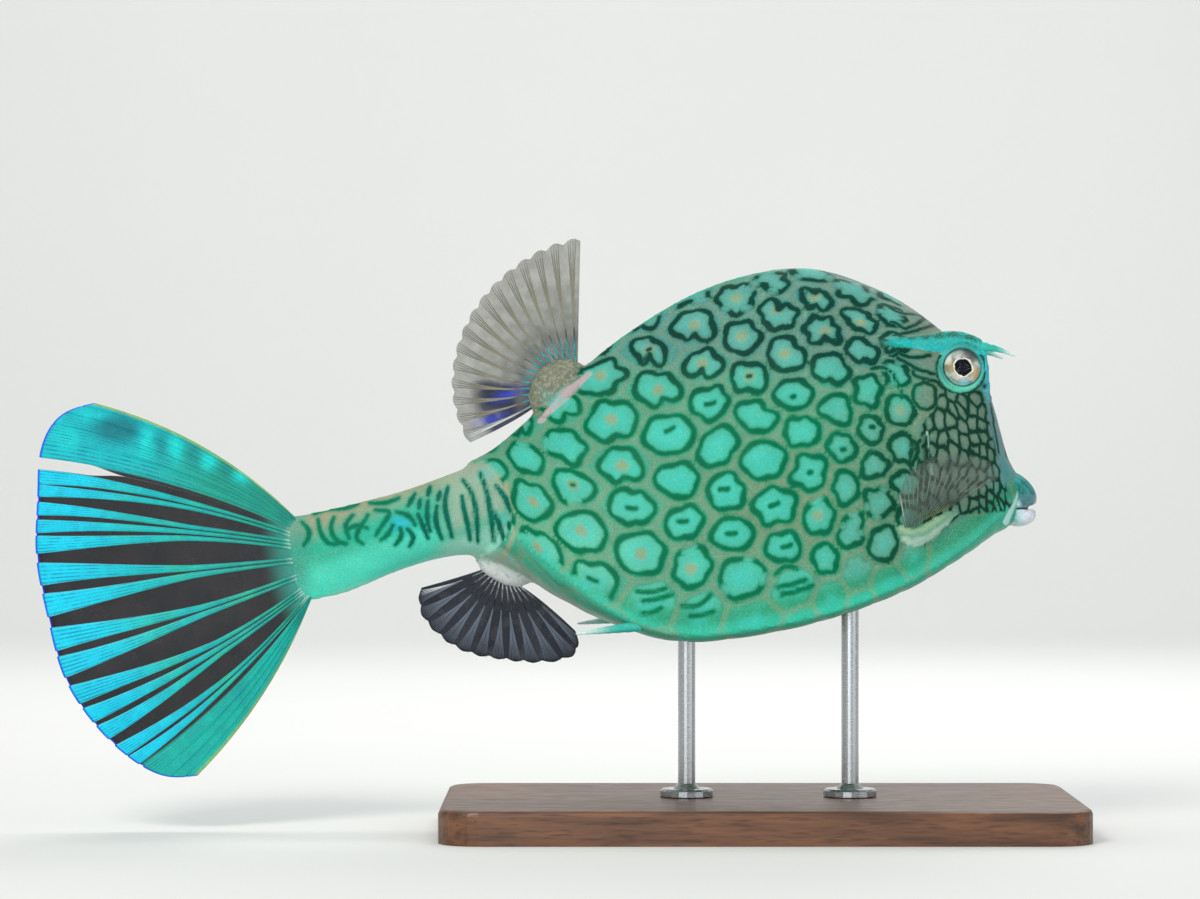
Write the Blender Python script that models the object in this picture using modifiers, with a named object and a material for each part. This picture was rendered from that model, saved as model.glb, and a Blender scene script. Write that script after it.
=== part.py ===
"""Honeycomb cowfish, a boxfish, modelled life size as a museum shows one: nose up on a plain display stand.

The fish is built level, in millimetres, in its own frame: x towards the snout, y to its left, z up, with
the origin inside the trunk. An empty then tips it nose up and lifts it over the stand. The world's origin
is the middle of the stand's underside, in metres.
"""

import math
from collections import namedtuple

import bmesh
import bpy
import numpy as np
from mathutils import Matrix, Vector
from mathutils.geometry import delaunay_2d_cdt

MM = 0.001
GAP = 0.3  # kept between two nodes that touch
WELD = 1e-7

# Pose of the fish over the stand
NOSE_UP = math.radians(11.0)
TRUNK_HEIGHT = 108.0  # the fish frame's origin above the floor
TAIL_SWEEP = 5.0  # how far the tail fin's margin swings to the fish's right
SWEEP_START = -80.0
SWEEP_END = -218.0

# A section of the body, between a point on the ridge of the back and one on the middle of the belly
Station = namedtuple("Station", "top_x top_z belly_x belly_z keel_rise keel_width shoulder_width boxiness")

SHELL_STATIONS = (
    Station(-88.2, 18.6, -87.2, -9.4, 0.45, 11.0, 9.6, 2.0),
    Station(-80.0, 20.6, -80.0, -13.2, 0.36, 14.5, 11.0, 2.2),
    Station(-70.0, 25.6, -70.0, -22.4, 0.22, 21.5, 13.0, 2.3),
    Station(-60.0, 31.6, -60.0, -30.8, 0.12, 29.0, 15.0, 2.4),
    Station(-48.0, 39.2, -48.0, -38.6, 0.05, 34.5, 16.5, 2.6),
    Station(-36.0, 45.8, -36.0, -44.2, 0.03, 37.0, 17.5, 2.7),
    Station(-22.0, 51.8, -22.0, -46.8, 0.025, 38.0, 18.5, 2.8),
    Station(-6.0, 56.6, -6.0, -47.5, 0.025, 38.5, 19.5, 2.9),
    Station(10.0, 58.3, 8.0, -47.1, 0.025, 38.0, 20.5, 3.1),
    Station(26.0, 56.6, 20.0, -45.8, 0.025, 36.0, 22.0, 3.5),
    Station(40.0, 49.8, 31.0, -44.0, 0.03, 33.0, 23.5, 4.2),
    Station(52.0, 40.8, 41.0, -41.4, 0.035, 29.5, 24.0, 5.5),
    Station(61.5, 30.6, 50.0, -38.3, 0.045, 25.0, 23.5, 7.0),
    Station(68.6, 20.6, 57.0, -35.6, 0.06, 20.5, 20.5, 6.5),
    Station(72.2, 9.0, 62.5, -33.2, 0.10, 16.0, 16.0, 5.0),
    Station(73.6, -3.0, 66.5, -31.7, 0.17, 12.5, 12.0, 4.0),
    Station(75.4, -12.0, 69.5, -30.9, 0.28, 10.0, 9.5, 3.0),
    Station(77.2, -17.8, 71.2, -30.2, 0.45, 6.6, 6.2, 2.4),
)
STALK_STATIONS = (
    Station(-139.0, 13.2, -139.0, -12.8, 0.5, 3.0, 3.0, 2.0),
    Station(-130.0, 13.2, -130.0, -12.6, 0.5, 4.0, 4.0, 2.0),
    Station(-118.0, 13.6, -118.0, -10.2, 0.5, 5.6, 5.6, 2.0),
    Station(-106.0, 14.4, -106.0, -8.2, 0.5, 7.0, 7.0, 2.0),
    Station(-94.0, 16.2, -94.0, -7.9, 0.5, 8.6, 8.6, 2.0),
    Station(-82.0, 18.4, -82.0, -10.4, 0.5, 10.8, 10.8, 2.0),
    Station(-72.0, 20.6, -72.0, -13.4, 0.5, 12.4, 12.4, 2.0),
)
RIDGE_POWER = 1.7  # 1 gives a sharp ridge along the back, 2 a round one
STALK_POWER = 2.0
KEEL_FLARE = 0.05  # how far the keel stands out, as a share of its half width
STALK_RINGS = 9
STALK_STEPS = 5

# The round bay at the shell's hind end that the tail stalk comes out of
BAY_CENTRE = (-89.4, 4.8)
BAY_RADIUS = 14.6
BAY_SEGMENTS = 44


def swept(points):
    """The points with the tail swung gently to the fish's right, more towards its tip."""
    moved = np.array(points, float)
    share = np.clip((SWEEP_START - moved[..., 0]) / (SWEEP_START - SWEEP_END), 0, None)
    moved[..., 1] -= TAIL_SWEEP * share**2
    return moved


def natural_spline(knots, values, where):
    """The natural cubic spline through the values at the knots, read at each place in where."""
    knots, values, where = (np.asarray(a, float) for a in (knots, values, where))
    count, gaps = len(knots), np.diff(knots)
    system, right = np.eye(count), np.zeros_like(values)
    for i in range(1, count - 1):
        system[i, i - 1 : i + 2] = gaps[i - 1], 2 * (gaps[i - 1] + gaps[i]), gaps[i]
        right[i] = 6 * ((values[i + 1] - values[i]) / gaps[i] - (values[i] - values[i - 1]) / gaps[i - 1])
    bend = np.linalg.solve(system, right)
    i = np.clip(np.searchsorted(knots, where) - 1, 0, count - 2)
    wide = (slice(None),) + (None,) * (values.ndim - 1)
    gap, before, after = gaps[i][wide], (where - knots[i])[wide], (knots[i + 1] - where)[wide]
    cubic = (bend[i] * after**3 + bend[i + 1] * before**3) / (6 * gap)
    straight_start = (values[i] / gap - bend[i] * gap / 6) * after
    straight_end = (values[i + 1] / gap - bend[i + 1] * gap / 6) * before
    return cubic + straight_start + straight_end


def lengths_along(points):
    """The distance of each point from the first one, along the line through them."""
    steps = np.linalg.norm(np.diff(points, axis=0), axis=1)
    return np.concatenate([[0], np.cumsum(steps)])


def stations_between(stations, count):
    """The table of stations filled in to count rows, evenly spaced along the body."""
    table = np.array(stations, float)
    knots = lengths_along(table[:, 0:2]) + lengths_along(table[:, 2:4])
    return natural_spline(knots, table, np.linspace(0, knots[-1], count))


def half_section(row, flank_steps, belly_steps, ridge_power):
    """The fish's right half of one section, from the ridge down the flank to the keel and in to mid belly."""
    top_x, top_z, belly_x, belly_z, keel_rise, keel_width, shoulder_width, boxiness = row
    turn = np.linspace(math.pi / 2, 0, flank_steps + 1)
    height = np.sin(turn)
    width = keel_width * (1 - height) + shoulder_width * height
    width = width * np.clip(1 - height**boxiness, 0, 1) ** (1 / ridge_power)
    width += KEEL_FLARE * keel_width * (1 - height) ** 9
    level = keel_rise + (1 - keel_rise) * height
    turn = np.linspace(0, math.pi / 2, belly_steps + 1)[1:]
    width = np.concatenate([width, keel_width * (1 + KEEL_FLARE) * np.cos(turn)])
    level = np.concatenate([level, keel_rise * (1 - np.sin(turn))])
    x = belly_x + (top_x - belly_x) * level
    z = belly_z + (top_z - belly_z) * level
    return np.column_stack([x, -width, z])


def link(name, mesh):
    """A new object for a mesh, in the scene."""
    obj = bpy.data.objects.new(name, mesh)
    bpy.context.scene.collection.objects.link(obj)
    return obj


def closed_mesh(name, bm):
    """An object from a bmesh, welded, triangulated and with its faces pointing outwards."""
    bmesh.ops.remove_doubles(bm, verts=bm.verts, dist=WELD)
    bmesh.ops.recalc_face_normals(bm, faces=bm.faces)
    bmesh.ops.triangulate(bm, faces=bm.faces)
    mesh = bpy.data.meshes.new(name)
    bm.to_mesh(mesh)
    bm.free()
    return link(name, mesh)


def faces_object(name, points, faces):
    """An object from points in millimetres and faces given by their numbers."""
    bm = bmesh.new()
    verts = [bm.verts.new(p) for p in np.asarray(points, float) * MM]
    for face in faces:
        bm.faces.new([verts[i] for i in face])
    return closed_mesh(name, bm)


def loft(name, rings):
    """A closed solid through rings that all have the same number of points, capped at both ends."""
    around = len(rings[0])
    faces = [tuple(range(around)), tuple(range(around * (len(rings) - 1), around * len(rings)))]
    for r in range(len(rings) - 1):
        for k in range(around):
            a, b = r * around + k, r * around + (k + 1) % around
            faces.append((a, b, b + around, a + around))
    return faces_object(name, np.vstack(rings), faces)


def tapered_tube(name, path, radii, roundness=2):
    """A closed tube along a path, with its own radius at each point: a bevelled curve made a mesh."""
    curve = bpy.data.curves.new(name, "CURVE")
    curve.dimensions = "3D"
    curve.bevel_depth = MM
    curve.bevel_resolution = roundness
    curve.use_fill_caps = True
    line = curve.splines.new("POLY")
    line.points.add(len(path) - 1)
    for point, place, radius in zip(line.points, path, radii):
        point.co = (*(Vector(place) * MM), 1.0)
        point.radius = radius
    guide = link(name, curve)
    made = bpy.data.meshes.new_from_object(guide.evaluated_get(bpy.context.evaluated_depsgraph_get()))
    bpy.data.objects.remove(guide)
    bm = bmesh.new()
    bm.from_mesh(made)
    bpy.data.meshes.remove(made)
    return closed_mesh(name, bm)


def ellipsoid(name, centre, radii, turn=None, segments=20, rings=12):
    """A closed ellipsoid from a sphere, turned if a turn is given."""
    bm = bmesh.new()
    bmesh.ops.create_uvsphere(bm, u_segments=segments, v_segments=rings, radius=MM)
    place = Matrix.Translation(Vector(centre) * MM) @ (turn or Matrix()) @ Matrix.Diagonal((*radii, 1))
    bmesh.ops.transform(bm, matrix=place, verts=bm.verts)
    return closed_mesh(name, bm)


def keep_largest(obj):
    """Leaves only the largest closed surface of a mesh."""
    bm = bmesh.new()
    bm.from_mesh(obj.data)
    bmesh.ops.remove_doubles(bm, verts=bm.verts, dist=WELD)
    left, islands = set(bm.verts), []
    while left:
        island, front = set(), [next(iter(left))]
        while front:
            vert = front.pop()
            if vert not in island:
                island.add(vert)
                front.extend(edge.other_vert(vert) for edge in vert.link_edges)
        left -= island
        islands.append(island)
    for island in sorted(islands, key=len)[:-1]:
        bmesh.ops.delete(bm, geom=list(island), context="VERTS")
    bm.to_mesh(obj.data)
    bm.free()


def combine(obj, others, operation, solver="EXACT"):
    """Applies one Boolean of obj with all the other objects, which are then removed."""
    group = bpy.data.collections.new(obj.name + "_cutters")
    bpy.context.scene.collection.children.link(group)
    for other in others:
        for home in list(other.users_collection):
            home.objects.unlink(other)
        group.objects.link(other)
        other.hide_render = True
        other.display_type = "WIRE"
    step = obj.modifiers.new("combine", "BOOLEAN")
    step.operation = operation
    step.solver = solver
    step.operand_type = "COLLECTION"
    step.collection = group
    made = bpy.data.meshes.new_from_object(obj.evaluated_get(bpy.context.evaluated_depsgraph_get()))
    obj.modifiers.clear()
    obj.data = made
    for other in list(group.objects):
        bpy.data.objects.remove(other)
    bpy.data.collections.remove(group)
    keep_largest(obj)
    return obj


def grown(obj, by=GAP):
    """A copy of a finished piece, swollen a little, to cut what touches it clear."""
    bm = bmesh.new()
    bm.from_mesh(obj.data)
    bm.normal_update()
    for vert, normal in [(v, v.normal.copy()) for v in bm.verts]:
        vert.co += normal * by * MM
    return closed_mesh("grown", bm)


def cut_clear(obj, pieces, solver="EXACT"):
    """Cuts a piece back until it stands just off the finished pieces that it grows from."""
    return combine(obj, [grown(piece) for piece in pieces], "DIFFERENCE", solver)


def mirrored(points, side):
    """Points given for the fish's left, or the same ones on its right."""
    return np.array(points, float) * (1, 1 if side == "left" else -1, 1)


# The hexagonal plates of the shell, raised in its own surface
# Height of a plate by place along the fish
PLATE_SIZES = ((-85, 13.6), (-68, 14.6), (-41, 14.7), (-27, 14.0), (-13, 13.5), (1, 13.3), (14, 12.7),
               (28, 11.8), (43, 10.8), (53, 9.6), (62, 8.6), (78, 8.0))
# Length over a regular hexagon's, behind and in front of the middle of the flank
PLATE_STRETCH = (1.2, 0.95)
STRETCH_START, STRETCH_END = 88.0, 104.0
FIRST_COLUMN = 0.42  # the even lattice's place at the hind end of the shell
ROW_DRIFT = 0.3  # how far the rows have sunk, in plates, where they are straight again
DRIFT_START, DRIFT_END = 60.0, 105.0
PLATE_RISE = 0.038  # how high its edge stands, as a share of its size
PLATE_DOME = 0.044  # and its middle
GROOVE = 0.75  # half the width between two plates
EDGE = 2.2  # bare strip along the ridge, the keel and both ends
HEX_STEP = math.sqrt(3) / 2
HEX_CORNER = 1 / math.sqrt(3)
LEAST_CELL = 0.12  # a cell cut by an edge is dropped below this share of a whole one
LEAST_PLATE = 0.5  # and has no plate below this share
LEAST_BELLY_SIZE = 9.2
FACE_FRONT = 68.5  # no plates ahead of this
LIP_CLEAR = ((74.0, -24.0), 11.0)  # place seen from the side and radius
EYE_CLEAR = 9.6
ON_EDGE = 1e-2  # as near as this to the middle plane is on it
SEAM = 1e-6  # metres, to weld the halves
CHART_ROWS = 150
CHART_FLANK, CHART_BELLY = 60, 16
MIDDLE_STEP = 43  # the step of each section that the flank's rows of plates are laid out from
OUTLINE_STEP = 5.0


def warped(place):
    """Shifts a place on the even lattice a little, so that no two plates are alike."""
    a, b = place
    return (
        a + 0.07 * math.sin(1.9 * a + 0.7 * b + 0.3) + 0.04 * math.sin(3.7 * b - 1.1 * a),
        b + 0.07 * math.sin(1.3 * a - 1.7 * b + 1.1) + 0.04 * math.sin(3.3 * a + 0.9 * b),
    )


class ShellChart:
    """The right half of the shell laid flat: p runs forward along its flank, q down from a middle line."""

    def __init__(self):
        rows = stations_between(SHELL_STATIONS, CHART_ROWS)
        self.sections = np.array([half_section(r, CHART_FLANK, CHART_BELLY, RIDGE_POWER) for r in rows])
        arcs = np.array([lengths_along(section) for section in self.sections])
        self.q = arcs - arcs[:, [MIDDLE_STEP]]
        middle = self.sections[:, MIDDLE_STEP]
        self.p = lengths_along(middle)
        knots, sizes = np.array(PLATE_SIZES).T
        self.sizes = np.interp(middle[:, 0], knots, sizes)
        lengths = self.sizes * self.stretch(self.p)
        steps = 2 * np.diff(self.p) / (lengths[1:] + lengths[:-1])
        self.u = FIRST_COLUMN + np.concatenate([[0], np.cumsum(steps)])

    def stretch(self, p):
        """How much longer than a regular hexagon the plates at p are."""
        return np.interp(p, (STRETCH_START, STRETCH_END), PLATE_STRETCH)

    def place(self, a, b):
        """The p and q of a place on the even lattice, also just past the chart's two ends."""
        past = min(a - self.u[0], 0.0) * self.sizes[0] + max(a - self.u[-1], 0.0) * self.sizes[-1]
        p = float(np.interp(a, self.u, self.p)) + past
        drift = ROW_DRIFT * np.interp(p, (DRIFT_START, DRIFT_END), (0.0, 1.0))
        return p, (b + drift) * float(self.size(p))

    def size(self, p):
        """The plates' size at p."""
        return np.interp(p, self.p, self.sizes)

    def line(self, p, step):
        """The q of one step of the sections, such as the ridge, the keel or mid belly."""
        return np.interp(p, self.p, self.q[:, step])

    def at(self, p, q):
        """Points of the fish for places on the chart."""
        row = np.interp(p, self.p, np.arange(CHART_ROWS))
        low = np.minimum(row.astype(int), CHART_ROWS - 2)
        share = (row - low)[:, None]

        def along_rows(rows):
            """The point at each q on its own section."""
            lines = [(self.q[r], self.sections[r].T, b) for r, b in zip(rows, q)]
            return np.array([[np.interp(b, known, line) for line in section] for known, section, b in lines])

        return along_rows(low) * (1 - share) + along_rows(low + 1) * share

    def point(self, p, q):
        """One point of the fish."""
        return self.at(np.array([p]), np.array([q]))[0]

    def outwards(self, p, q, step=0.4):
        """The direction out of the surface at each place."""
        ahead = self.at(p + step, q) - self.at(p - step, q)
        down = self.at(p, q + step) - self.at(p, q - step)
        normal = np.cross(down, ahead)
        return normal / np.linalg.norm(normal, axis=1)[:, None]


class Patch:
    """A flat part of the chart: the places and lines its triangles are drawn through, and their rises."""

    def __init__(self, outline):
        self.places = [tuple(place) for place in outline]
        self.rises = [0.0] * len(outline)
        self.lines = []
        self.outline = list(range(len(outline)))

    def add_point(self, place, rise):
        """Adds one place on its own."""
        self.places.append(tuple(place))
        self.rises.append(rise)

    def add_ring(self, corners, rise):
        """Adds places at one rise, joined in a ring."""
        start, count = len(self.places), len(corners)
        self.places += [tuple(corner) for corner in corners]
        self.rises += [rise] * count
        self.lines += [(start + k, start + (k + 1) % count) for k in range(count)]

    def filled(self):
        """The places, the triangles between them and each place's rise."""
        flat = [Vector(place) for place in self.places]
        places, _, faces, origins, _, _ = delaunay_2d_cdt(flat, self.lines, [self.outline], 1, 1e-4)
        rises = [max([self.rises[i] for i in origin], default=0.0) for origin in origins]
        return np.array([tuple(place) for place in places]), faces, np.array(rises)


def area(corners):
    """The area of a flat polygon."""
    x, y = np.asarray(corners).T
    return abs(np.dot(x, np.roll(y, -1)) - np.dot(y, np.roll(x, -1))) / 2


def hexagon():
    """The corners of a lattice cell round its centre."""
    turns = np.arange(6) * math.pi / 3
    return HEX_CORNER * np.column_stack([np.cos(turns), np.sin(turns)])


def flank_carries(point, size):
    """Whether a flank plate may stand at a point: not round the eye or lips, nor down the face."""
    mouth, mouth_clear = LIP_CLEAR
    off_eye = math.dist(point, mirrored(EYE_CENTRE, "right")) > EYE_CLEAR
    off_mouth = math.hypot(point[0] - mouth[0], point[2] - mouth[1]) > mouth_clear
    return point[0] < FACE_FRONT and off_eye and off_mouth


def belly_carries(point, size):
    """Whether a belly plate may stand at a point: the small ones under the chin are left plain."""
    return size > LEAST_BELLY_SIZE


def lay_plates(patch, chart, low, high, point_at, carries):
    """Adds the lattice cells between two lines of a patch, each with its plate where it may carry one."""
    for i in range(-1, int(chart.u[-1] / HEX_STEP) + 2):
        for j in range(-9, 10):
            corners = np.array((HEX_STEP * i, j + 0.5 * (i % 2))) + hexagon()
            whole = np.array([chart.place(*warped(corner)) for corner in corners])
            p = np.clip(whole[:, 0], EDGE, chart.p[-1] - EDGE)
            cell = np.column_stack([p, np.clip(whole[:, 1], low(p), high(p))])
            share = area(cell) / area(whole)
            if share < LEAST_CELL:
                continue
            middle = cell.mean(axis=0)
            size = float(chart.size(middle[0]))
            if share < LEAST_PLATE or not carries(point_at(*middle), size):
                patch.add_point(middle, 0.0)
                continue
            inner = 1 - 2 * GROOVE / (size * math.sqrt(chart.stretch(middle[0]) * share))
            patch.add_ring(cell, 0.0)
            patch.add_ring(middle + (cell - middle) * inner, PLATE_RISE * size)
            patch.add_point(middle, PLATE_DOME * size)


def outline_between(chart, low, high):
    """A patch's outline between two lines of the chart, with points along all four sides."""
    end = chart.p[-1]
    along = np.linspace(0, end, int(end / OUTLINE_STEP) + 1)

    def side(p):
        """Points between the two lines at one p, from low to high."""
        ends = float(low(p)), float(high(p))
        return [(p, q) for q in np.linspace(*ends, int((ends[1] - ends[0]) / OUTLINE_STEP) + 2)[1:-1]]

    return [*zip(along, low(along)), *side(end), *zip(along[::-1], high(along[::-1])), *side(0.0)[::-1]]


def flank_mesh(chart):
    """The right flank's points and triangles, with its plates raised."""

    def ridge(p):
        return chart.line(p, 0)

    def keel(p):
        return chart.line(p, CHART_FLANK)

    patch = Patch(outline_between(chart, ridge, keel))
    lay_plates(patch, chart, lambda p: ridge(p) + EDGE, lambda p: keel(p) - EDGE, chart.point, flank_carries)
    places, faces, rises = patch.filled()
    p, q = places.T
    points = chart.at(p, q) + chart.outwards(p, q) * rises[:, None]
    points[q - ridge(p) < ON_EDGE, 1] = 0.0
    return points, faces


def belly_mesh(chart):
    """The belly's right half, laid out from its middle line, where r is 0, so that plates meet across it."""

    def middle(p):
        return 0.0 * p

    def width(p):
        return chart.line(p, CHART_FLANK + CHART_BELLY) - chart.line(p, CHART_FLANK)

    def to_q(p, r):
        return chart.line(p, CHART_FLANK + CHART_BELLY) - r

    patch = Patch(outline_between(chart, middle, width))
    lay_plates(patch, chart, middle, lambda p: width(p) - EDGE, lambda p, r: chart.point(p, to_q(p, r)),
               belly_carries)
    places, faces, rises = patch.filled()
    p, r = places.T
    points = chart.at(p, to_q(p, r)) + chart.outwards(p, to_q(p, r)) * rises[:, None]
    points[r < ON_EDGE, 1] = 0.0
    return points, faces


def shell():
    """The whole bony shell, plated, in one piece, before it is parted."""
    chart = ShellChart()
    bm = bmesh.new()
    for points, faces in (flank_mesh(chart), belly_mesh(chart)):
        for side in ("left", "right"):
            verts = [bm.verts.new(point) for point in mirrored(points, side) * MM]
            for face in faces:
                bm.faces.new([verts[i] for i in face])
    bmesh.ops.remove_doubles(bm, verts=bm.verts, dist=SEAM)
    bmesh.ops.holes_fill(bm, edges=bm.edges, sides=0)
    return combine(closed_mesh("shell", bm), [bay()], "DIFFERENCE")


def bay():
    """The round space across the shell's hind end."""
    bm = bmesh.new()
    bmesh.ops.create_cone(bm, cap_ends=True, segments=BAY_SEGMENTS, radius1=BAY_RADIUS * MM,
                          radius2=BAY_RADIUS * MM, depth=80 * MM)
    place = Matrix.Translation((BAY_CENTRE[0] * MM, 0, BAY_CENTRE[1] * MM))
    bmesh.ops.transform(bm, matrix=place @ Matrix.Rotation(math.pi / 2, 4, "X"), verts=bm.verts)
    return closed_mesh("bay", bm)


# The cut that parts head from trunk, behind the gills
NECK_X = 33.0
NECK_LEAN = math.radians(8.0)


def half_space(name, forward):
    """A block that covers all of the shell on one side of the cut."""
    bm = bmesh.new()
    bmesh.ops.create_cube(bm, size=400 * MM)
    away = (200 - GAP / 2) * MM * (1 if forward else -1)
    place = Matrix.Translation((NECK_X * MM, 0, 0)) @ Matrix.Rotation(NECK_LEAN, 4, "Y")
    bmesh.ops.transform(bm, matrix=place @ Matrix.Translation((away, 0, 0)), verts=bm.verts)
    return closed_mesh(name, bm)


# Eyes, brows and horns
EYE_CENTRE = (63.8, 12.8, 19.0)
EYE_LOOK = (0.12, 1.0, 0.06)
LID_RADII = (8.1, 8.1, 7.4)  # the last along the way the eye looks
EYE_RADIUS = 6.4
EYE_FORWARD = 2.1  # how far the ball's middle lies in front of the lid's
BROW_PATH = ((40.6, 17.4, 29.4), (48.5, 18.4, 28.4), (56.5, 18.6, 27.6), (63.8, 18.2, 26.7),
             (70.6, 17.8, 23.4))
BROW_RADII = (0.7, 2.0, 2.8, 2.9, 2.3)
BROW_STEPS = 9
HORN_LENGTH = 9.8
HORN_RADIUS = 2.1
HORN_TIP = 0.4
HORN_WAY = (0.87, 0.14, -0.475)

# Nostril and gill slit, seen from the side
NOSTRIL = (70.6, 12.6)
NOSTRIL_RADIUS = 0.75
GILL_SLIT = ((49.4, 3.0), (48.6, -1.5), (47.6, -7.0), (46.2, -13.0))
GILL_RADII = (0.5, 0.9, 0.9, 0.5)

# Mouth
UPPER_LIP = ((75.7, 0.0, -21.7), (3.9, 6.8, 4.0))
LOWER_LIP = ((73.3, 0.0, -28.2), (4.5, 6.3, 2.9))
MOUTH_CORE = ((73.4, 0.0, -24.9), (3.4, 7.4, 5.2))

# Spines at the hind end of each keel
SPINE_ROOT = (-44.0, 34.6, -37.6)
SPINE_TIP = (-63.2, 37.4, -36.2)
SPINE_RADIUS = 1.9
SPINE_TIP_RADIUS = 0.35


def eye_turn(side):
    """The turn that brings up the way an eye looks."""
    return Vector(mirrored(EYE_LOOK, side)).normalized().to_track_quat("Z", "Y").to_matrix().to_4x4()


def eyelid(side, swell=0.0):
    """The fleshy mound that the eyeball sits in."""
    radii = [r + swell for r in LID_RADII]
    return ellipsoid("eyelid", mirrored(EYE_CENTRE, side), radii, eye_turn(side), 22, 11)


def brow(side, swell=0.0):
    """The ridge over the eye that ends in the horn."""
    knots, fine = np.arange(len(BROW_PATH)), np.linspace(0, len(BROW_PATH) - 1, BROW_STEPS)
    path = natural_spline(knots, mirrored(BROW_PATH, side), fine)
    radii = natural_spline(knots, np.array(BROW_RADII), fine)
    last = path[-1] - path[-2]
    path[-1] += last / np.linalg.norm(last) * swell
    return tapered_tube("brow", path, radii + swell, roundness=3)


def horn(side):
    """A short tapered horn, cut to fit the front of the brow."""
    end, way = Vector(mirrored(BROW_PATH[-1], side)), Vector(mirrored(HORN_WAY, side)).normalized()
    shares = (-0.2, 0.0, 0.4, 0.75, 1.0)
    path = [end + way * HORN_LENGTH * s for s in shares]
    radii = [HORN_RADIUS + (HORN_TIP - HORN_RADIUS) * max(s, 0) ** 0.8 for s in shares]
    obj = tapered_tube("horn_" + side, path, radii)
    return combine(obj, [brow(side, GAP), eyelid(side, GAP)], "DIFFERENCE")


def eyeball(name, side, swell=0.0):
    """The ball of an eye, or with a swell the space that it takes out of the head."""
    look = np.array(mirrored(EYE_LOOK, side))
    centre = mirrored(EYE_CENTRE, side) + look / np.linalg.norm(look) * EYE_FORWARD
    return ellipsoid(name, centre, (EYE_RADIUS + swell,) * 3, eye_turn(side), 18, 9)


def flank_depth(obj, x, z):
    """How far out the flank of a piece lies at a place seen from the side."""
    hit, place, _, _ = obj.ray_cast(Vector((x, 90.0, z)) * MM, Vector((0, -1, 0)))
    if not hit:
        raise ValueError("no flank at this place")
    return place.y / MM


def nostril(obj, side):
    """A small pit in front of the eye."""
    x, z = NOSTRIL
    place = mirrored((x, flank_depth(obj, x, z), z), side)
    return ellipsoid("nostril", place, (NOSTRIL_RADIUS, 2.0, NOSTRIL_RADIUS), segments=10, rings=6)


def gill_slit(obj, side):
    """A narrow slit behind the cheek."""
    path = [mirrored((x, flank_depth(obj, x, z), z), side) for x, z in GILL_SLIT]
    return tapered_tube("slit", path, GILL_RADII)


def head(whole):
    """The shell in front of the cut, with brows, eyelids, eye sockets, nostrils and gill slits."""
    obj = link("head", whole.data.copy())
    sides = ("left", "right")
    cutters = [piece(obj, side) for side in sides for piece in (nostril, gill_slit)]
    cutters += [eyeball("socket", side, GAP) for side in sides]
    combine(obj, [piece(side) for side in sides for piece in (brow, eyelid)], "UNION")
    return combine(obj, [half_space("behind", False), *cutters], "DIFFERENCE")


def carapace(whole):
    """The shell behind the cut, round the trunk."""
    return combine(link("carapace", whole.data.copy()), [half_space("ahead", True)], "DIFFERENCE")


def tail_stalk(trunk):
    """The bare stalk between the shell and the tail fin."""
    rings = []
    for row in stations_between(STALK_STATIONS, STALK_RINGS):
        right = half_section(row, STALK_STEPS, STALK_STEPS, STALK_POWER)
        rings.append(swept(np.vstack([right, right[-2:0:-1] * (1, -1, 1)])))
    return cut_clear(loft("tail_stalk", rings), [trunk])


def mouth(skull):
    """Two thick lips on the end of the snout, with the line of the mouth as the crease between them."""
    lips = [ellipsoid("lip", *lip, segments=18, rings=9) for lip in (UPPER_LIP, LOWER_LIP)]
    obj = combine(ellipsoid("mouth", *MOUTH_CORE, segments=14, rings=8), lips, "UNION")
    return cut_clear(obj, [skull])


def pelvic_spine(side, trunk):
    """The spine that carries the keel on behind the belly."""
    root, tip = mirrored(SPINE_ROOT, side), mirrored(SPINE_TIP, side)
    shares = np.array((0.0, 0.3, 0.6, 0.85, 1.0))
    radii = SPINE_TIP_RADIUS + (SPINE_RADIUS - SPINE_TIP_RADIUS) * (1 - shares) ** 0.8
    spine = tapered_tube("pelvic_spine_" + side, root + (tip - root) * shares[:, None], radii)
    return cut_clear(spine, [trunk])


# A fin as a fan of rays. The root and margin are outlines in side view, from the first ray to the last. Each
# ray is the tuple of the places where its branches end, as shares of the margin. Pairs are values at root and
# margin. The ways are the first and last ray's at the root, in degrees up from forwards, and crowding draws
# the rays towards the lower end of the root.
Fan = namedtuple("Fan", ("root", "margin", "first_way", "last_way", "bow", "crowding", "rays", "fork",
                         "ray_width", "ray_thick", "web_thick", "wave", "rows"))


def even_rays(count):
    """Unbranched rays evenly spaced over a fin."""
    return tuple(((i + 0.5) / count,) for i in range(count))


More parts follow.
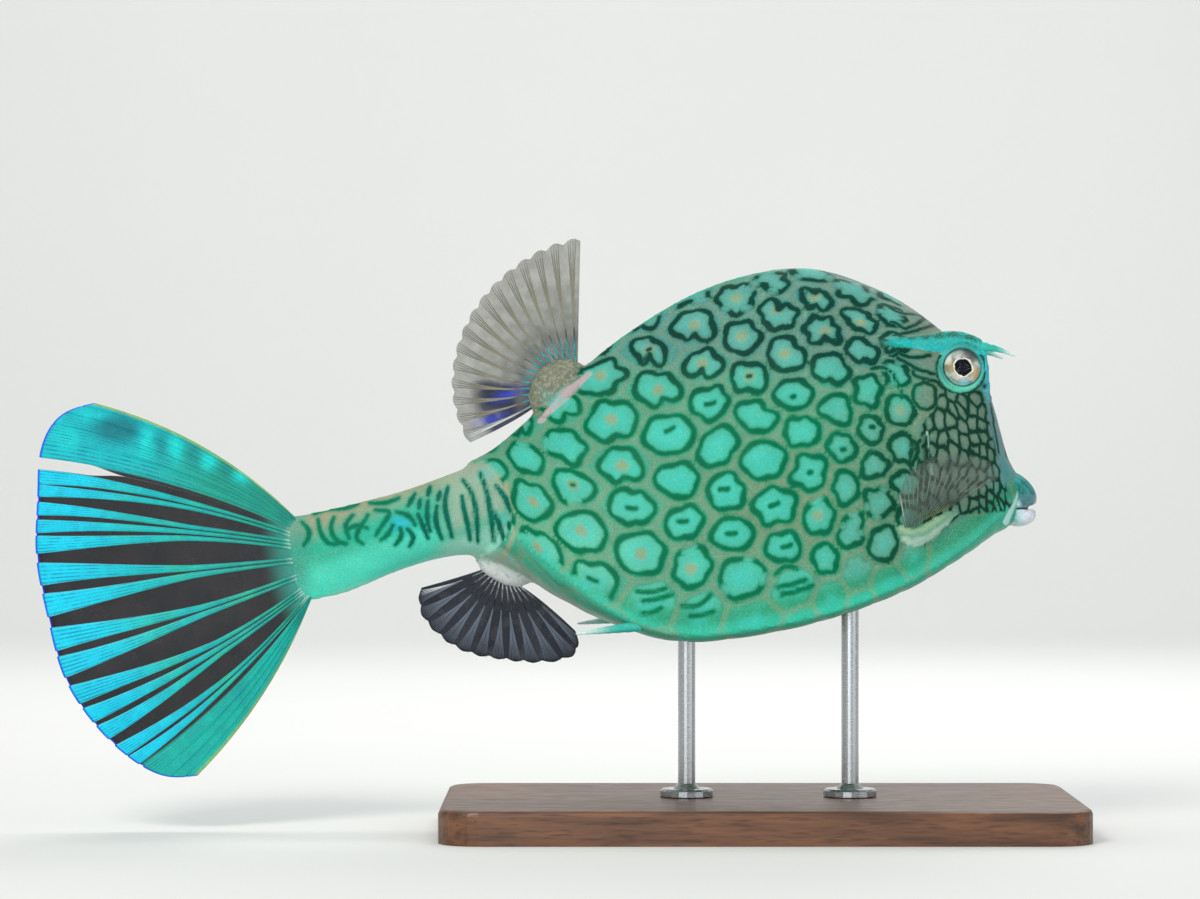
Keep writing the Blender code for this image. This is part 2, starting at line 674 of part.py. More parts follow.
TAIL_FAN = Fan(
    root=((-139.4, 12.6), (-139.4, -12.2)),
    margin=((-192.0, 57.8), (-202.4, 56.0), (-209.6, 48.0), (-213.4, 34.4), (-217.4, 17.0), (-217.6, -4.0),
            (-216.0, -21.2), (-211.6, -33.5), (-199.8, -50.6), (-191.6, -56.2), (-182.8, -57.6)),
    first_way=124.0, last_way=238.0, bow=0.52, crowding=0.12,
    rays=((0.01, 0.04, 0.075, 0.11), (0.16,), (0.21, 0.24), (0.277, 0.314, 0.352), (0.414, 0.48),
          (0.552, 0.612), (0.676, 0.727, 0.773), (0.826, 0.859), (0.90, 0.93, 0.96, 0.99)),
    fork=0.36, ray_width=(0.9, 2.5), ray_thick=(3.0, 1.1), web_thick=(1.6, 0.5), wave=0.9, rows=6,
)
DORSAL_FAN = Fan(
    root=((-47.0, 44.5), (-53.0, 45.0), (-59.0, 42.0), (-62.5, 36.5), (-62.5, 31.5)),
    margin=((-39.5, 79.0), (-47.0, 78.5), (-60.0, 74.5), (-74.0, 65.0), (-83.5, 51.0), (-86.5, 35.5),
            (-84.5, 24.5)),
    first_way=78.0, last_way=205.0, bow=0.4, crowding=0.0,
    rays=even_rays(11),
    fork=0.45, ray_width=(0.7, 0.9), ray_thick=(2.0, 0.9), web_thick=(0.8, 0.5), wave=0.7, rows=5,
)
ANAL_FAN = Fan(
    root=((-75.0, -22.5), (-79.5, -22.0), (-84.5, -19.5), (-88.5, -13.5)),
    margin=((-63.2, -37.4), (-63.9, -42.6), (-74.6, -44.4), (-87.4, -41.0), (-97.3, -36.7), (-104.4, -30.0),
            (-108.3, -21.5), (-107.0, -15.3)),
    first_way=-46.0, last_way=-172.0, bow=0.4, crowding=0.0,
    rays=even_rays(10),
    fork=0.45, ray_width=(0.7, 0.9), ray_thick=(2.0, 0.9), web_thick=(0.8, 0.5), wave=0.7, rows=5,
)
PECTORAL_FAN = Fan(
    root=((51.8, -21.0), (47.1, -21.6), (41.8, -23.0), (37.4, -25.4)),
    margin=((68.0, -15.4), (67.0, -10.0), (61.4, -5.2), (54.0, -2.6), (47.0, -3.2), (40.4, -7.2),
            (36.8, -13.4)),
    first_way=19.0, last_way=100.0, bow=0.35, crowding=0.0,
    rays=even_rays(10),
    fork=0.5, ray_width=(0.7, 1.0), ray_thick=(1.5, 0.8), web_thick=(0.7, 0.5), wave=0.5, rows=4,
)
NOTCH = 0.005  # how far the web stands back from the rays' tips
LEAST_STEP = 0.16  # between two columns of a fin's grid
PECTORAL_OUT = 31.2
PECTORAL_LIFT = 5.0
PECTORAL_FOLD = 6.0  # how much nearer the cheek its first ray ends

DORSAL_ROOT = ((-54.0, 0.0, 35.5), (9.5, 3.4, 7.5), 38.0)
ANAL_ROOT = ((-81.5, 0.0, -15.6), (8.4, 3.2, 5.4), -38.0)
PECTORAL_ROOT = ((43.8, 30.0, -24.6), (8.9, 3.4, 3.2), 12.0)


def blend(pair, share):
    """The value between one at the root and one at the margin."""
    return pair[0] + (pair[1] - pair[0]) * share


def along(outline, share):
    """Points on the smooth line through an outline's points, by share of its length."""
    outline = np.array(outline, float)
    knots = lengths_along(outline)
    return natural_spline(knots / knots[-1], outline, np.asarray(share, float))


def fan_point(fan, across, out):
    """Points in side view: across is 0 at the first ray and 1 at the last, out is 0 at the root."""
    at_root = across + fan.crowding * np.sin(math.pi * across**2)
    start, end = along(fan.root, np.clip(at_root, 0, 1)), along(fan.margin, across)
    way = np.radians(fan.first_way + (fan.last_way - fan.first_way) * across)
    reach = np.linalg.norm(end - start, axis=1) * fan.bow
    middle = start + reach[:, None] * np.column_stack([np.cos(way), np.sin(way)])
    out = np.asarray(out, float)[:, None]
    return start * (1 - out) ** 2 + middle * 2 * out * (1 - out) + end * out**2


def fan_columns(fan, out):
    """Where a fin's columns stand at one distance from its root, and which of them are a ray's crest."""
    sample = np.linspace(0, 1, 60)
    width = lengths_along(fan_point(fan, sample, np.full(60, out)))[-1]
    branches = sum(len(ray) for ray in fan.rays)
    half = min(blend(fan.ray_width, out), 0.8 * width / branches) / 2 / width
    apart = np.clip((out - fan.fork) / (1 - fan.fork), 0, 1)
    across, crest = [], []
    for ray in fan.rays:
        stem = sum(ray) / len(ray)
        for k, tip in enumerate(ray):
            beside = stem + (2 * k - (len(ray) - 1)) * half
            centre = beside + (tip - beside) * apart
            across += [centre - half, centre, centre + half]
            crest += [0.0, 1.0, 0.0]
    across, least = np.array(across), LEAST_STEP / width
    across[0], across[-1] = 0.0, 1.0
    for i in range(1, len(across)):
        across[i] = max(across[i], across[i - 1] + least)
    across[-1] = 1.0
    for i in range(len(across) - 2, -1, -1):
        across[i] = min(across[i], across[i + 1] - least)
    across[0] = 0.0
    return across, np.array(crest)


def fan_solid(name, fan, depth):
    """A fin with its rays raised on both faces; depth gives the y of its middle surface."""
    front, back = [], []
    for out in np.linspace(0, 1, fan.rows):
        across, crest = fan_columns(fan, out)
        flat = fan_point(fan, across, out * (1 - NOTCH * (1 - crest) * out**4))
        thick = blend(fan.web_thick, out) * (1 - crest) + blend(fan.ray_thick, out) * crest
        middle = depth(across, out) + fan.wave * out**2 * np.sin(5 * math.pi * across + 1)
        front.append(np.column_stack([flat[:, 0], middle - thick / 2, flat[:, 1]]))
        back.append(np.column_stack([flat[:, 0], middle + thick / 2, flat[:, 1]]))
    return sheet_solid(name, np.array(front), np.array(back))


def sheet_solid(name, front, back):
    """A closed solid between two matching grids of points, split into triangles alike on both."""
    rows, columns = front.shape[:2]
    total = rows * columns
    faces = []
    for r in range(rows - 1):
        for c in range(columns - 1):
            a = r * columns + c
            b, d, e = a + 1, a + columns, a + columns + 1
            faces += [(a, b, e), (a, e, d)]
            faces += [(a + total, e + total, b + total), (a + total, d + total, e + total)]
    rim = list(range(columns)) + [r * columns + columns - 1 for r in range(1, rows)]
    rim += [(rows - 1) * columns + c for c in range(columns - 2, -1, -1)]
    rim += [r * columns for r in range(rows - 2, 0, -1)]
    for i, a in enumerate(rim):
        b = rim[(i + 1) % len(rim)]
        faces += [(a, a + total, b + total), (a, b + total, b)]
    points = np.vstack([front.reshape(-1, 3), back.reshape(-1, 3)])
    return faces_object(name, swept(points), faces)


def flat_depth(across, out):
    """A fin that stands in the fish's middle plane."""
    return np.zeros_like(across)


def pectoral_depth(side):
    """A pectoral fin's middle surface, standing off the cheek more towards its margin."""
    sign = 1 if side == "left" else -1

    def depth(across, out):
        return sign * (PECTORAL_OUT + PECTORAL_LIFT * out - PECTORAL_FOLD * (1 - across) * out)

    return depth


def lobe(name, centre, radii, rise_degrees, swell=0.0):
    """The fleshy form that a fin's rays stand on."""
    turn = Matrix.Rotation(-math.radians(rise_degrees), 4, "Y")
    return ellipsoid(name, centre, [r + swell for r in radii], turn, 16, 8)


def fin_on_root(name, fan, depth, root, neighbours):
    """A fin's fleshy root, cut clear of the body, and its fan of rays, cut clear of both."""
    fin = combine(fan_solid(name, fan, depth), [lobe("swollen", *root, swell=GAP)], "DIFFERENCE")
    flesh = lobe(name.replace("_fin", "_fin_root"), *root)
    return cut_clear(flesh, neighbours), cut_clear(fin, neighbours)


# Stand
BASE_LENGTH = 190.0
BASE_WIDTH = 110.0
BASE_THICKNESS = 10.0
BASE_CORNER = 12.0
BASE_EDGE = 1.5
ROD_RADIUS = 2.6
ROD_TOP = 90.0
ROD_FOOT_RADIUS = 8.0
ROD_FOOT_THICK = 2.2
ROD_FILLET = 1.6
FOOT_EDGE = 0.6
ROD_SIDES = 20
ROD_PLACES = {"front": 27.0, "rear": -22.0}


def stand_base():
    """The stand's flat slab, with round corners and softened edges, over the origin."""
    bm = bmesh.new()
    bmesh.ops.create_cube(bm, size=MM)
    size = Matrix.Diagonal((BASE_LENGTH, BASE_WIDTH, BASE_THICKNESS, 1))
    bmesh.ops.transform(bm, matrix=Matrix.Translation((0, 0, BASE_THICKNESS * MM / 2)) @ size, verts=bm.verts)
    upright = [e for e in bm.edges if abs((e.verts[0].co - e.verts[1].co).z) > BASE_THICKNESS * MM / 2]
    bmesh.ops.bevel(bm, geom=upright, offset=BASE_CORNER * MM, segments=6, affect="EDGES", profile=0.5)
    top = [e for e in bm.edges if all(v.co.z > BASE_THICKNESS * MM * 0.9 for v in e.verts)]
    bmesh.ops.bevel(bm, geom=top, offset=BASE_EDGE * MM, segments=2, affect="EDGES", profile=0.5)
    return closed_mesh("stand_base", bm)


def stand_rod(name, x, pose, neighbours):
    """A turned rod with a foot, standing on the base, its top cut to the belly."""
    bottom = BASE_THICKNESS + GAP
    shoulder = bottom + ROD_FOOT_THICK
    profile = ((0.0, ROD_TOP), (ROD_RADIUS, ROD_TOP), (ROD_RADIUS, shoulder + ROD_FILLET),
               (ROD_RADIUS + ROD_FILLET, shoulder), (ROD_FOOT_RADIUS - FOOT_EDGE, shoulder),
               (ROD_FOOT_RADIUS, shoulder - FOOT_EDGE), (ROD_FOOT_RADIUS, bottom), (0.0, bottom))
    edges = [(i, i + 1) for i in range(len(profile) - 1)]
    mesh = bpy.data.meshes.new(name)
    mesh.from_pydata([(r * MM, 0, z * MM) for r, z in profile], edges, [])
    obj = link(name, mesh)
    turn = obj.modifiers.new("turn", "SCREW")
    turn.steps = turn.render_steps = ROD_SIDES
    turn.use_merge_vertices = True
    turn.merge_threshold = 1e-5
    solid = bpy.data.meshes.new_from_object(obj.evaluated_get(bpy.context.evaluated_depsgraph_get()))
    obj.modifiers.clear()
    obj.data = solid
    solid.transform(pose.inverted() @ Matrix.Translation((x * MM, 0, 0)))
    cut_clear(obj, neighbours, solver="MANIFOLD")  # EXACT loses the front rod
    obj.data.transform(pose)
    return obj


Finish = namedtuple("Finish", "colour roughness metallic")
FINISHES = {
    "shell_skin": Finish((0.10, 0.52, 0.42), 0.45, 0.0),
    "soft_skin": Finish((0.30, 0.62, 0.52), 0.5, 0.0),
    "eye": Finish((0.55, 0.52, 0.42), 0.15, 0.0),
    "horn": Finish((0.10, 0.60, 0.58), 0.4, 0.0),
    "tail_fin": Finish((0.03, 0.55, 0.65), 0.4, 0.0),
    "clear_fin": Finish((0.28, 0.32, 0.34), 0.4, 0.0),
    "lip": Finish((0.72, 0.82, 0.84), 0.4, 0.0),
    "stand_wood": Finish((0.12, 0.07, 0.045), 0.5, 0.0),
    "stand_metal": Finish((0.60, 0.60, 0.60), 0.3, 1.0),
}
CREASE = math.radians(35)  # edges sharper than this stay sharp in the shading


def dress(obj, finish_name):
    """Gives an object its finish, and smooth shading with sharp edges kept."""
    material = bpy.data.materials.get(finish_name) or bpy.data.materials.new(finish_name)
    material.use_nodes = True
    shader = material.node_tree.nodes["Principled BSDF"]
    finish = FINISHES[finish_name]
    shader.inputs["Base Color"].default_value = (*finish.colour, 1.0)
    shader.inputs["Roughness"].default_value = finish.roughness
    shader.inputs["Metallic"].default_value = finish.metallic
    obj.data.materials.clear()
    obj.data.materials.append(material)
    obj.data.shade_smooth()
    obj.data.set_sharp_from_angle(angle=CREASE)


def build():
    """Makes every node, level, then tips the fish over its stand."""
    for old in list(bpy.data.objects):
        bpy.data.objects.remove(old)
    pose = Matrix.Translation((0, 0, TRUNK_HEIGHT * MM)) @ Matrix.Rotation(-NOSE_UP, 4, "Y")

    whole = shell()
    skull, trunk = head(whole), carapace(whole)
    bpy.data.objects.remove(whole)
    stalk = tail_stalk(trunk)
    fish = [(skull, "shell_skin"), (trunk, "shell_skin"), (stalk, "soft_skin"), (mouth(skull), "lip")]
    fish += [(fan_solid("tail_fin", TAIL_FAN, flat_depth), "tail_fin")]
    fins = [("dorsal_fin", DORSAL_FAN, flat_depth, DORSAL_ROOT, [trunk]),
            ("anal_fin", ANAL_FAN, flat_depth, ANAL_ROOT, [trunk, stalk])]
    for side in ("left", "right"):
        centre, radii, rise = PECTORAL_ROOT
        root = (mirrored(centre, side), radii, rise)
        fins += [("pectoral_fin_" + side, PECTORAL_FAN, pectoral_depth(side), root, [skull, trunk])]
        fish += [(eyeball("eye_" + side, side), "eye"), (horn(side), "horn")]
        fish += [(pelvic_spine(side, trunk), "horn")]
    for fin in fins:
        flesh, rays = fin_on_root(*fin)
        fish += [(flesh, "soft_skin"), (rays, "clear_fin")]
    stand = [(stand_base(), "stand_wood")]
    for end, x in ROD_PLACES.items():
        stand.append((stand_rod("stand_rod_" + end, x, pose, [trunk]), "stand_metal"))

    holder = bpy.data.objects.new("fish_pose", None)
    holder.matrix_world = pose
    home = bpy.data.collections.new("honeycomb_cowfish")
    bpy.context.scene.collection.children.link(home)
    home.objects.link(holder)
    for obj, finish_name in fish + stand:
        dress(obj, finish_name)
        for old_home in list(obj.users_collection):
            old_home.objects.unlink(obj)
        home.objects.link(obj)
    for obj, _ in fish:
        obj.parent = holder


build()
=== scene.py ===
"""Dresses the boxfish display model for its picture: skin, eyes, horns, lips, fins, stand, light and camera.

The fish's own frame is in millimetres: x towards the snout, y to its left, z up, with the origin inside the
trunk. A turn and a lift bring it over the stand, whose underside's middle is the world's origin, in metres.
A mark on the skin is placed by the point of the picture where it shows, and is then carried onto the shell.
"""

import logging
import math
from collections.abc import Callable, Iterable, Sequence
from dataclasses import dataclass, field
from enum import Enum
from functools import partialmethod

import bmesh
import bpy
import numpy as np
from mathutils import Matrix, Vector
from mathutils.kdtree import KDTree


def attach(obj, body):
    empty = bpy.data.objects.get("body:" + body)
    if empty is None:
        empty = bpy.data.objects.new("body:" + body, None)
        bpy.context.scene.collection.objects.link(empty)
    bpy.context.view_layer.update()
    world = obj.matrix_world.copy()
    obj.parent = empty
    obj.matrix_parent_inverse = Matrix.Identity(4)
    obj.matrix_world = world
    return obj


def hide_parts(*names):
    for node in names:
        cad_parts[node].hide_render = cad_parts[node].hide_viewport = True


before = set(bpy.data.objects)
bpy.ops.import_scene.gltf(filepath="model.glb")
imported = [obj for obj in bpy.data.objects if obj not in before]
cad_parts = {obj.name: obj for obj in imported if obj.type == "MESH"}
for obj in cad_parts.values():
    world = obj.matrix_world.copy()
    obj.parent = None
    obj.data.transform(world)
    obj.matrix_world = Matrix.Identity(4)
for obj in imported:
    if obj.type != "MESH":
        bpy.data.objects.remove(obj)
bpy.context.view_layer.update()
LOG = logging.getLogger("boxfish")

MM = 0.001
BODY = "root"
SEED = 1041
COLUMN_SEEDS = 37  # seeds set aside for each column of plates

# Pose of the fish over the stand, and the swing of its tail
NOSE_UP = math.radians(11.0)
TRUNK_HEIGHT = 108.0
TAIL_SWEEP = 5.0
SWEEP_START = -80.0  # x in the fish's frame, as all of these without another word
SWEEP_END = -218.0
POSE = Matrix.Translation((0, 0, TRUNK_HEIGHT * MM)) @ Matrix.Rotation(-NOSE_UP, 4, "Y")

# The picture that the marks are placed by
VIEW_CENTRE = (600.0, 449.5)
VIEW_AIM = (-48.0, 114.15)  # the world's x and z there, in millimetres
VIEW_DISTANCE = 1300.0
PIXEL = 0.30  # millimetres in the fish's middle plane
VIEW_WIDTH = 1200 * PIXEL

# Sections of the shell: top x, top z, belly x, belly z, keel rise, keel width, shoulder width, boxiness
SHELL_STATIONS = (
    (-88.2, 18.6, -87.2, -9.4, 0.45, 11.0, 9.6, 2.0),
    (-80.0, 20.6, -80.0, -13.2, 0.36, 14.5, 11.0, 2.2),
    (-70.0, 25.6, -70.0, -22.4, 0.22, 21.5, 13.0, 2.3),
    (-60.0, 31.6, -60.0, -30.8, 0.12, 29.0, 15.0, 2.4),
    (-48.0, 39.2, -48.0, -38.6, 0.05, 34.5, 16.5, 2.6),
    (-36.0, 45.8, -36.0, -44.2, 0.03, 37.0, 17.5, 2.7),
    (-22.0, 51.8, -22.0, -46.8, 0.025, 38.0, 18.5, 2.8),
    (-6.0, 56.6, -6.0, -47.5, 0.025, 38.5, 19.5, 2.9),
    (10.0, 58.3, 8.0, -47.1, 0.025, 38.0, 20.5, 3.1),
    (26.0, 56.6, 20.0, -45.8, 0.025, 36.0, 22.0, 3.5),
    (40.0, 49.8, 31.0, -44.0, 0.03, 33.0, 23.5, 4.2),
    (52.0, 40.8, 41.0, -41.4, 0.035, 29.5, 24.0, 5.5),
    (61.3, 30.6, 50.0, -38.3, 0.045, 25.0, 23.5, 7.0),
    (68.0, 20.6, 57.0, -35.6, 0.06, 20.5, 20.5, 6.5),
    (71.8, 9.0, 62.5, -33.2, 0.10, 16.0, 16.0, 5.0),
    (72.9, -3.0, 66.5, -31.7, 0.17, 12.5, 12.0, 4.0),
    (74.0, -12.0, 69.5, -30.9, 0.28, 10.0, 9.5, 3.0),
    (76.2, -17.8, 71.2, -30.2, 0.45, 6.6, 6.2, 2.4),
)
STALK_STATIONS = (
    (-144.0, 12.2, -144.0, -11.8, 0.5, 0.5, 0.5, 2.0),
    (-141.5, 13.2, -141.5, -12.8, 0.5, 1.6, 1.6, 2.0),
    (-137.0, 13.3, -137.0, -12.9, 0.5, 3.1, 3.1, 2.0),
    (-130.0, 13.2, -130.0, -12.6, 0.5, 4.0, 4.0, 2.0),
    (-118.0, 13.6, -118.0, -10.2, 0.5, 5.6, 5.6, 2.0),
    (-106.0, 14.4, -106.0, -8.2, 0.5, 7.0, 7.0, 2.0),
    (-94.0, 16.2, -94.0, -7.9, 0.5, 8.6, 8.6, 2.0),
    (-82.0, 18.4, -82.0, -10.4, 0.5, 10.8, 10.8, 2.0),
    (-72.0, 20.6, -72.0, -13.4, 0.5, 12.4, 12.4, 2.0),
)
KEEL_FLARE = 0.05
HEX_STEP = math.sqrt(3) / 2
HEX_CORNER = 1 / math.sqrt(3)

Points = np.ndarray


class Side(Enum):
    """The two sides of the fish."""

    LEFT = "left"
    RIGHT = "right"

    @property
    def sign(self) -> int:
        """1 to the fish's left, -1 to its right."""
        return 1 if self is Side.LEFT else -1


def swept(points: Points) -> Points:
    """Swings points gently to the fish's right, more towards its tail's tip.

    Args:
        points: Points in the fish's frame.

    Returns:
        The moved points.
    """
    moved = np.array(points, float)
    share = np.clip((SWEEP_START - moved[..., 0]) / (SWEEP_START - SWEEP_END), 0, None)
    moved[..., 1] -= TAIL_SWEEP * share**2
    return moved


def natural_spline(knots: Points, values: Points, where: Points) -> Points:
    """Reads the natural cubic spline through values.

    Args:
        knots: Places of the values, rising.
        values: One value or row of values at each knot.
        where: Places to read.

    Returns:
        The spline's value at each place.
    """
    knots, values, where = (np.asarray(a, float) for a in (knots, values, where))
    count, gaps = len(knots), np.diff(knots)
    system, right = np.eye(count), np.zeros_like(values)
    for i in range(1, count - 1):
        system[i, i - 1 : i + 2] = gaps[i - 1], 2 * (gaps[i - 1] + gaps[i]), gaps[i]
        right[i] = 6 * ((values[i + 1] - values[i]) / gaps[i] - (values[i] - values[i - 1]) / gaps[i - 1])
    bend = np.linalg.solve(system, right)
    i = np.clip(np.searchsorted(knots, where) - 1, 0, count - 2)
    wide = (slice(None),) + (None,) * (values.ndim - 1)
    gap, before, after = gaps[i][wide], (where - knots[i])[wide], (knots[i + 1] - where)[wide]
    cubic = (bend[i] * after**3 + bend[i + 1] * before**3) / (6 * gap)
    return (
        cubic
        + (values[i] / gap - bend[i] * gap / 6) * after
        + (values[i + 1] / gap - bend[i + 1] * gap / 6) * before
    )


def lengths_along(points: Points) -> Points:
    """The distance of each point from the first one, along the line through them."""
    steps = np.linalg.norm(np.diff(points, axis=0), axis=1)
    return np.concatenate([[0], np.cumsum(steps)])


def smooth_line(points: Sequence[Sequence[float]], step: float) -> Points:
    """Draws a smooth line through a few points.

    Args:
        points: The points, in any number of dimensions.
        step: About how far apart the line's own points are.

    Returns:
        The line's points.
    """
    points = np.array(points, float)
    knots = lengths_along(points)
    if len(points) < 3:
        count = max(int(knots[-1] / step), 1) + 1
        return points[0] + (points[-1] - points[0]) * np.linspace(0, 1, count)[:, None]
    return natural_spline(knots, points, np.linspace(0, knots[-1], max(int(knots[-1] / step), 2) + 1))


def stations_between(stations: Sequence[Sequence[float]], count: int) -> Points:
    """The table of stations filled in to count rows, evenly spaced along the body.

    Args:
        stations: The table, from the tail forwards.
        count: How many rows.

    Returns:
        The filled table.
    """
    table = np.array(stations, float)
    knots = lengths_along(table[:, 0:2]) + lengths_along(table[:, 2:4])
    return natural_spline(knots, table, np.linspace(0, knots[-1], count))


def half_section(row: Points, flank_steps: int, belly_steps: int, ridge_power: float) -> Points:
    """Draws the fish's right half of one section.

    Args:
        row: One row of the table of stations.
        flank_steps: Steps from the ridge of the back down to the keel.
        belly_steps: Steps from the keel in to mid belly.
        ridge_power: 1 gives a sharp ridge along the back, 2 a round one.

    Returns:
        The section's points.
    """
    top_x, top_z, belly_x, belly_z, keel_rise, keel_width, shoulder_width, boxiness = row
    height = np.sin(np.linspace(math.pi / 2, 0, flank_steps + 1))
    width = keel_width * (1 - height) + shoulder_width * height
    width = width * np.clip(1 - height**boxiness, 0, 1) ** (1 / ridge_power)
    width += KEEL_FLARE * keel_width * (1 - height) ** 9
    level = keel_rise + (1 - keel_rise) * height
    turn = np.linspace(0, math.pi / 2, belly_steps + 1)[1:]
    width = np.concatenate([width, keel_width * (1 + KEEL_FLARE) * np.cos(turn)])
    level = np.concatenate([level, keel_rise * (1 - np.sin(turn))])
    return np.column_stack([belly_x + (top_x - belly_x) * level, -width, belly_z + (top_z - belly_z) * level])


def to_picture(points: Points) -> Points:
    """The picture's places where points of the fish's frame show, in pixels.

    Args:
        points: Points in the fish's frame.

    Returns:
        Each one's place across and down.
    """
    x, y, z = np.asarray(points, float).T
    world_x = x * math.cos(NOSE_UP) - z * math.sin(NOSE_UP)
    world_z = TRUNK_HEIGHT + x * math.sin(NOSE_UP) + z * math.cos(NOSE_UP)
    scale = VIEW_DISTANCE / (VIEW_DISTANCE + y) / PIXEL
    across = VIEW_CENTRE[0] + (world_x - VIEW_AIM[0]) * scale
    return np.column_stack([across, VIEW_CENTRE[1] - (world_z - VIEW_AIM[1]) * scale])


def nearest(tree: KDTree, points: Iterable[Sequence[float]]) -> tuple[np.ndarray, np.ndarray]:
    """The number of and the distance to the tree's point nearest to each given one."""
    found = [tree.find(point) for point in points]
    return np.array([f[1] for f in found]), np.array([f[2] for f in found])


def tree_of(points: Points) -> KDTree:
    """A search tree of points in two or three dimensions.

    Args:
        points: The points.

    Returns:
        The tree.
    """
    tree = KDTree(len(points))
    for i, point in enumerate(points):
        tree.insert((*point, 0.0)[:3], i)
    tree.balance()
    return tree


def ease(value: Points, low: float, high: float) -> Points:
    """0 up to low, 1 from high, and a smooth rise between; with low above high, a smooth fall."""
    share = np.clip((np.asarray(value, float) - low) / (high - low), 0, 1)
    return share * share * (3 - 2 * share)


# Objects and meshes


def add_object(name: str, mesh: bpy.types.Mesh) -> bpy.types.Object:
    """A new object for a mesh, in the scene.

    Args:
        name: The object's name.
        mesh: Its mesh.

    Returns:
        The object.
    """
    obj = bpy.data.objects.new(name, mesh)
    bpy.context.scene.collection.objects.link(obj)
    return obj


def object_of(name: str, bm: bmesh.types.BMesh) -> bpy.types.Object:
    """A new object with what a bmesh holds, which is then freed.

    Args:
        name: The object's name.
        bm: The bmesh.

    Returns:
        The object.
    """
    mesh = bpy.data.meshes.new(name)
    bm.to_mesh(mesh)
    bm.free()
    return add_object(name, mesh)


def apply_steps(obj: bpy.types.Object) -> None:
    """Puts what an object's modifiers make of it in place of its mesh.

    Args:
        obj: The object.
    """
    made = bpy.data.meshes.new_from_object(obj.evaluated_get(bpy.context.evaluated_depsgraph_get()))
    obj.modifiers.clear()
    obj.data = made
    made.name = obj.name


def mesh_object(name: str, points: Points, faces: Iterable[Sequence[int]]) -> bpy.types.Object:
    """An object from points in metres and faces given by their numbers, facing outwards.

    Args:
        name: The object's name.
        points: Its points.
        faces: Its faces.

    Returns:
        The object.
    """
    mesh = bpy.data.meshes.new(name)
    mesh.from_pydata([tuple(p) for p in points], [], [tuple(f) for f in faces])
    bm = bmesh.new()
    bm.from_mesh(mesh)
    bmesh.ops.recalc_face_normals(bm, faces=bm.faces)
    bm.to_mesh(mesh)
    bm.free()
    return add_object(name, mesh)


def in_fish_frame(points: Points) -> Points:
    """Points of the fish's frame brought to their place over the stand, in metres."""
    turn = np.array(POSE)
    return np.asarray(points, float) * MM @ turn[:3, :3].T + turn[:3, 3]


def back_to_fish(mesh: bpy.types.Mesh) -> Points:
    """A mesh's points in the fish's own frame, in millimetres.

    Args:
        mesh: The mesh.

    Returns:
        Its points.
    """
    places = np.empty(len(mesh.vertices) * 3)
    mesh.vertices.foreach_get("co", places)
    turn = np.array(POSE.inverted())
    return (places.reshape(-1, 3) @ turn[:3, :3].T + turn[:3, 3]) / MM


def set_points(mesh: bpy.types.Mesh, points: Points) -> None:
    """Moves a mesh's vertices to points of the fish's frame."""
    mesh.vertices.foreach_set("co", in_fish_frame(points).ravel())
    mesh.update()


def grid_faces(rows: int, columns: int, closed: bool, start: int = 0) -> list[tuple[int, ...]]:
    """Lists the four-sided faces of a grid of points.

    Args:
        rows: Rows of the grid.
        columns: Points in a row.
        closed: Whether each row joins its own start.
        start: The number of the grid's first point.

    Returns:
        The faces.
    """
    faces = []
    for r in range(rows - 1):
        for c in range(columns if closed else columns - 1):
            a, b = start + r * columns + c, start + r * columns + (c + 1) % columns
            faces.append((a, b, b + columns, a + columns))
    return faces


def loft(name: str, rings: Sequence[Points]) -> bpy.types.Object:
    """A closed form through rings of the fish's frame with the same number of points, capped at both ends.

    Args:
        name: The object's name.
        rings: The rings, each as its points.

    Returns:
        The form.
    """
    around, count = len(rings[0]), len(rings)
    faces = grid_faces(count, around, True)
    faces += [tuple(range(around)), tuple(range(around * (count - 1), around * count))]
    return mesh_object(name, in_fish_frame(np.vstack(rings)), faces)


def tube(name: str, path: Points, radii: Sequence[float], around: int = 16) -> bpy.types.Object:
    """Makes a closed tube along a path.

    Args:
        name: The object's name.
        path: Points of the fish's frame.
        radii: The tube's radius at each point.
        around: Points round it.

    Returns:
        The tube.
    """
    path = np.array(path, float)
    ahead = np.gradient(path, axis=0)
    ahead /= np.linalg.norm(ahead, axis=1)[:, None]
    level = np.cross(ahead, (0.0, 0.0, 1.0))
    level /= np.linalg.norm(level, axis=1)[:, None]
    upright = np.cross(level, ahead)
    turns = np.linspace(0, 2 * math.pi, around, endpoint=False)
    rings = [
        place + radius * (np.cos(turns)[:, None] * side + np.sin(turns)[:, None] * up)
        for place, radius, side, up in zip(path, radii, level, upright)
    ]
    return loft(name, rings)


def ellipsoid(name: str, centre: Sequence[float], radii: Sequence[float], turn: Matrix,
              rings: int) -> bpy.types.Object:
    """A closed ellipsoid of the fish's frame, with twice as many segments as rings.

    Args:
        name: The object's name.
        centre: Its middle.
        radii: Its three radii.
        turn: How it is turned about its middle.
        rings: Rings from end to end.

    Returns:
        The ellipsoid.
    """
    bm = bmesh.new()
    bmesh.ops.create_uvsphere(bm, u_segments=2 * rings, v_segments=rings, radius=MM)
    place = POSE @ Matrix.Translation(Vector(centre) * MM) @ turn @ Matrix.Diagonal((*radii, 1))
    bmesh.ops.transform(bm, matrix=place, verts=bm.verts)
    bmesh.ops.recalc_face_normals(bm, faces=bm.faces)
    return object_of(name, bm)


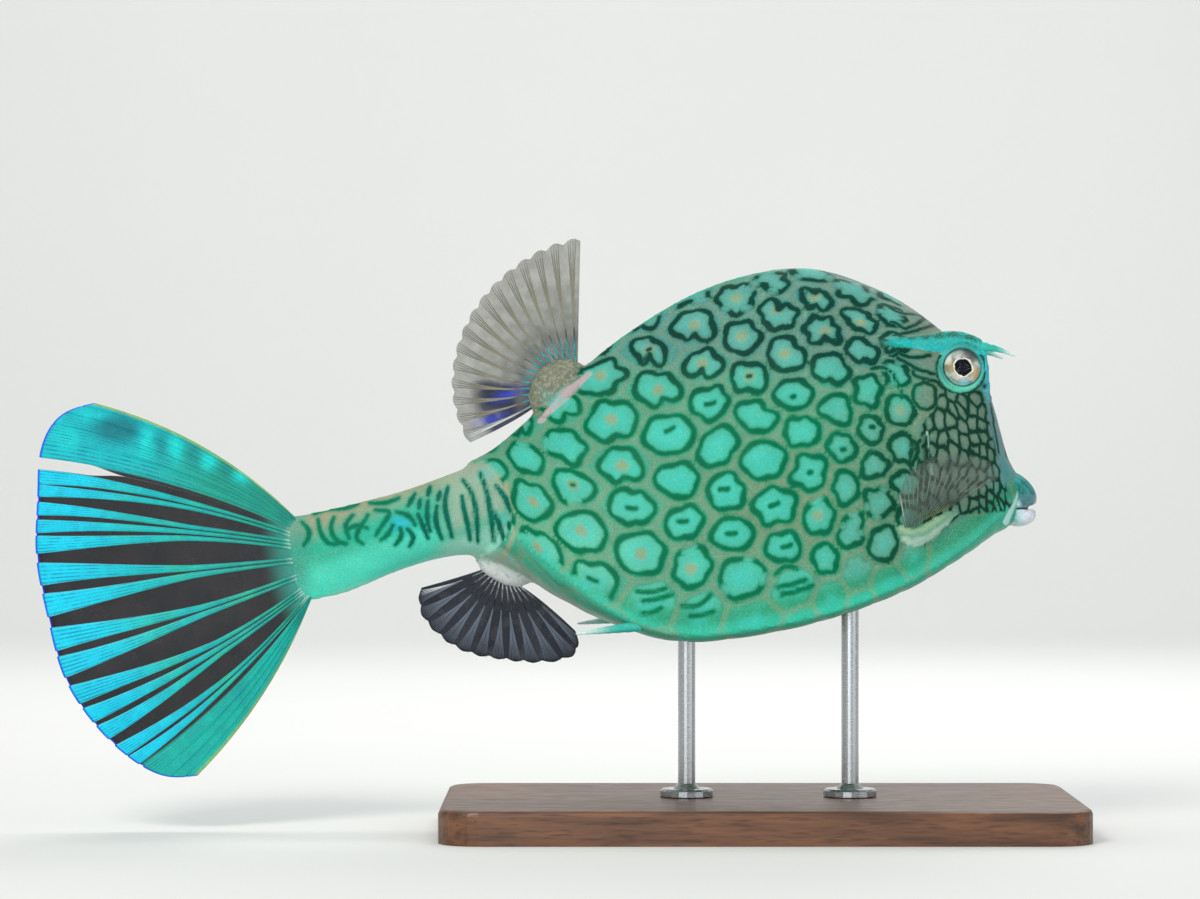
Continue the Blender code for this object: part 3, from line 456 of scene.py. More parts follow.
def torus(name: str, turn: Matrix, centre: Sequence[float], radius: float, thick: float) -> bpy.types.Object:
    """A ring of the fish's frame round the way that its turn's third axis points.

    Args:
        name: The object's name.
        turn: How it is turned about its middle.
        centre: Its middle.
        radius: From its middle to the middle of its section.
        thick: Its section's radius.

    Returns:
        The ring.
    """
    around, section = 40, 12
    points = []
    for a in np.linspace(0, 2 * math.pi, around, endpoint=False):
        for b in np.linspace(0, 2 * math.pi, section, endpoint=False):
            reach = radius + thick * math.cos(b)
            local = Vector((reach * math.cos(a), reach * math.sin(a), thick * math.sin(b)))
            points.append(turn @ local + Vector(centre))
    faces = []
    for r in range(around):
        for c in range(section):
            a, b = r * section + c, r * section + (c + 1) % section
            d = ((r + 1) % around) * section
            faces.append((a, b, d + (c + 1) % section, d + c))
    return mesh_object(name, in_fish_frame(np.array(points)), faces)


def fuse(name: str, parts: Sequence[bpy.types.Object], grain: float) -> bpy.types.Object:
    """Grows closed forms that overlap into one skin of even small faces.

    Args:
        name: The skin's name.
        parts: The forms, which are then removed.
        grain: About how long a face's side is, in millimetres.

    Returns:
        The skin.
    """
    bm = bmesh.new()
    for part in parts:
        bm.from_mesh(part.data)
        bpy.data.objects.remove(part)
    obj = object_of(name, bm)
    step = obj.modifiers.new("fuse", "REMESH")
    step.mode = "VOXEL"
    step.voxel_size = grain * MM
    apply_steps(obj)
    return obj


def soften(obj: bpy.types.Object, rounds: int, weight: Points | None = None) -> None:
    """Relaxes a mesh's points towards their neighbours.

    Args:
        obj: The object.
        rounds: How many times.
        weight: How much each point takes part, from 0 to 1, or nothing for all in full.
    """
    mesh = obj.data
    points = back_to_fish(mesh)
    pairs = np.empty(len(mesh.edges) * 2, int)
    mesh.edges.foreach_get("vertices", pairs)
    a, b = pairs.reshape(-1, 2).T
    count = np.bincount(a, minlength=len(points)) + np.bincount(b, minlength=len(points))
    share = 0.5 if weight is None else 0.5 * weight[:, None]
    for _ in range(rounds):
        total = np.zeros_like(points)
        for axis in range(3):
            at_a, at_b = points[a, axis], points[b, axis]
            total[:, axis] = np.bincount(a, at_b, len(points)) + np.bincount(b, at_a, len(points))
        points += (total / count[:, None] - points) * share
    set_points(mesh, points)


def normals_of(obj: bpy.types.Object) -> Points:
    """The outward direction at each point of a mesh, in the fish's frame.

    Args:
        obj: The object.

    Returns:
        One direction for each point.
    """
    mesh = obj.data
    out = np.empty(len(mesh.vertices) * 3)
    mesh.vertex_normals.foreach_get("vector", out)
    turn = np.array(POSE.inverted())[:3, :3]
    return out.reshape(-1, 3) @ turn.T


def store(obj: bpy.types.Object, name: str, values: Points) -> None:
    """Keeps one number for each point of a mesh, for its material to read."""
    kept = obj.data.attributes.new(name, "FLOAT", "POINT")
    kept.data.foreach_set("value", np.ascontiguousarray(values, np.float32))


def finish_piece(obj: bpy.types.Object, material: bpy.types.Material, slot: str, *nodes: str) -> None:
    """Gives a piece its material, and ties it to the frame.

    Args:
        obj: The piece.
        material: What it is covered with.
        slot: Not used.
        *nodes: The nodes that it stands for.
    """
    obj.data.materials.clear()
    obj.data.materials.append(material)
    obj.data.shade_smooth()
    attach(obj, BODY)
    if nodes:
        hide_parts(*nodes)
    LOG.info("%s: %d faces for %s", obj.name, len(obj.data.polygons), ", ".join(nodes) or "itself")


# Materials


@dataclass(frozen=True)
class Colour:
    """A colour as it looks on a screen, 0 to 255."""

    red: float
    green: float
    blue: float

    @property
    def linear(self) -> tuple[float, float, float, float]:
        """The same colour in the units that the materials count in."""
        parts = [c / 255 for c in (self.red, self.green, self.blue)]
        return (*(c / 12.92 if c <= 0.04045 else ((c + 0.055) / 1.055) ** 2.4 for c in parts), 1.0)


class Nodes:
    """A short way to write a tree of shader nodes."""

    def __init__(self, tree: bpy.types.NodeTree) -> None:
        """Writes into the given tree."""
        self.tree = tree

    def new(self, kind: str, settings: dict | None = None, **inputs: object) -> bpy.types.Node:
        """Adds a node.

        Args:
            kind: Its type, without the leading ShaderNode.
            settings: Its properties.
            **inputs: What its sockets are given, written as for give.

        Returns:
            The node.
        """
        node = self.tree.nodes.new("ShaderNode" + kind)
        for name, value in (settings or {}).items():
            setattr(node, name, value)
        self.give(node, **inputs)
        return node

    def give(self, node: bpy.types.Node, **inputs: object) -> None:
        """Fills in a node's sockets.

        Args:
            node: The node.
            **inputs: Its sockets by name, with _ for a space, or i0, i1 and so on by number. A value is
                a number, a colour, a vector or another node's output.
        """
        for name, value in inputs.items():
            by_number = name[0] == "i" and name[1:].isdigit()
            socket = node.inputs[int(name[1:])] if by_number else node.inputs[name.replace("_", " ")]
            if isinstance(value, bpy.types.NodeSocket):
                self.tree.links.new(value, socket)
            else:
                socket.default_value = value.linear if isinstance(value, Colour) else value

    def math(self, operation: str, *values: object, clamp: bool = False) -> bpy.types.NodeSocket:
        """A Math node's result."""
        inputs = {"i%d" % i: value for i, value in enumerate(values)}
        return self.new("Math", {"operation": operation, "use_clamp": clamp}, **inputs).outputs[0]

    times = partialmethod(math, "MULTIPLY")
    plus = partialmethod(math, "ADD")
    minus = partialmethod(math, "SUBTRACT")
    most = partialmethod(math, "MAXIMUM")
    least = partialmethod(math, "MINIMUM")
    unsigned = partialmethod(math, "ABSOLUTE")

    def vector(self, operation: str, output: int | str = 0, **inputs: object) -> bpy.types.NodeSocket:
        """A Vector Math node's result."""
        return self.new("VectorMath", {"operation": operation}, **inputs).outputs[output]

    def ramp(self, value: object, low: object, high: object, start: float = 0.0,
             end: float = 1.0) -> bpy.types.NodeSocket:
        """A smooth change from start to end as the value goes from low to high."""
        settings = {"interpolation_type": "SMOOTHSTEP"}
        return self.new("MapRange", settings, i0=value, i1=low, i2=high, i3=start, i4=end).outputs[0]

    def mix(self, share: object, first: object, second: object) -> bpy.types.NodeSocket:
        """Two colours mixed."""
        return self.new("Mix", {"data_type": "RGBA"}, i0=share, i6=first, i7=second).outputs[2]

    def attribute(self, name: str) -> bpy.types.NodeSocket:
        """A number kept on the mesh."""
        return self.new("Attribute", {"attribute_name": name}).outputs["Fac"]

    def place(self) -> bpy.types.NodeSocket:
        """Object coordinates."""
        return self.new("TexCoord").outputs["Object"]

    def noise(self, scale: float, detail: float = 2.0, vector: object = None,
              rough: float = 0.5) -> bpy.types.NodeSocket:
        """A noise of so many waves a metre, between 0 and 1."""
        inputs = {"Scale": scale, "Detail": detail, "Roughness": rough, "Vector": vector or self.place()}
        return self.new("TexNoise", **inputs).outputs["Fac"]


def new_material(name: str) -> tuple[bpy.types.Material, Nodes, bpy.types.Node]:
    """A new material, the writer of its nodes, and its shader.

    Args:
        name: The material's name.

    Returns:
        The material, the writer and the shader.
    """
    made = bpy.data.materials.new(name)
    made.use_nodes = True
    return made, Nodes(made.node_tree), made.node_tree.nodes["Principled BSDF"]


def new_group(name: str, inputs: dict[str, float | tuple],
              outputs: dict[str, str]) -> tuple[bpy.types.NodeTree, bpy.types.Node, bpy.types.Node]:
    """Starts a shader node group.

    Args:
        name: The group's name.
        inputs: Each input's name and value: a number, or a colour as four numbers.
        outputs: Each output's name and socket type.

    Returns:
        The group, its input node and its output node.
    """
    tree = bpy.data.node_groups.new(name, "ShaderNodeTree")
    for label, value in inputs.items():
        kind = "NodeSocketColor" if isinstance(value, tuple) else "NodeSocketFloat"
        socket = tree.interface.new_socket(label, in_out="INPUT", socket_type=kind)
        socket.default_value = value
    for label, kind in outputs.items():
        tree.interface.new_socket(label, in_out="OUTPUT", socket_type=kind)
    return tree, tree.nodes.new("NodeGroupInput"), tree.nodes.new("NodeGroupOutput")


def mottle_group() -> bpy.types.NodeTree:
    """Makes the fine mottling and grain that all of the fish's coverings share.

    Returns:
        A group with inputs Colour, Amount and Scale, and outputs Colour, Height and Roughness.
    """
    tree, given, result = new_group(
        "flesh_mottle",
        {"Colour": (0.5, 0.5, 0.5, 1.0), "Amount": 0.3, "Scale": 900.0},
        {"Colour": "NodeSocketColor", "Height": "NodeSocketFloat", "Roughness": "NodeSocketFloat"},
    )
    nodes = Nodes(tree)
    coarse = nodes.noise(140.0, 3.0)
    place = nodes.place()
    grains = nodes.new("TexVoronoi", Vector=place, Scale=given.outputs["Scale"]).outputs["Distance"]
    fine = nodes.new("TexNoise", Vector=place, Scale=given.outputs["Scale"], Detail=2.0).outputs["Fac"]
    light = nodes.ramp(grains, 0.1, 0.7, 1.12, 0.84)
    light = nodes.times(light, nodes.ramp(coarse, 0.3, 0.7, 0.86, 1.12))
    light = nodes.times(light, nodes.ramp(fine, 0.3, 0.7, 0.9, 1.1))
    away = nodes.times(nodes.minus(light, 1.0), given.outputs["Amount"])
    light = nodes.plus(away, 1.0)
    colour = nodes.vector("SCALE", i0=given.outputs["Colour"], i3=light)
    height = nodes.plus(nodes.ramp(grains, 0.0, 0.6, 1.0, 0.0), nodes.times(fine, 0.4))
    nodes.give(result, Colour=colour, Height=height, Roughness=nodes.ramp(fine, 0.3, 0.7, 0.34, 0.5))
    return tree


@dataclass(frozen=True)
class Covering:
    """What is alike in the materials of the fish's coverings.

    Attributes:
        name: The material's name.
        scale: Grains in a metre.
        amount: How strongly the mottling shows.
        relief: How high the grains stand, in millimetres.
        coat: How wet it looks.
        shine: How much plain light it mirrors.
    """

    name: str
    scale: float = 900.0
    amount: float = 0.5
    relief: float = 0.08
    coat: float = 0.25
    shine: float = 0.3

    def material(self, paint: Callable[[Nodes], object],
                 alpha: Callable[[Nodes], object] | None = None) -> bpy.types.Material:
        """Makes the material.

        Args:
            paint: Gives the colour as a socket or a colour.
            alpha: Gives how solid it is, if it isn't solid everywhere.

        Returns:
            The material.
        """
        made, nodes, shader = new_material(self.name)
        mottle = nodes.new("Group", {"node_tree": bpy.data.node_groups["flesh_mottle"]},
                           Colour=paint(nodes), Amount=self.amount, Scale=self.scale)
        bump = nodes.new("Bump", Height=mottle.outputs["Height"], Distance=self.relief * MM, Strength=0.8)
        nodes.give(shader, Base_Color=mottle.outputs["Colour"], Roughness=mottle.outputs["Roughness"],
                   Normal=bump.outputs["Normal"], Coat_Weight=self.coat, Coat_Roughness=0.25,
                   Specular_IOR_Level=self.shine)
        if alpha:
            nodes.give(shader, Alpha=alpha(nodes))
        return made


# The shell laid out flat, and the lattice of its plates


@dataclass
class ShellChart:
    """The right half of the shell laid flat: p runs forward along its flank, q down from a middle line.

    Attributes:
        rows: Sections along the fish.
        flank: Steps from the ridge to the keel.
        belly: Steps from the keel to mid belly.
        ridge_power: How round the ridge of the back is.
        middle_share: Which of the flank's steps the middle line follows, as a share.
        sizes: A plate's height by x.
        stretch: Its length over a regular hexagon's, by p.
        first_column: Where the lattice's column 0 lies behind the chart's hind end, in plates.
        row_drift: How many plates the rows shift down, by p.
    """

    rows: int = 360
    flank: int = 180
    belly: int = 60
    ridge_power: float = 1.7
    middle_share: float = 43 / 60
    sizes: tuple = ((-85, 13.6), (-68, 14.6), (-41, 14.7), (-27, 14.0), (-13, 13.5), (1, 13.3), (14, 12.7),
                    (28, 11.8), (43, 10.8), (53, 9.6), (62, 8.6), (78, 8.0))
    stretch: tuple = ((88.0, 104.0), (1.2, 0.95))
    first_column: float = 0.42
    row_drift: tuple = ((60.0, 105.0), (0.0, 0.3))

    def __post_init__(self) -> None:
        """Lays the shell out."""
        rows = stations_between(SHELL_STATIONS, self.rows)
        self.sections = np.array([half_section(r, self.flank, self.belly, self.ridge_power) for r in rows])
        arcs = np.array([lengths_along(section) for section in self.sections])
        middle_step = round(self.middle_share * self.flank)
        self.q = arcs - arcs[:, [middle_step]]
        middle = self.sections[:, middle_step]
        self.p = lengths_along(middle)
        knots, sizes = np.array(self.sizes).T
        self.row_sizes = np.interp(middle[:, 0], knots, sizes)
        lengths = self.row_sizes * np.interp(self.p, *self.stretch)
        steps = 2 * np.diff(self.p) / (lengths[1:] + lengths[:-1])
        self.u = self.first_column + np.concatenate([[0], np.cumsum(steps)])
        self.samples = self.sections.reshape(-1, 3)
        across = self.q.shape[1]
        self.sample_p = np.repeat(self.p, across)
        self.sample_q = self.q.ravel()
        self.tree = tree_of(self.samples)
        seen = np.arange(across) <= self.flank
        self.seen_rows = np.flatnonzero(np.tile(seen, self.rows))
        self.seen_tree = tree_of(to_picture(self.samples[self.seen_rows]))

    def ridge(self, p: Points) -> Points:
        """The q of the back's ridge."""
        return np.interp(p, self.p, self.q[:, 0])

    def keel(self, p: Points) -> Points:
        """The q of the keel."""
        return np.interp(p, self.p, self.q[:, self.flank])

    def mid_belly(self, p: Points) -> Points:
        """The q of mid belly."""
        return np.interp(p, self.p, self.q[:, -1])

    def size(self, p: Points) -> Points:
        """The plates' height at p."""
        return np.interp(p, self.p, self.row_sizes)

    def place(self, a: float, b: float) -> tuple[float, float]:
        """The p and q of a place on the even lattice, also just past the chart's two ends.

        Args:
            a: The place along, in columns.
            b: The place down, in rows.

        Returns:
            The p and q.
        """
        past = min(a - self.u[0], 0.0) * self.row_sizes[0] + max(a - self.u[-1], 0.0) * self.row_sizes[-1]
        p = float(np.interp(a, self.u, self.p)) + past
        return p, (b + float(np.interp(p, *self.row_drift))) * float(self.size(p))

    def locate(self, points: Points) -> Points:
        """Finds the chart's place nearest to each point of the fish.

        Args:
            points: Points in the fish's frame, on either side.

        Returns:
            The p and q of each.
        """
        points = np.array(points, float)
        points[:, 1] = -np.abs(points[:, 1])
        found, _ = nearest(self.tree, points)
        across = self.q.shape[1]
        row, step = np.clip(found // across, 1, self.rows - 2), np.clip(found % across, 1, across - 2)
        here = row * across + step
        off = points - self.samples[here]
        along_q = self.samples[here + 1] - self.samples[here - 1]
        change_q = self.sample_q[here + 1] - self.sample_q[here - 1]
        along_p = self.samples[here + across] - self.samples[here - across]
        change_p = self.sample_p[here + across] - self.sample_p[here - across]
        drift_q = self.sample_q[here + across] - self.sample_q[here - across]
        gram = np.array([[np.sum(a * b, axis=1) for a in (along_p, along_q)] for b in (along_p, along_q)])
        right = np.array([np.sum(off * a, axis=1) for a in (along_p, along_q)])
        fall = gram[0, 0] * gram[1, 1] - gram[0, 1] * gram[1, 0] + 1e-12
        s = np.clip((right[0] * gram[1, 1] - right[1] * gram[0, 1]) / fall, -1, 1)
        t = np.clip((right[1] * gram[0, 0] - right[0] * gram[1, 0]) / fall, -1, 1)
        p = self.sample_p[here] + s * change_p
        return np.column_stack([p, self.sample_q[here] + t * change_q + s * drift_q])

    def seen(self, places: Sequence[Sequence[float]]) -> Points:
        """The chart's places that show at places of the picture.

        Args:
            places: The picture's places.

        Returns:
            The p and q of each.
        """
        found, _ = nearest(self.seen_tree, [(*place, 0.0) for place in np.array(places, float)])
        rows = self.seen_rows[found]
        return np.column_stack([self.sample_p[rows], self.sample_q[rows]])


def warped(place: Sequence[float]) -> tuple[float, float]:
    """Shifts a place on the even lattice a little, so that no two plates are alike.

    Args:
        place: The place along and down.

    Returns:
        The shifted place.
    """
    a, b = place
    return (
        a + 0.07 * math.sin(1.9 * a + 0.7 * b + 0.3) + 0.04 * math.sin(3.7 * b - 1.1 * a),
        b + 0.07 * math.sin(1.3 * a - 1.7 * b + 1.1) + 0.04 * math.sin(3.3 * a + 0.9 * b),
    )


@dataclass
class Plate:
    """One plate of the shell on the chart.

    Attributes:
        column: Its column, counted from the tail.
        row: Its row, counted down from the middle.
        corners: Its corners' p and q.
    """

    column: int
    row: int
    corners: Points

    @property
    def middle(self) -> Points:
        """Its middle's p and q."""
        return self.corners.mean(axis=0)

    def reach(self, turns: Points) -> Points:
        """How far its edge lies from its middle in each direction.

        Args:
            turns: The directions, from forwards by way of down.

        Returns:
            The distance in each.
        """
        rays = np.column_stack([np.cos(turns), np.sin(turns)])
        best = np.full(len(turns), np.inf)
        around = self.corners - self.middle
        for a, b in zip(around, np.roll(around, -1, axis=0)):
            side = b - a
            cross = rays[:, 0] * side[1] - rays[:, 1] * side[0]
            with np.errstate(divide="ignore", invalid="ignore"):
                far = (a[0] * side[1] - a[1] * side[0]) / cross
                share = (a[0] * rays[:, 1] - a[1] * rays[:, 0]) / cross
            hit = (far > 0) & (share >= -1e-6) & (share <= 1 + 1e-6)
            best = np.where(hit & (far < best), far, best)
        return np.where(np.isfinite(best), best, np.linalg.norm(around, axis=1).mean())


def lay_plates(chart: ShellChart) -> list[Plate]:
    """All plates of the lattice that lie near the chart, uncut by its edges.

    Args:
        chart: The shell laid flat.

    Returns:
        The plates.
    """
    turns = np.arange(6) * math.pi / 3
    hexagon = HEX_CORNER * np.column_stack([np.cos(turns), np.sin(turns)])
    plates = []
    for i in range(-1, int(chart.u[-1] / HEX_STEP) + 2):
        for j in range(-9, 10):
            corners = np.array((HEX_STEP * i, j + 0.5 * (i % 2))) + hexagon
            plates.append(Plate(i, j, np.array([chart.place(*warped(corner)) for corner in corners])))
    return plates


# Marks on the shell


@dataclass
class Strokes:
    """Lines of ink on the chart, gathered as points with a half width each."""

    places: list = field(default_factory=list)
    halves: list = field(default_factory=list)

    def add(self, line: Points, half: float | Points) -> None:
        """Adds one line of points."""
        self.places.append(np.asarray(line, float))
        self.halves.append(np.broadcast_to(half, len(line)).astype(float))

    def distance(self, where: Points) -> Points:
        """How far each place lies outside the ink's edge; negative inside it."""
        found, away = nearest(tree_of(np.vstack(self.places)), [(*w, 0.0) for w in where])
        return away - np.concatenate(self.halves)[found]


class Ring(Enum):
    """How the dark ring on a plate is drawn."""

    WHOLE = "w"
    NOTCHED_BELOW = "n"
    NOTCHED_ABOVE = "m"
    OPEN_BELOW = "o"
    OPEN_ABOVE = "u"
    OPEN_BEHIND = "c"
    BARS = "b"
    PIECES = "p"
    NONE = "-"


class Core(Enum):
    """What a ring has in its middle."""

    CLEAR = "."
    SPOT = "t"
    DASH = "d"
    DOT = "o"
    SPOT_AND_DOT = "s"


# How each plate's ring and middle look, by column from the tail and row from the top
PLATE_LOOKS = {
    1: (-2, "n. n. w. w. o."),
    2: (-3, "n. nt u. wt ot b."),
    3: (-4, "n. nt c. os wt wd ot b."),
    4: (-5, "n. n. ct wt wt wd wt b. b."),
    5: (-5, "n. ns nt wd w. wd ut b. -."),
    6: (-6, "p. p. nt nt wd w. wd wd p. -."),
    7: (-6, "p. pt wt ws w. w. wd wd b. -."),
    8: (-6, "p. p. mt wt wo w. wo ut w. -."),
    9: (-6, "p. mt nt n. w. wo w. p. -. -."),
    10: (-6, "p. p. wt n. w. wo w. p. w. -."),
    11: (-6, "p. p. n. p. wt w. w. w. -. -."),
}
TURNS = np.linspace(0, 2 * math.pi, 96, endpoint=False)  # ways round a ring, from forwards by way of down


# The stripes down the face and the lines under and over the brow's tail, as places of the picture
FACE_LINES = (
    ((981, 352), (985, 376), (990, 402), (995, 430), (999, 452)),
    ((987, 350), (991, 376), (996, 402), (1001, 430), (1006, 456)),
    ((881, 340), (886, 352), (898, 358), (912, 366), (923, 371), (934, 374)),
    ((887, 343), (893, 349), (905, 355), (918, 357), (930, 355)),
    ((893, 336), (908, 333), (924, 328), (944, 323), (962, 323)),
    ((872, 368), (882, 368), (893, 376), (899, 386), (902, 398)),
    ((885, 305), (902, 313), (921, 316), (934, 323)),
    ((887, 326), (894, 322), (903, 328), (914, 325), (924, 319)),
    ((924, 382), (933, 386), (936, 396), (930, 409), (921, 408), (913, 398), (915, 387), (924, 382)),
    ((912, 372), (920, 378), (936, 381), (943, 388)),
    ((907, 432), (912, 444), (909, 462), (914, 474)),
    ((919, 440), (917, 456), (922, 466), (920, 476)),
)


@dataclass
class ShellMarks:
    """The drawing on the bony shell: rings, their middles, stripes, sutures, and room for the cheek's net.

    Attributes:
        chart: The shell laid flat.
        inset: From a suture to the middle of the ring's line, as a share of the plate and as a length.
        half: Half the width of a ring's line.
        longest: The most that a ring is longer than it is high.
        last_column: The last column of plates with rings; the cheek's net follows.
        cell: The net's cells, along the fish and down.
        gill: The place of the picture where the cells are tallest.
        net_edge: Heights of the picture, where the net begins there, and where the face's plain front begins.
    """

    chart: ShellChart
    inset: tuple[float, float] = (0.15, 0.42)
    half: float = 0.8
    longest: float = 1.3
    last_column: int = 11
    cell: tuple[float, float] = (3.5, 4.0)
    gill: tuple[float, float] = (944.0, 464.0)
    net_edge: tuple = ((330, 380, 405, 425, 470, 505, 560), (950, 941, 937, 922, 916, 913, 906),
                       (972, 981, 986, 990, 1000, 1012, 1016))
    strokes: Strokes = field(default_factory=Strokes)
    belly_strokes: Strokes = field(default_factory=Strokes)
    outlines: Strokes = field(default_factory=Strokes)
    kept: list = field(default_factory=list)
    radii: list = field(default_factory=list)
    cores: list = field(default_factory=list)

    def __post_init__(self) -> None:
        """Draws everything."""
        self.plates = lay_plates(self.chart)
        for plate in self.plates:
            self.draw_plate(plate)
        self.draw_face()

    def look(self, plate: Plate) -> tuple[Ring, Core]:
        """How one plate is drawn.

        Args:
            plate: The plate.

        Returns:
            Its ring and its middle.
        """
        first, looks = PLATE_LOOKS.get(plate.column, (0, ""))
        looks = looks.split()
        place = plate.row - first
        if not 0 <= place < len(looks):
            return Ring.NONE, Core.CLEAR
        return Ring(looks[place][0]), Core(looks[place][1])

    def ring_radius(self, plate: Plate, ring: Ring, random: np.random.Generator) -> Points:
        """How far a ring's line lies from the plate's middle, all the way round.

        Args:
            plate: The plate.
            ring: How its ring is drawn.
            random: Where its irregularity comes from.

        Returns:
            The radius at each of TURNS, from forwards by way of down.
        """
        reach = plate.reach(TURNS)
        size = float(self.chart.size(plate.middle[0]))
        steps = np.arange(len(TURNS))
        window = np.exp(-0.5 * (np.minimum(steps, len(TURNS) - steps) / 3.4) ** 2)
        radius = np.real(np.fft.ifft(np.fft.fft(reach) * np.fft.fft(window / window.sum())))
        radius = radius - (self.inset[0] * size * 0.72 + self.inset[1])
        upper = float(ease(plate.row, -1.0, -3.0))
        for waves, amount in ((2, 0.2), (3, 0.3), (4, 0.28), (5, 0.3 + 0.2 * upper), (7, 0.2 + 0.16 * upper)):
            sway = amount * math.sqrt(size / 13.5) * random.normal(0, 0.8)
            radius += sway * np.cos(waves * TURNS + random.uniform(0, 2 * math.pi))
        notch = {Ring.NOTCHED_BELOW: math.pi / 2, Ring.NOTCHED_ABOVE: -math.pi / 2}.get(ring)
        if notch is not None:
            off = np.angle(np.exp(1j * (TURNS - notch - random.normal(0, 0.22))))
            radius -= (0.17 + 0.05 * random.random()) * size * np.exp(-((off / 0.36) ** 2))
            radius += 0.02 * size * np.exp(-(((np.abs(off) - 0.95) / 0.4) ** 2))
        radius = np.maximum(radius, 0.08 * size)
        quarter = len(TURNS) // 4
        length, height = radius[0] + radius[2 * quarter], radius[quarter] + radius[3 * quarter]
        squeeze = min(1.0, self.longest * height / length)
        along, down = radius * np.cos(TURNS) * squeeze, radius * np.sin(TURNS)
        return np.interp(TURNS, np.arctan2(down, along) % (2 * math.pi), np.hypot(along, down),
                         period=2 * math.pi)

    def draw_plate(self, plate: Plate) -> None:
        """Draws one plate's ring and middle.

        Args:
            plate: The plate.
        """
        ring, core = self.look(plate)
        random = np.random.default_rng(SEED + COLUMN_SEEDS * plate.column + plate.row)
        radius = self.ring_radius(plate, ring, random)
        self.radii.append(radius)
        fine = np.linspace(0, 2 * math.pi, 240, endpoint=False)
        reach = np.interp(fine, TURNS, radius, period=2 * math.pi)
        line = plate.middle + reach[:, None] * np.column_stack([np.cos(fine), np.sin(fine)])
        size = float(self.chart.size(plate.middle[0]))
        uneven = 0.18 * np.cos(2 * fine + random.uniform(0, 6))
        uneven += 0.14 * np.cos(5 * fine + random.uniform(0, 6))
        half = self.half * math.sqrt(size / 13.6) * (1 + uneven)
        if -1 <= plate.row <= 4 and plate.column <= self.last_column:
            self.belly_strokes.add(line, half)
        drawn = ring not in (Ring.NONE, Ring.BARS) and plate.column <= self.last_column
        keep = self.allowed(line) & drawn
        gaps = {Ring.OPEN_BELOW: [math.pi / 2], Ring.OPEN_ABOVE: [-math.pi / 2], Ring.OPEN_BEHIND: [math.pi],
                Ring.PIECES: random.uniform((0, 2, 4.4), (2, 4, 6))}.get(ring, [])
        for gap in gaps:
            keep &= np.abs(np.angle(np.exp(1j * (fine - gap)))) > (0.3 if ring is Ring.PIECES else 0.42)
        self.outlines.add(line, half)
        self.kept.append(keep)
        if ring is Ring.BARS:
            self.draw_bars(plate.middle, random)
        self.cores.append(self.middle_mark(core if drawn else Core.CLEAR, size, random))

    def draw_bars(self, middle: Points, random: np.random.Generator) -> None:
        """Draws short strokes that lie along the keel, in place of a ring.

        Args:
            middle: The plate's middle.
            random: Where their irregularity comes from.
        """
        for k in range(3):
            start = middle + (-4.4 + random.normal(0, 0.9), -4.6 + 3.2 * k + random.normal(0, 0.4))
            end = start + (8.6 + random.normal(0, 1.3), -0.4 + random.normal(0, 0.5))
            line = smooth_line([start, (start + end) / 2 + (0, random.normal(0, 0.7)), end], 0.15)
            keep = self.allowed(line)
            if keep.any():
                self.strokes.add(line[keep], 0.74)

    @staticmethod
    def middle_mark(core: Core, size: float, random: np.random.Generator) -> tuple[float, ...]:
        """What a ring has in its middle.

        Args:
            core: What is drawn.
            size: The plate's height.
            random: Where its irregularity comes from.

        Returns:
            Its slant, where it lies along and down, half its length and half its width, and the radius
            of the spot round it; a mark that isn't there has a width or radius below zero.
        """
        slant, along, down = random.uniform(-0.25, 0.45), *random.normal(0, 0.4, 2)
        length, half = {Core.DASH: (1.2, 0.72), Core.DOT: (0.2, 0.75),
                        Core.SPOT_AND_DOT: (0.3, 0.6)}.get(core, (0, -9))
        spot = 0.12 * size if core in (Core.SPOT, Core.SPOT_AND_DOT) else -9.0
        return slant, along, down, length, half, spot

    def allowed(self, line: Points) -> np.ndarray:
        """Which points of a line keep clear of the plain bands along the ridge, the keel and the tail.

        Args:
            line: The line's points.

        Returns:
            Whether each is clear of them.
        """
        p, q = line.T
        keel_band = 3.8 + 3.2 * ease(p, 40, 80)
        ridge_band = 1.0 + 2.2 * ease(p, 55, 75) * ease(p, 118, 105)
        return (q < self.chart.keel(p) - keel_band) & (q > self.chart.ridge(p) + ridge_band) & (p > 9)

    def draw_face(self) -> None:
        """Draws the stripes down the face, and the lines under and over the brow's tail."""
        for places in FACE_LINES:
            self.strokes.add(smooth_line(self.chart.seen(smooth_line(places, 4.0)), 0.15), 0.56)

    def net_place(self, where: Points) -> tuple[Points, Points, Points]:
        """Where places of the chart lie in the cheek's net.

        Args:
            where: Each place's p and q.

        Returns:
            The place along and down in cells, which are tall near the gill, and how far it lies in the net.
        """
        p, q = where.T
        gill_p, gill_q = self.chart.seen([self.gill])[0]
        tall = 0.35 * np.exp(-(((p - gill_p) / 7.0) ** 2))
        down = (q - tall * 12.0 * np.tanh((q - gill_q) / 12.0)) / self.cell[1]
        start = float(np.interp(HEX_STEP * (self.last_column + 0.5), self.chart.u, self.chart.p))
        return p / self.cell[0], down, p - start + 4.0

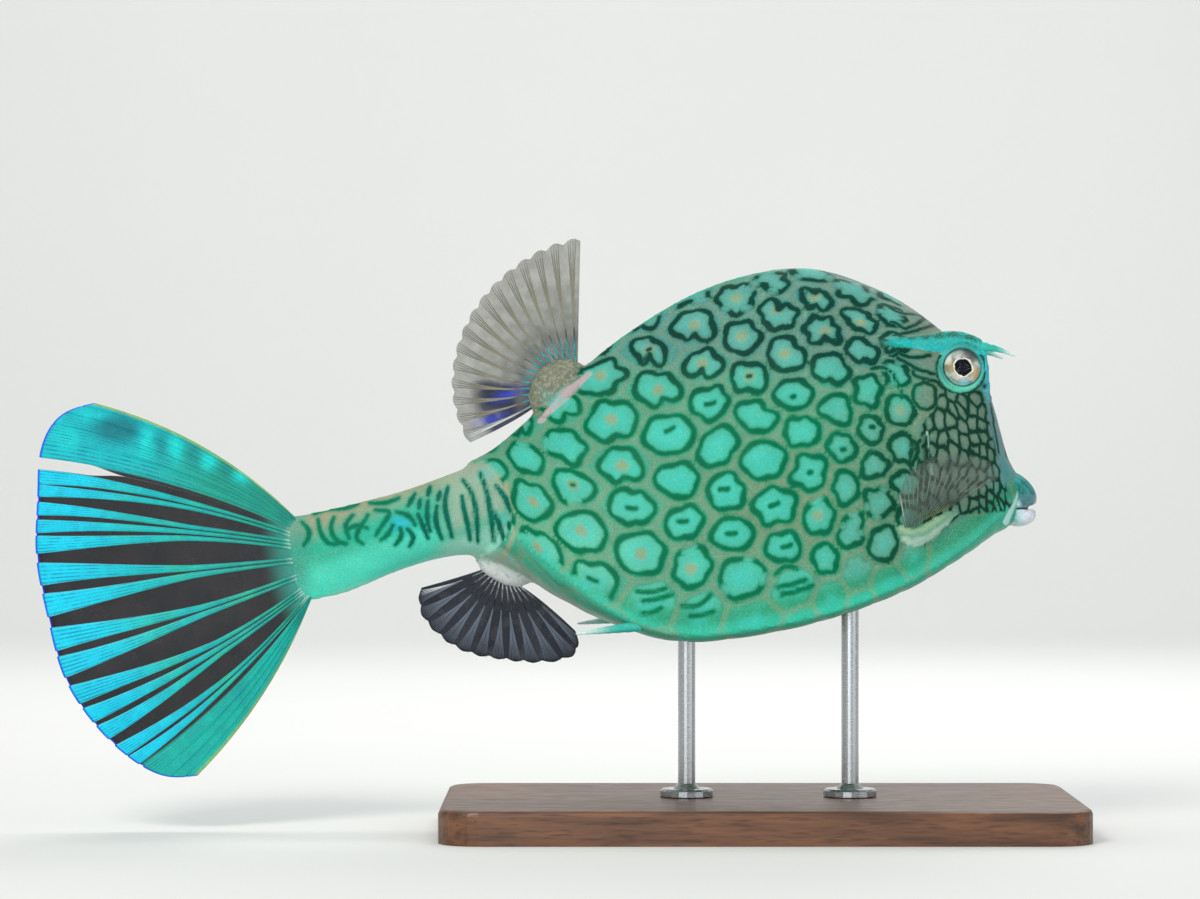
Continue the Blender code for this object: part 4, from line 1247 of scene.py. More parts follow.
    def read(self, where: Points, below: np.ndarray) -> dict[str, Points]:
        """Reads the drawing at places of the chart.

        Args:
            where: Each place's p and q, or p and r on the belly, r being the way in from its middle line.
            below: Which of them are on the belly.

        Returns:
            Lengths in millimetres and places in cells, under the names that the skin's material reads.
        """
        flat = [(*w, 0.0) for w in where]
        corners = [(a, b) for plate in self.plates
                   for a, b in zip(plate.corners, np.roll(plate.corners, -1, axis=0))]
        edges = [a + (b - a) * np.linspace(0, 1, 40)[:, None] for a, b in corners]
        _, suture = nearest(tree_of(np.vstack(edges)), flat)
        middles = np.array([plate.middle for plate in self.plates])
        number, away = nearest(tree_of(middles), flat)
        off = where - middles[number]
        turn = np.arctan2(off[:, 1], off[:, 0]) % (2 * math.pi) / (2 * math.pi) * len(TURNS)
        table, low, part = np.array(self.radii), turn.astype(int) % len(TURNS), turn % 1
        reach = table[number, low] * (1 - part) + table[number, (low + 1) % len(TURNS)] * part
        lines, kept = np.vstack(self.outlines.places), np.concatenate(self.kept)
        found, to_line = nearest(tree_of(lines), flat)
        _, to_kept = nearest(tree_of(lines[kept]), flat)
        _, to_cut = nearest(tree_of(lines[~kept]), flat)
        plain = below | (np.array([plate.column for plate in self.plates])[number] > self.last_column)
        slant, along, down, length, half, spot = np.array(self.cores)[number].T
        off = off - np.column_stack([along, down])
        ink = self.strokes.distance(where)
        belly_ink = self.belly_strokes.distance(where)
        keel = self.chart.mid_belly(where[:, 0]) - self.chart.keel(where[:, 0])
        belly_ink = np.where((where[:, 1] < keel - 9.0) & (where[:, 0] > 62), belly_ink, 9.0)
        cell_along, cell_down, net = self.net_place(where)
        return {
            "ink": np.where(below, belly_ink, ink),
            "ring": np.where(plain, -9.0, np.where(reach > away, to_line, -to_line)),
            "half": np.concatenate(self.outlines.halves)[found],
            "cut": np.clip(to_cut - to_kept, -3, 3),
            "suture": np.clip(suture, 0, 6),
            "along": off[:, 0] * np.cos(slant) + off[:, 1] * np.sin(slant),
            "beside": off[:, 1] * np.cos(slant) - off[:, 0] * np.sin(slant),
            "length": length,
            "core": half,
            "spot": spot,
            "cell_along": cell_along,
            "cell_down": cell_down,
            "net": np.where(below, -9.0, net),
        }


# The head's own forms
EYE_CENTRE = (63.3, 12.8, 18.3)
EYE_LOOK = (0.12, 1.0, 0.06)
LID_RADII = (7.6, 7.6, 7.2)
LID_SEEN = ((961.0, 369.0), 24.6)  # the lid's middle and radius in the picture
EYE_RADIUS = 6.4
EYE_FORWARD = 2.1
EYE_SOCKET = ((0.0, 5.2, 5.75, 6.4, 6.9, 7.6), (1.4, 1.4, 3.3, 4.0, 3.9, 30.0))
BROW_PATH = ((40.6, 20.2, 30.3), (48.5, 19.4, 28.9), (56.5, 18.7, 27.8), (64.0, 18.1, 27.0),
             (70.6, 17.6, 23.9))
BROW_RADII = (0.7, 1.8, 2.6, 2.7, 2.1)
POST_PATH = ((70.6, 17.4, 23.0), (70.2, 16.9, 18.0), (69.9, 15.6, 12.6), (70.6, 14.4, 6.4))
POST_RADII = (1.9, 1.7, 0.8)
NOSTRIL = (69.4, 11.8)
GILL_SLIT = ((49.4, 3.0), (48.6, -1.5), (47.6, -7.0), (46.2, -13.0))
PECTORAL_ROOT = ((36.5, 31.9, -24.3), (38.3, 31.8, -27.3), (42.6, 30.4, -27.3), (48.0, 27.9, -25.0),
                 (53.1, 24.8, -22.8))
PECTORAL_RADII = (1.1, 2.1, 2.1, 1.5, 0.5)
DORSAL_RADII = (0.9, 1.8, 0.8)
DORSAL_FOLD = ((-61.6, 6.0, 27.4), (-54.3, 6.0, 32.3), (-45.2, 5.8, 37.9))


def on_side(point: Sequence[float], side: Side) -> Points:
    """Points given for the fish's left, on either side."""
    return np.array(point, float) * (1, side.sign, 1)


def eye_turn(side: Side) -> Matrix:
    """The turn that brings up the way an eye looks."""
    return Vector(on_side(EYE_LOOK, side)).normalized().to_track_quat("Z", "Y").to_matrix().to_4x4()


def look_way(side: Side) -> Points:
    """The way an eye looks, one long."""
    look = on_side(EYE_LOOK, side)
    return look / np.linalg.norm(look)


def eye_middle(side: Side) -> Points:
    """The middle of an eyeball."""
    return on_side(EYE_CENTRE, side) + look_way(side) * EYE_FORWARD


# The dark stripes on the tail stalk, as places of the picture
STALK_STRIPES = (
    ((428, 501), (427, 514), (430, 531)), ((437, 506), (436, 521), (442, 539)),
    ((448, 487), (445, 501), (447, 517), (452, 537)),
    ((462, 496), (464, 509), (467, 522), (470, 540)),
    ((463, 480), (471, 492), (476, 512), (478, 542)),
    ((480, 473), (486, 490), (490, 510), (494, 542)),
    ((496, 486), (505, 498), (510, 511)), ((493, 511), (499, 524), (504, 540)),
    ((509, 523), (510, 529)),
    ((430, 487), (428, 495)), ((415, 494), (408, 506)),
    ((318, 519), (321, 533), (331, 544), (340, 543)),
    ((334, 517), (331, 528), (337, 540), (346, 544)), ((353, 515), (346, 525), (349, 538)),
    ((368, 515), (361, 526), (357, 539), (363, 544)),
    ((375, 510), (389, 513), (383, 524), (376, 535)),
    ((396, 512), (410, 517), (415, 525)), ((393, 525), (387, 535), (381, 540)),
    ((418, 514), (423, 526), (428, 538)),
    ((302, 522), (309, 532), (304, 545)), ((314, 514), (328, 509), (345, 508), (358, 504)),
    ((370, 503), (384, 503), (399, 498)), ((400, 528), (401, 536), (395, 545)),
    ((346, 530), (356, 526), (367, 528)),
    ((407, 529), (413, 537), (410, 546)), ((420, 500), (419, 508)), ((440, 492), (438, 500)),
)


# The face's painted highlights, pale streaks at the gill slit and down to the mouth: places of the picture,
# and half the width in millimetres at both ends
FACE_HIGHLIGHTS = (
    (((927, 432), (928, 440), (929, 447)), 1.2, 0.5),
    (((929, 452), (930, 462), (932, 474)), 0.4, 1.0),
    (((1019, 486), (1016, 500), (1010, 513), (1006, 522)), 1.0, 3.2),
)
CHIN_LINE = ((905, 925, 945, 960, 1001), (560, 545, 528, 515, 511))  # x and y in the picture
CHIN_START = 930  # in front of this x of the picture the skin under the chin line is plain
LID_RING_SHOWS = (986, 354)  # the lid's dark ring shows to the left of and below this place of the picture


@dataclass
class Skin:
    """One skin over the head, shell, tail stalk and the fleshy roots of the fins.

    Attributes:
        grain: About how long a face's side is.
        fine: Behind the first and in front of the second of these the faces are half as long.
        fine_ball: Middle and radius of a ball round the dorsal fin's root where they are too.
        bay: Middle and radius of the round bay that the stalk comes out of, seen from the side.
        shell_end: The x of the shell's hind end.
        plate_rise: How high a plate stands over its sutures, as a share of its size.
        dorsal_root: Middle, radii and rise in degrees of the dorsal fin's fleshy root.
        anal_root: The same for the anal fin.
    """

    chart: ShellChart
    marks: ShellMarks
    grain: float = 1.12
    fine: tuple[float, float] = (-88.0, 46.0)
    fine_ball: tuple = ((-53.0, 0.0, 33.5), 14.0)
    bay: tuple = ((-89.4, 4.8), 14.6)
    shell_end: float = -88.6
    plate_rise: float = 0.025
    dorsal_root: tuple = ((-54.6, 0.0, 35.2), (10.4, 3.8, 8.4), 38.0)
    anal_root: tuple = ((-81.2, 0.0, -14.4), (9.2, 3.2, 4.6), -38.0)

    def shell(self) -> bpy.types.Object:
        """The smooth shell with its bay cut out.

        Returns:
            The closed form.
        """
        rows = stations_between(SHELL_STATIONS, 130)
        rings = []
        for row in rows:
            right = half_section(row, 70, 24, self.chart.ridge_power)
            rings.append(np.vstack([right, right[-2:0:-1] * (1, -1, 1)]))
        obj = loft("shell_form", rings)
        (x, z), radius = self.bay
        bm = bmesh.new()
        bmesh.ops.create_cone(bm, cap_ends=True, segments=96, radius1=radius * MM, radius2=radius * MM,
                              depth=80 * MM)
        turn = POSE @ Matrix.Translation((x * MM, 0, z * MM)) @ Matrix.Rotation(math.pi / 2, 4, "X")
        bmesh.ops.transform(bm, matrix=turn, verts=bm.verts)
        cutter = object_of("bay_form", bm)
        step = obj.modifiers.new("bay", "BOOLEAN")
        step.object = cutter
        step.operation = "DIFFERENCE"
        step.solver = "EXACT"
        apply_steps(obj)
        bpy.data.objects.remove(cutter)
        return obj

    def stalk(self) -> bpy.types.Object:
        """The bare stalk between the shell and the tail fin.

        Returns:
            The closed form.
        """
        rings = []
        for row in stations_between(STALK_STATIONS, 50):
            right = half_section(row, 24, 24, 2.0)
            rings.append(swept(np.vstack([right, right[-2:0:-1] * (1, -1, 1)])))
        return loft("stalk_form", rings)

    @staticmethod
    def lobe(root: tuple) -> bpy.types.Object:
        """The fleshy form that a middle fin's rays stand on."""
        centre, radii, rise = root
        return ellipsoid("root_form", centre, radii, Matrix.Rotation(-math.radians(rise), 4, "Y"), 24)

    def head_forms(self, side: Side) -> list[bpy.types.Object]:
        """The brow, the eyelid and its rim, the face's edge and the folds at two fins' roots on one side.

        Args:
            side: The side.

        Returns:
            The closed forms.
        """
        knots, fine = np.arange(len(BROW_PATH)), np.linspace(0, len(BROW_PATH) - 1, 40)
        path = natural_spline(knots, on_side(BROW_PATH, side), fine)
        radii = natural_spline(knots, np.array(BROW_RADII), fine)
        forms = [tube("brow_form", path, radii, around=24)]
        turn = eye_turn(side)
        forms.append(ellipsoid("lid_form", on_side(EYE_CENTRE, side), LID_RADII, turn, 28))
        rim = eye_middle(side) + look_way(side) * 2.9
        forms.append(torus("rim_form", turn, rim, 6.45, 1.05))
        for places, radii in ((POST_PATH, POST_RADII), (PECTORAL_ROOT, PECTORAL_RADII),
                              (DORSAL_FOLD, DORSAL_RADII)):
            line = smooth_line([on_side(place, side) for place in places], 0.5)
            radii = np.interp(np.linspace(0, 1, len(line)), np.linspace(0, 1, len(radii)), radii)
            forms.append(tube("fold_form", line, radii))
        return forms

    def refine(self, skin: bpy.types.Object) -> None:
        """Halves the faces of the head, the tail stalk and the dorsal fin's root.

        Args:
            skin: The skin.
        """

        def fine(points: Points) -> np.ndarray:
            """Which points lie there."""
            near = np.linalg.norm(points - self.fine_ball[0], axis=1) < self.fine_ball[1]
            return (points[:, 0] < self.fine[0]) | (points[:, 0] > self.fine[1]) | near

        here = fine(back_to_fish(skin.data))
        bm = bmesh.new()
        bm.from_mesh(skin.data)
        edges = [edge for edge in bm.edges if here[edge.verts[0].index] and here[edge.verts[1].index]]
        bmesh.ops.subdivide_edges(bm, edges=edges, cuts=1, use_grid_fill=True)
        bm.to_mesh(skin.data)
        bm.free()
        soften(skin, 2, fine(back_to_fish(skin.data)).astype(float))

    def build(self) -> bpy.types.Object:
        """Makes the skin and shapes its plates.

        Returns:
            The skin, with its drawing kept on it.
        """
        forms = [self.shell(), self.stalk(), self.lobe(self.dorsal_root), self.lobe(self.anal_root)]
        for side in Side:
            forms += self.head_forms(side)
        skin = fuse("skin", forms, self.grain)
        soften(skin, 1)
        self.refine(skin)
        points = back_to_fish(skin.data)
        soften(skin, 5, ease(self.off_shell(points), 0.3, 1.0) * ease(points[:, 0], -92, -86))
        points = back_to_fish(skin.data)
        places = self.chart.locate(points)
        off_shell = self.off_shell(points)
        on_shell = ease(off_shell, 1.3, 0.5)
        below = places[:, 1] > self.chart.keel(places[:, 0])
        where = places.copy()
        where[:, 1] = np.where(below, self.chart.mid_belly(places[:, 0]) - places[:, 1], places[:, 1])
        read = self.marks.read(where, below)
        size = self.chart.size(places[:, 0])
        edge = np.minimum(np.abs(self.chart.keel(places[:, 0]) - places[:, 1]),
                          places[:, 1] - self.chart.ridge(places[:, 0]))
        suture = read["suture"]
        rise = self.plate_rise * size * (ease(suture, 0.0, 2.2) + 0.5 * ease(suture, 1.5, 6.5))
        plated = on_shell * ease(edge, 0.5, 3.5) * (1 - 0.75 * ease(read["net"], -1, 1))
        rise *= plated * ease(places[:, 0], 1.0, 4.0)
        roots = 0.5 * (self.root_height(points) < 1.2) + 0.3 * (self.fold_distance(points, Side.RIGHT) < 0.6)
        grains = np.sin(points @ (4.1, 1.7, 2.9)) * np.sin(points @ (-2.3, 3.7, 3.3))
        grains *= np.sin(points @ (1.9, -3.1, 4.7))
        rise += 0.34 * roots * grains - self.dents(points)
        points += normals_of(skin) * rise[:, None]
        for side in Side:
            look = look_way(side)
            off = points - eye_middle(side)
            ahead = off @ look
            across = np.linalg.norm(off - ahead[:, None] * look, axis=1)
            over = np.maximum(ahead - np.interp(across, *EYE_SOCKET, right=99.0), 0) * (ahead > 0)
            points -= over[:, None] * look
        set_points(skin.data, points)
        self.keep_marks(skin, points, places, read, off_shell, below)
        return skin

    def off_shell(self, points: Points) -> Points:
        """How far points lie from the smooth shell, either way.

        Args:
            points: Points in the fish's frame.

        Returns:
            The distance of each.
        """
        mirrored = points * (1, 0, 1) - np.abs(points) * (0, 1, 0)
        number, away = nearest(self.chart.tree, mirrored)
        across = self.chart.q.shape[1]
        row, step = np.clip(number // across, 1, self.chart.rows - 2), np.clip(number % across, 1, across - 2)
        here = row * across + step
        ahead = self.chart.samples[here + across] - self.chart.samples[here - across]
        down = self.chart.samples[here + 1] - self.chart.samples[here - 1]
        out = np.cross(down, ahead)
        out /= np.linalg.norm(out, axis=1)[:, None] + 1e-12
        beside = away > 1.5
        height = np.abs(np.sum((mirrored - self.chart.samples[here]) * out, axis=1))
        return np.where(beside, away, np.minimum(height, away))

    def dents(self, points: Points) -> Points:
        """How deep the gill slits and nostrils are pressed in at each point.

        Args:
            points: Points in the fish's frame.

        Returns:
            The depth at each.
        """
        slit = smooth_line(GILL_SLIT, 0.2)
        _, away = nearest(tree_of(slit), [(x, z, 0.0) for x, _, z in points])
        depth = 1.1 * np.exp(-((away / 0.75) ** 2)) * (np.abs(points[:, 1]) > 15)
        depth -= 0.35 * np.exp(-(((away - 1.8) / 0.8) ** 2)) * (np.abs(points[:, 1]) > 15)
        nostril = np.hypot(points[:, 0] - NOSTRIL[0], points[:, 2] - NOSTRIL[1])
        return depth + 0.9 * np.exp(-((nostril / 0.8) ** 2)) - 0.25 * np.exp(-(((nostril - 1.5) / 0.5) ** 2))

    def keep_marks(self, skin: bpy.types.Object, points: Points, places: Points, read: dict[str, Points],
                   off_shell: Points, below: np.ndarray) -> None:
        """Keeps the drawing, the painted highlights of the face and the ground colours on the skin.

        Args:
            skin: The skin.
            points: Its points in the fish's frame.
            places: Their places on the chart.
            read: The drawing read there.
            off_shell: How far each lies from the smooth shell.
            below: Which are on the belly.
        """
        (x, z), radius = self.bay
        in_stalk = np.maximum(radius - np.hypot(points[:, 0] - x, points[:, 2] - z),
                              self.shell_end - points[:, 0])
        in_stalk = np.minimum(in_stalk, self.root_height(points) - 0.3)
        bare = np.maximum(off_shell - 0.8, in_stalk)
        pictured = to_picture(points * (1, 0, 1) - np.abs(points) * (0, 1, 0))
        free = np.where(in_stalk > -1.0, self.stalk_strokes().distance(pictured) * PIXEL, 9.0)
        (lid_x, lid_y), lid_radius = LID_SEEN
        from_lid = np.hypot(pictured[:, 0] - lid_x, pictured[:, 1] - lid_y)
        on_lid = (points[:, 0] > 40) & (np.abs(points[:, 1]) > 9)
        on_lid &= (pictured[:, 0] < LID_RING_SHOWS[0]) & (pictured[:, 1] > LID_RING_SHOWS[1])
        free = np.minimum(free, np.where(on_lid, np.abs(from_lid - lid_radius) * PIXEL - 0.32, 9.0))
        for side in Side:
            bare = np.maximum(bare, 0.4 - self.fold_distance(points, side))
        bare = np.maximum(bare, np.where(points[:, 0] > 40, (lid_radius - from_lid) * PIXEL, -9.0))
        # The face's painted highlights at the gill slit and down to the mouth, kept as light
        lights = Strokes()
        for path, start, end in FACE_HIGHLIGHTS:
            path = smooth_line(path, 0.5)
            lights.add(path, np.linspace(start, end, len(path)))
        heights, begins, ends = self.marks.net_edge
        px, py = pictured.T
        read["net"] = np.minimum(read["net"], PIXEL * (px - np.interp(py, heights, begins)))
        read["net"] = np.minimum(read["net"], PIXEL * (np.interp(py, heights, ends) - px))
        chin = np.interp(px, *CHIN_LINE)
        read["net"] = np.minimum(read["net"], PIXEL * (chin - py))
        bare = np.maximum(bare, PIXEL * np.minimum(py - chin, px - CHIN_START) - 1.0)
        nostril = np.hypot(points[:, 0] - NOSTRIL[0], points[:, 2] - NOSTRIL[1]) - 0.5
        free = np.minimum(free, np.where((points[:, 0] > 60) & (np.abs(points[:, 1]) > 8), nostril, 9.0))
        granular = ease(self.root_height(points), 1.3, 0.6)
        marks = {"free": free, "bare": bare, "granular": granular,
                 "light": np.clip(lights.distance(pictured) * PIXEL, -3, 6)}
        for name, values in {**read, **marks}.items():
            store(skin, name, np.clip(values, -90, 90))
        grounds = Grounds(self.chart, points, places, pictured, below, ease(in_stalk, -0.2, 0.2),
                          ease(off_shell, 1.3, 0.5))
        grounds.folds = self.fold_distance(points, Side.LEFT), self.fold_distance(points, Side.RIGHT)
        grounds.roots = self.root_height(points)
        for name, colours in (("inner", grounds.inner()), ("band", grounds.band()), ("line", grounds.line())):
            kept = skin.data.attributes.new(name, "FLOAT_COLOR", "POINT")
            kept.data.foreach_set("color", np.ascontiguousarray(colours, np.float32).ravel())

    def root_height(self, points: Points) -> Points:
        """How far points lie outside the fleshy roots of the dorsal and anal fins.

        Args:
            points: Points in the fish's frame.

        Returns:
            The distance of each, negative inside.
        """
        away = np.full(len(points), 9.0)
        for centre, radii, rise in (self.dorsal_root, self.anal_root):
            turn = np.array(Matrix.Rotation(math.radians(rise), 3, "Y"))
            local = (points - np.array(centre)) @ turn.T / np.array(radii)
            away = np.minimum(away, (np.linalg.norm(local, axis=1) - 1.0) * min(radii))
        return away

    def fold_distance(self, points: Points, which: Side) -> Points:
        """How far points lie from the pectoral fins' roots (right) or the dorsal fin's folds (left).

        Args:
            points: Points in the fish's frame.
            which: Which of the two pairs.

        Returns:
            The distance of each, negative inside.
        """
        pectoral = which is Side.RIGHT
        places, radii = (PECTORAL_ROOT, PECTORAL_RADII) if pectoral else (DORSAL_FOLD, DORSAL_RADII)
        line = smooth_line(places, 0.5)
        number, away = nearest(tree_of(line), points * (1, 0, 1) + np.abs(points) * (0, 1, 0))
        return away - np.interp(np.linspace(0, 1, len(line)), np.linspace(0, 1, len(radii)), radii)[number]

    @staticmethod
    def stalk_strokes() -> Strokes:
        """The dark stripes on the tail stalk, as lines of the picture.

        Returns:
            The stripes.
        """
        strokes = Strokes()
        for places in STALK_STRIPES:
            line = smooth_line(places, 0.6)
            strokes.add(line, 2.7 - 0.9 * np.abs(np.linspace(-1, 1, len(line))))
        return strokes

    def material(self) -> bpy.types.Material:
        """The skin's own material: grounds, rings, spots, the cheek's net, sutures, fine stippling, and
        painted highlights on the plates' middles and the face.

        Returns:
            The material.
        """

        def ink(nodes: Nodes) -> bpy.types.NodeSocket:
            """How far a point lies outside the dark lines.

            Args:
                nodes: The writer of the material's nodes.

            Returns:
                The distance, negative inside them.
            """
            read = nodes.attribute
            line = nodes.minus(nodes.unsigned(read("ring")), read("half"))
            line = nodes.most(line, nodes.times(read("cut"), -1.0))
            past = nodes.most(nodes.minus(nodes.unsigned(read("along")), read("length")), 0.0)
            bent = nodes.plus(read("beside"),
                              nodes.times(nodes.math("POWER", nodes.unsigned(read("along")), 2.0), 0.04))
            core = nodes.plus(nodes.math("POWER", past, 2.0), nodes.times(bent, bent))
            core = nodes.minus(nodes.math("SQRT", core), read("core"))
            core = nodes.most(core, nodes.minus(0.6, read("ring")))
            wobble = nodes.new("TexNoise", Vector=nodes.place(), Scale=230.0, Detail=1.0).outputs["Color"]
            wobble = nodes.vector("SCALE", i0=wobble, i3=0.5)
            cell = nodes.new("CombineXYZ", X=read("cell_along"), Y=read("cell_down")).outputs[0]
            cell = nodes.vector("ADD", i0=cell, i1=wobble)
            first, second = (
                nodes.new("TexVoronoi", {"feature": feature, "voronoi_dimensions": "2D"}, Vector=cell,
                          Scale=1.0,
                          Randomness=0.62).outputs["Distance"]
                for feature in ("F1", "F2"))
            net = nodes.minus(nodes.times(nodes.minus(second, first), 2.1), 0.54)
            net = nodes.most(net, nodes.most(nodes.plus(read("ring"), 1.5), nodes.times(read("net"), -1.0)))
            shell = nodes.least(nodes.least(line, core), nodes.least(net, read("ink")))
            shell = nodes.most(shell, read("bare"))
            return nodes.least(shell, read("free"))

        def paint(nodes: Nodes) -> bpy.types.NodeSocket:
            """Lays the colours over each other.

            Args:
                nodes: The writer of the material's nodes.

            Returns:
                The colour.
            """
            colours = {name: nodes.new("Attribute", {"attribute_name": name}).outputs["Color"]
                       for name in ("inner", "band", "line")}
            inner, band = colours["inner"], colours["band"]
            ring, suture, net = nodes.attribute("ring"), nodes.attribute("suture"), nodes.attribute("net")
            ragged = nodes.times(nodes.minus(nodes.noise(900.0, 2.0), 0.5), 0.6)
            stripes = nodes.math("SINE", nodes.times(suture, 2 * math.pi / 0.62))
            dots = nodes.ramp(nodes.noise(2600.0, 1.0), 0.40, 0.58)
            fleck = nodes.times(nodes.ramp(stripes, -0.1, 0.6), dots)
            fleck = nodes.times(fleck, nodes.ramp(ring, -0.6, -1.3))
            band = nodes.mix(nodes.times(fleck, 0.5), band, nodes.mix(0.5, inner, Colour(160, 170, 142)))
            seam = nodes.times(nodes.ramp(suture, 1.5, 0.3), nodes.ramp(net, 0.5, -0.5))
            plated = nodes.ramp(nodes.attribute("bare"), 0.0, -0.4, 0.0, 0.75)
            seam = nodes.times(seam, plated)
            band = nodes.mix(nodes.times(seam, 0.45), band, Colour(140, 146, 112))
            ground = nodes.mix(nodes.ramp(ring, -0.6, 0.6), band, inner)
            # Painted highlight: lighter cyan towards each ring's middle
            ground = nodes.mix(nodes.ramp(ring, 1.2, 4.2, 0.0, 0.4), ground, Colour(66, 204, 194))
            grain = nodes.noise(1000.0, 3.0)
            pale = nodes.times(nodes.attribute("granular"), nodes.ramp(grain, 0.5, 0.62, 0.0, 0.25))
            ground = nodes.mix(pale, ground, Colour(216, 206, 196))
            pitted = nodes.times(nodes.attribute("granular"), nodes.ramp(grain, 0.46, 0.36, 0.0, 0.28))
            ground = nodes.mix(pitted, ground, Colour(76, 92, 96))
            speckle = nodes.ramp(nodes.noise(1500.0, 2.0), 0.55, 0.68)
            ground = nodes.mix(nodes.times(speckle, 0.14), ground, Colour(150, 190, 160))
            middle = nodes.new("CombineXYZ", X=nodes.attribute("along"),
                               Y=nodes.attribute("beside")).outputs[0]
            from_middle = nodes.vector("LENGTH", "Value", i0=middle)
            spot = nodes.minus(from_middle, nodes.attribute("spot"))
            spot = nodes.plus(nodes.most(spot, nodes.minus(0.8, ring)), nodes.times(ragged, 3.0))
            ground = nodes.mix(nodes.times(nodes.ramp(spot, 1.1, -1.0), plated), ground,
                               Colour(152, 156, 112))
            away = nodes.plus(ink(nodes), ragged)
            halo = nodes.times(nodes.ramp(away, 0.9, 0.0), 0.5)
            ground = nodes.mix(halo, ground, nodes.mix(0.5, colours["line"], Colour(16, 150, 112)))
            deep = nodes.mix(nodes.times(nodes.ramp(away, -0.1, -0.7), 0.35), colours["line"],
                             Colour(4, 50, 42))
            dark = nodes.mix(nodes.ramp(away, 0.24, -0.26), ground, deep)
            # Painted highlights on the face, at the gill slit and down to the mouth
            return nodes.mix(nodes.times(nodes.ramp(nodes.attribute("light"), 0.25, -0.35), 0.85), dark,
                             Colour(190, 236, 232))

        return Covering("fish_skin", scale=1500.0, amount=0.42, relief=0.10, coat=0.0,
                        shine=0.06).material(paint)

    def dress(self, skin: bpy.types.Object) -> None:
        """Gives the skin its material and its place in the frame."""
        finish_piece(skin, self.material(), "shell_skin", "head", "carapace", "tail_stalk", "dorsal_fin_root",
                     "anal_fin_root", "pectoral_fin_root_left", "pectoral_fin_root_right")


# Where the ground colours change, by the picture: patches as x, y and half sizes, and the x or y where a
# colour begins and where it is there in full
PATCHES = {
    "flank": (680, 490, 120, 80), "hind_belly": (580, 560, 90, 60), "chest": (780, 505, 90, 60),
    "middle": (640, 450, 110, 70), "hind_keel": (540, 540, 90, 70), "stalk_blue": (399, 524, 11, 8),
    "snout": (1014, 486, 22, 26), "hind_flank": (590, 530, 130, 90),
}
BY_X = {
    "lid": (948, 938), "post": (974, 986), "stalk_front": (425, 460), "bay": (470, 485),
    "stalk_end": (318, 298), "shoulder": (800, 880), "shoulder_band": (830, 900),
    "shoulder_line": (820, 900), "fore_back": (800, 850), "face": (900, 940), "stalk_line": (425, 385),
}
BY_Y = {
    # lid: where the painted highlight on the lid's lower half comes in
    "lid": (366, 386), "anal_root": (560, 564), "back": (400, 340), "back_line": (420, 350),
    "shoulder": (380, 420), "shoulder_line": (380, 430),
}
STALK_TOP = ((331, 508), -0.37)  # a place on the tail stalk's upper edge, and its slope there
STALK_HEIGHT = 84
BAY_SEEN = ((452, 519), 63)  # middle and radius of the shell's round bay
CHEEK_TURN = 950  # the x round which the lower cheek's two edges slope
FACE_TURN = 400  # the y round which the face's edge slopes

# Heights in the fish's frame, by x
BROW_LEVEL = ((40, 56, 64, 70.6), (30.3, 27.8, 27.0, 23.9))
# Below the pectoral level the fin root gets a painted highlight, above it a yellow-green tone
PECTORAL_LEVEL = ((36.5, 38.3, 42.6, 48.0, 53.1), (-26.0, -27.3, -27.3, -25.0, -22.8))


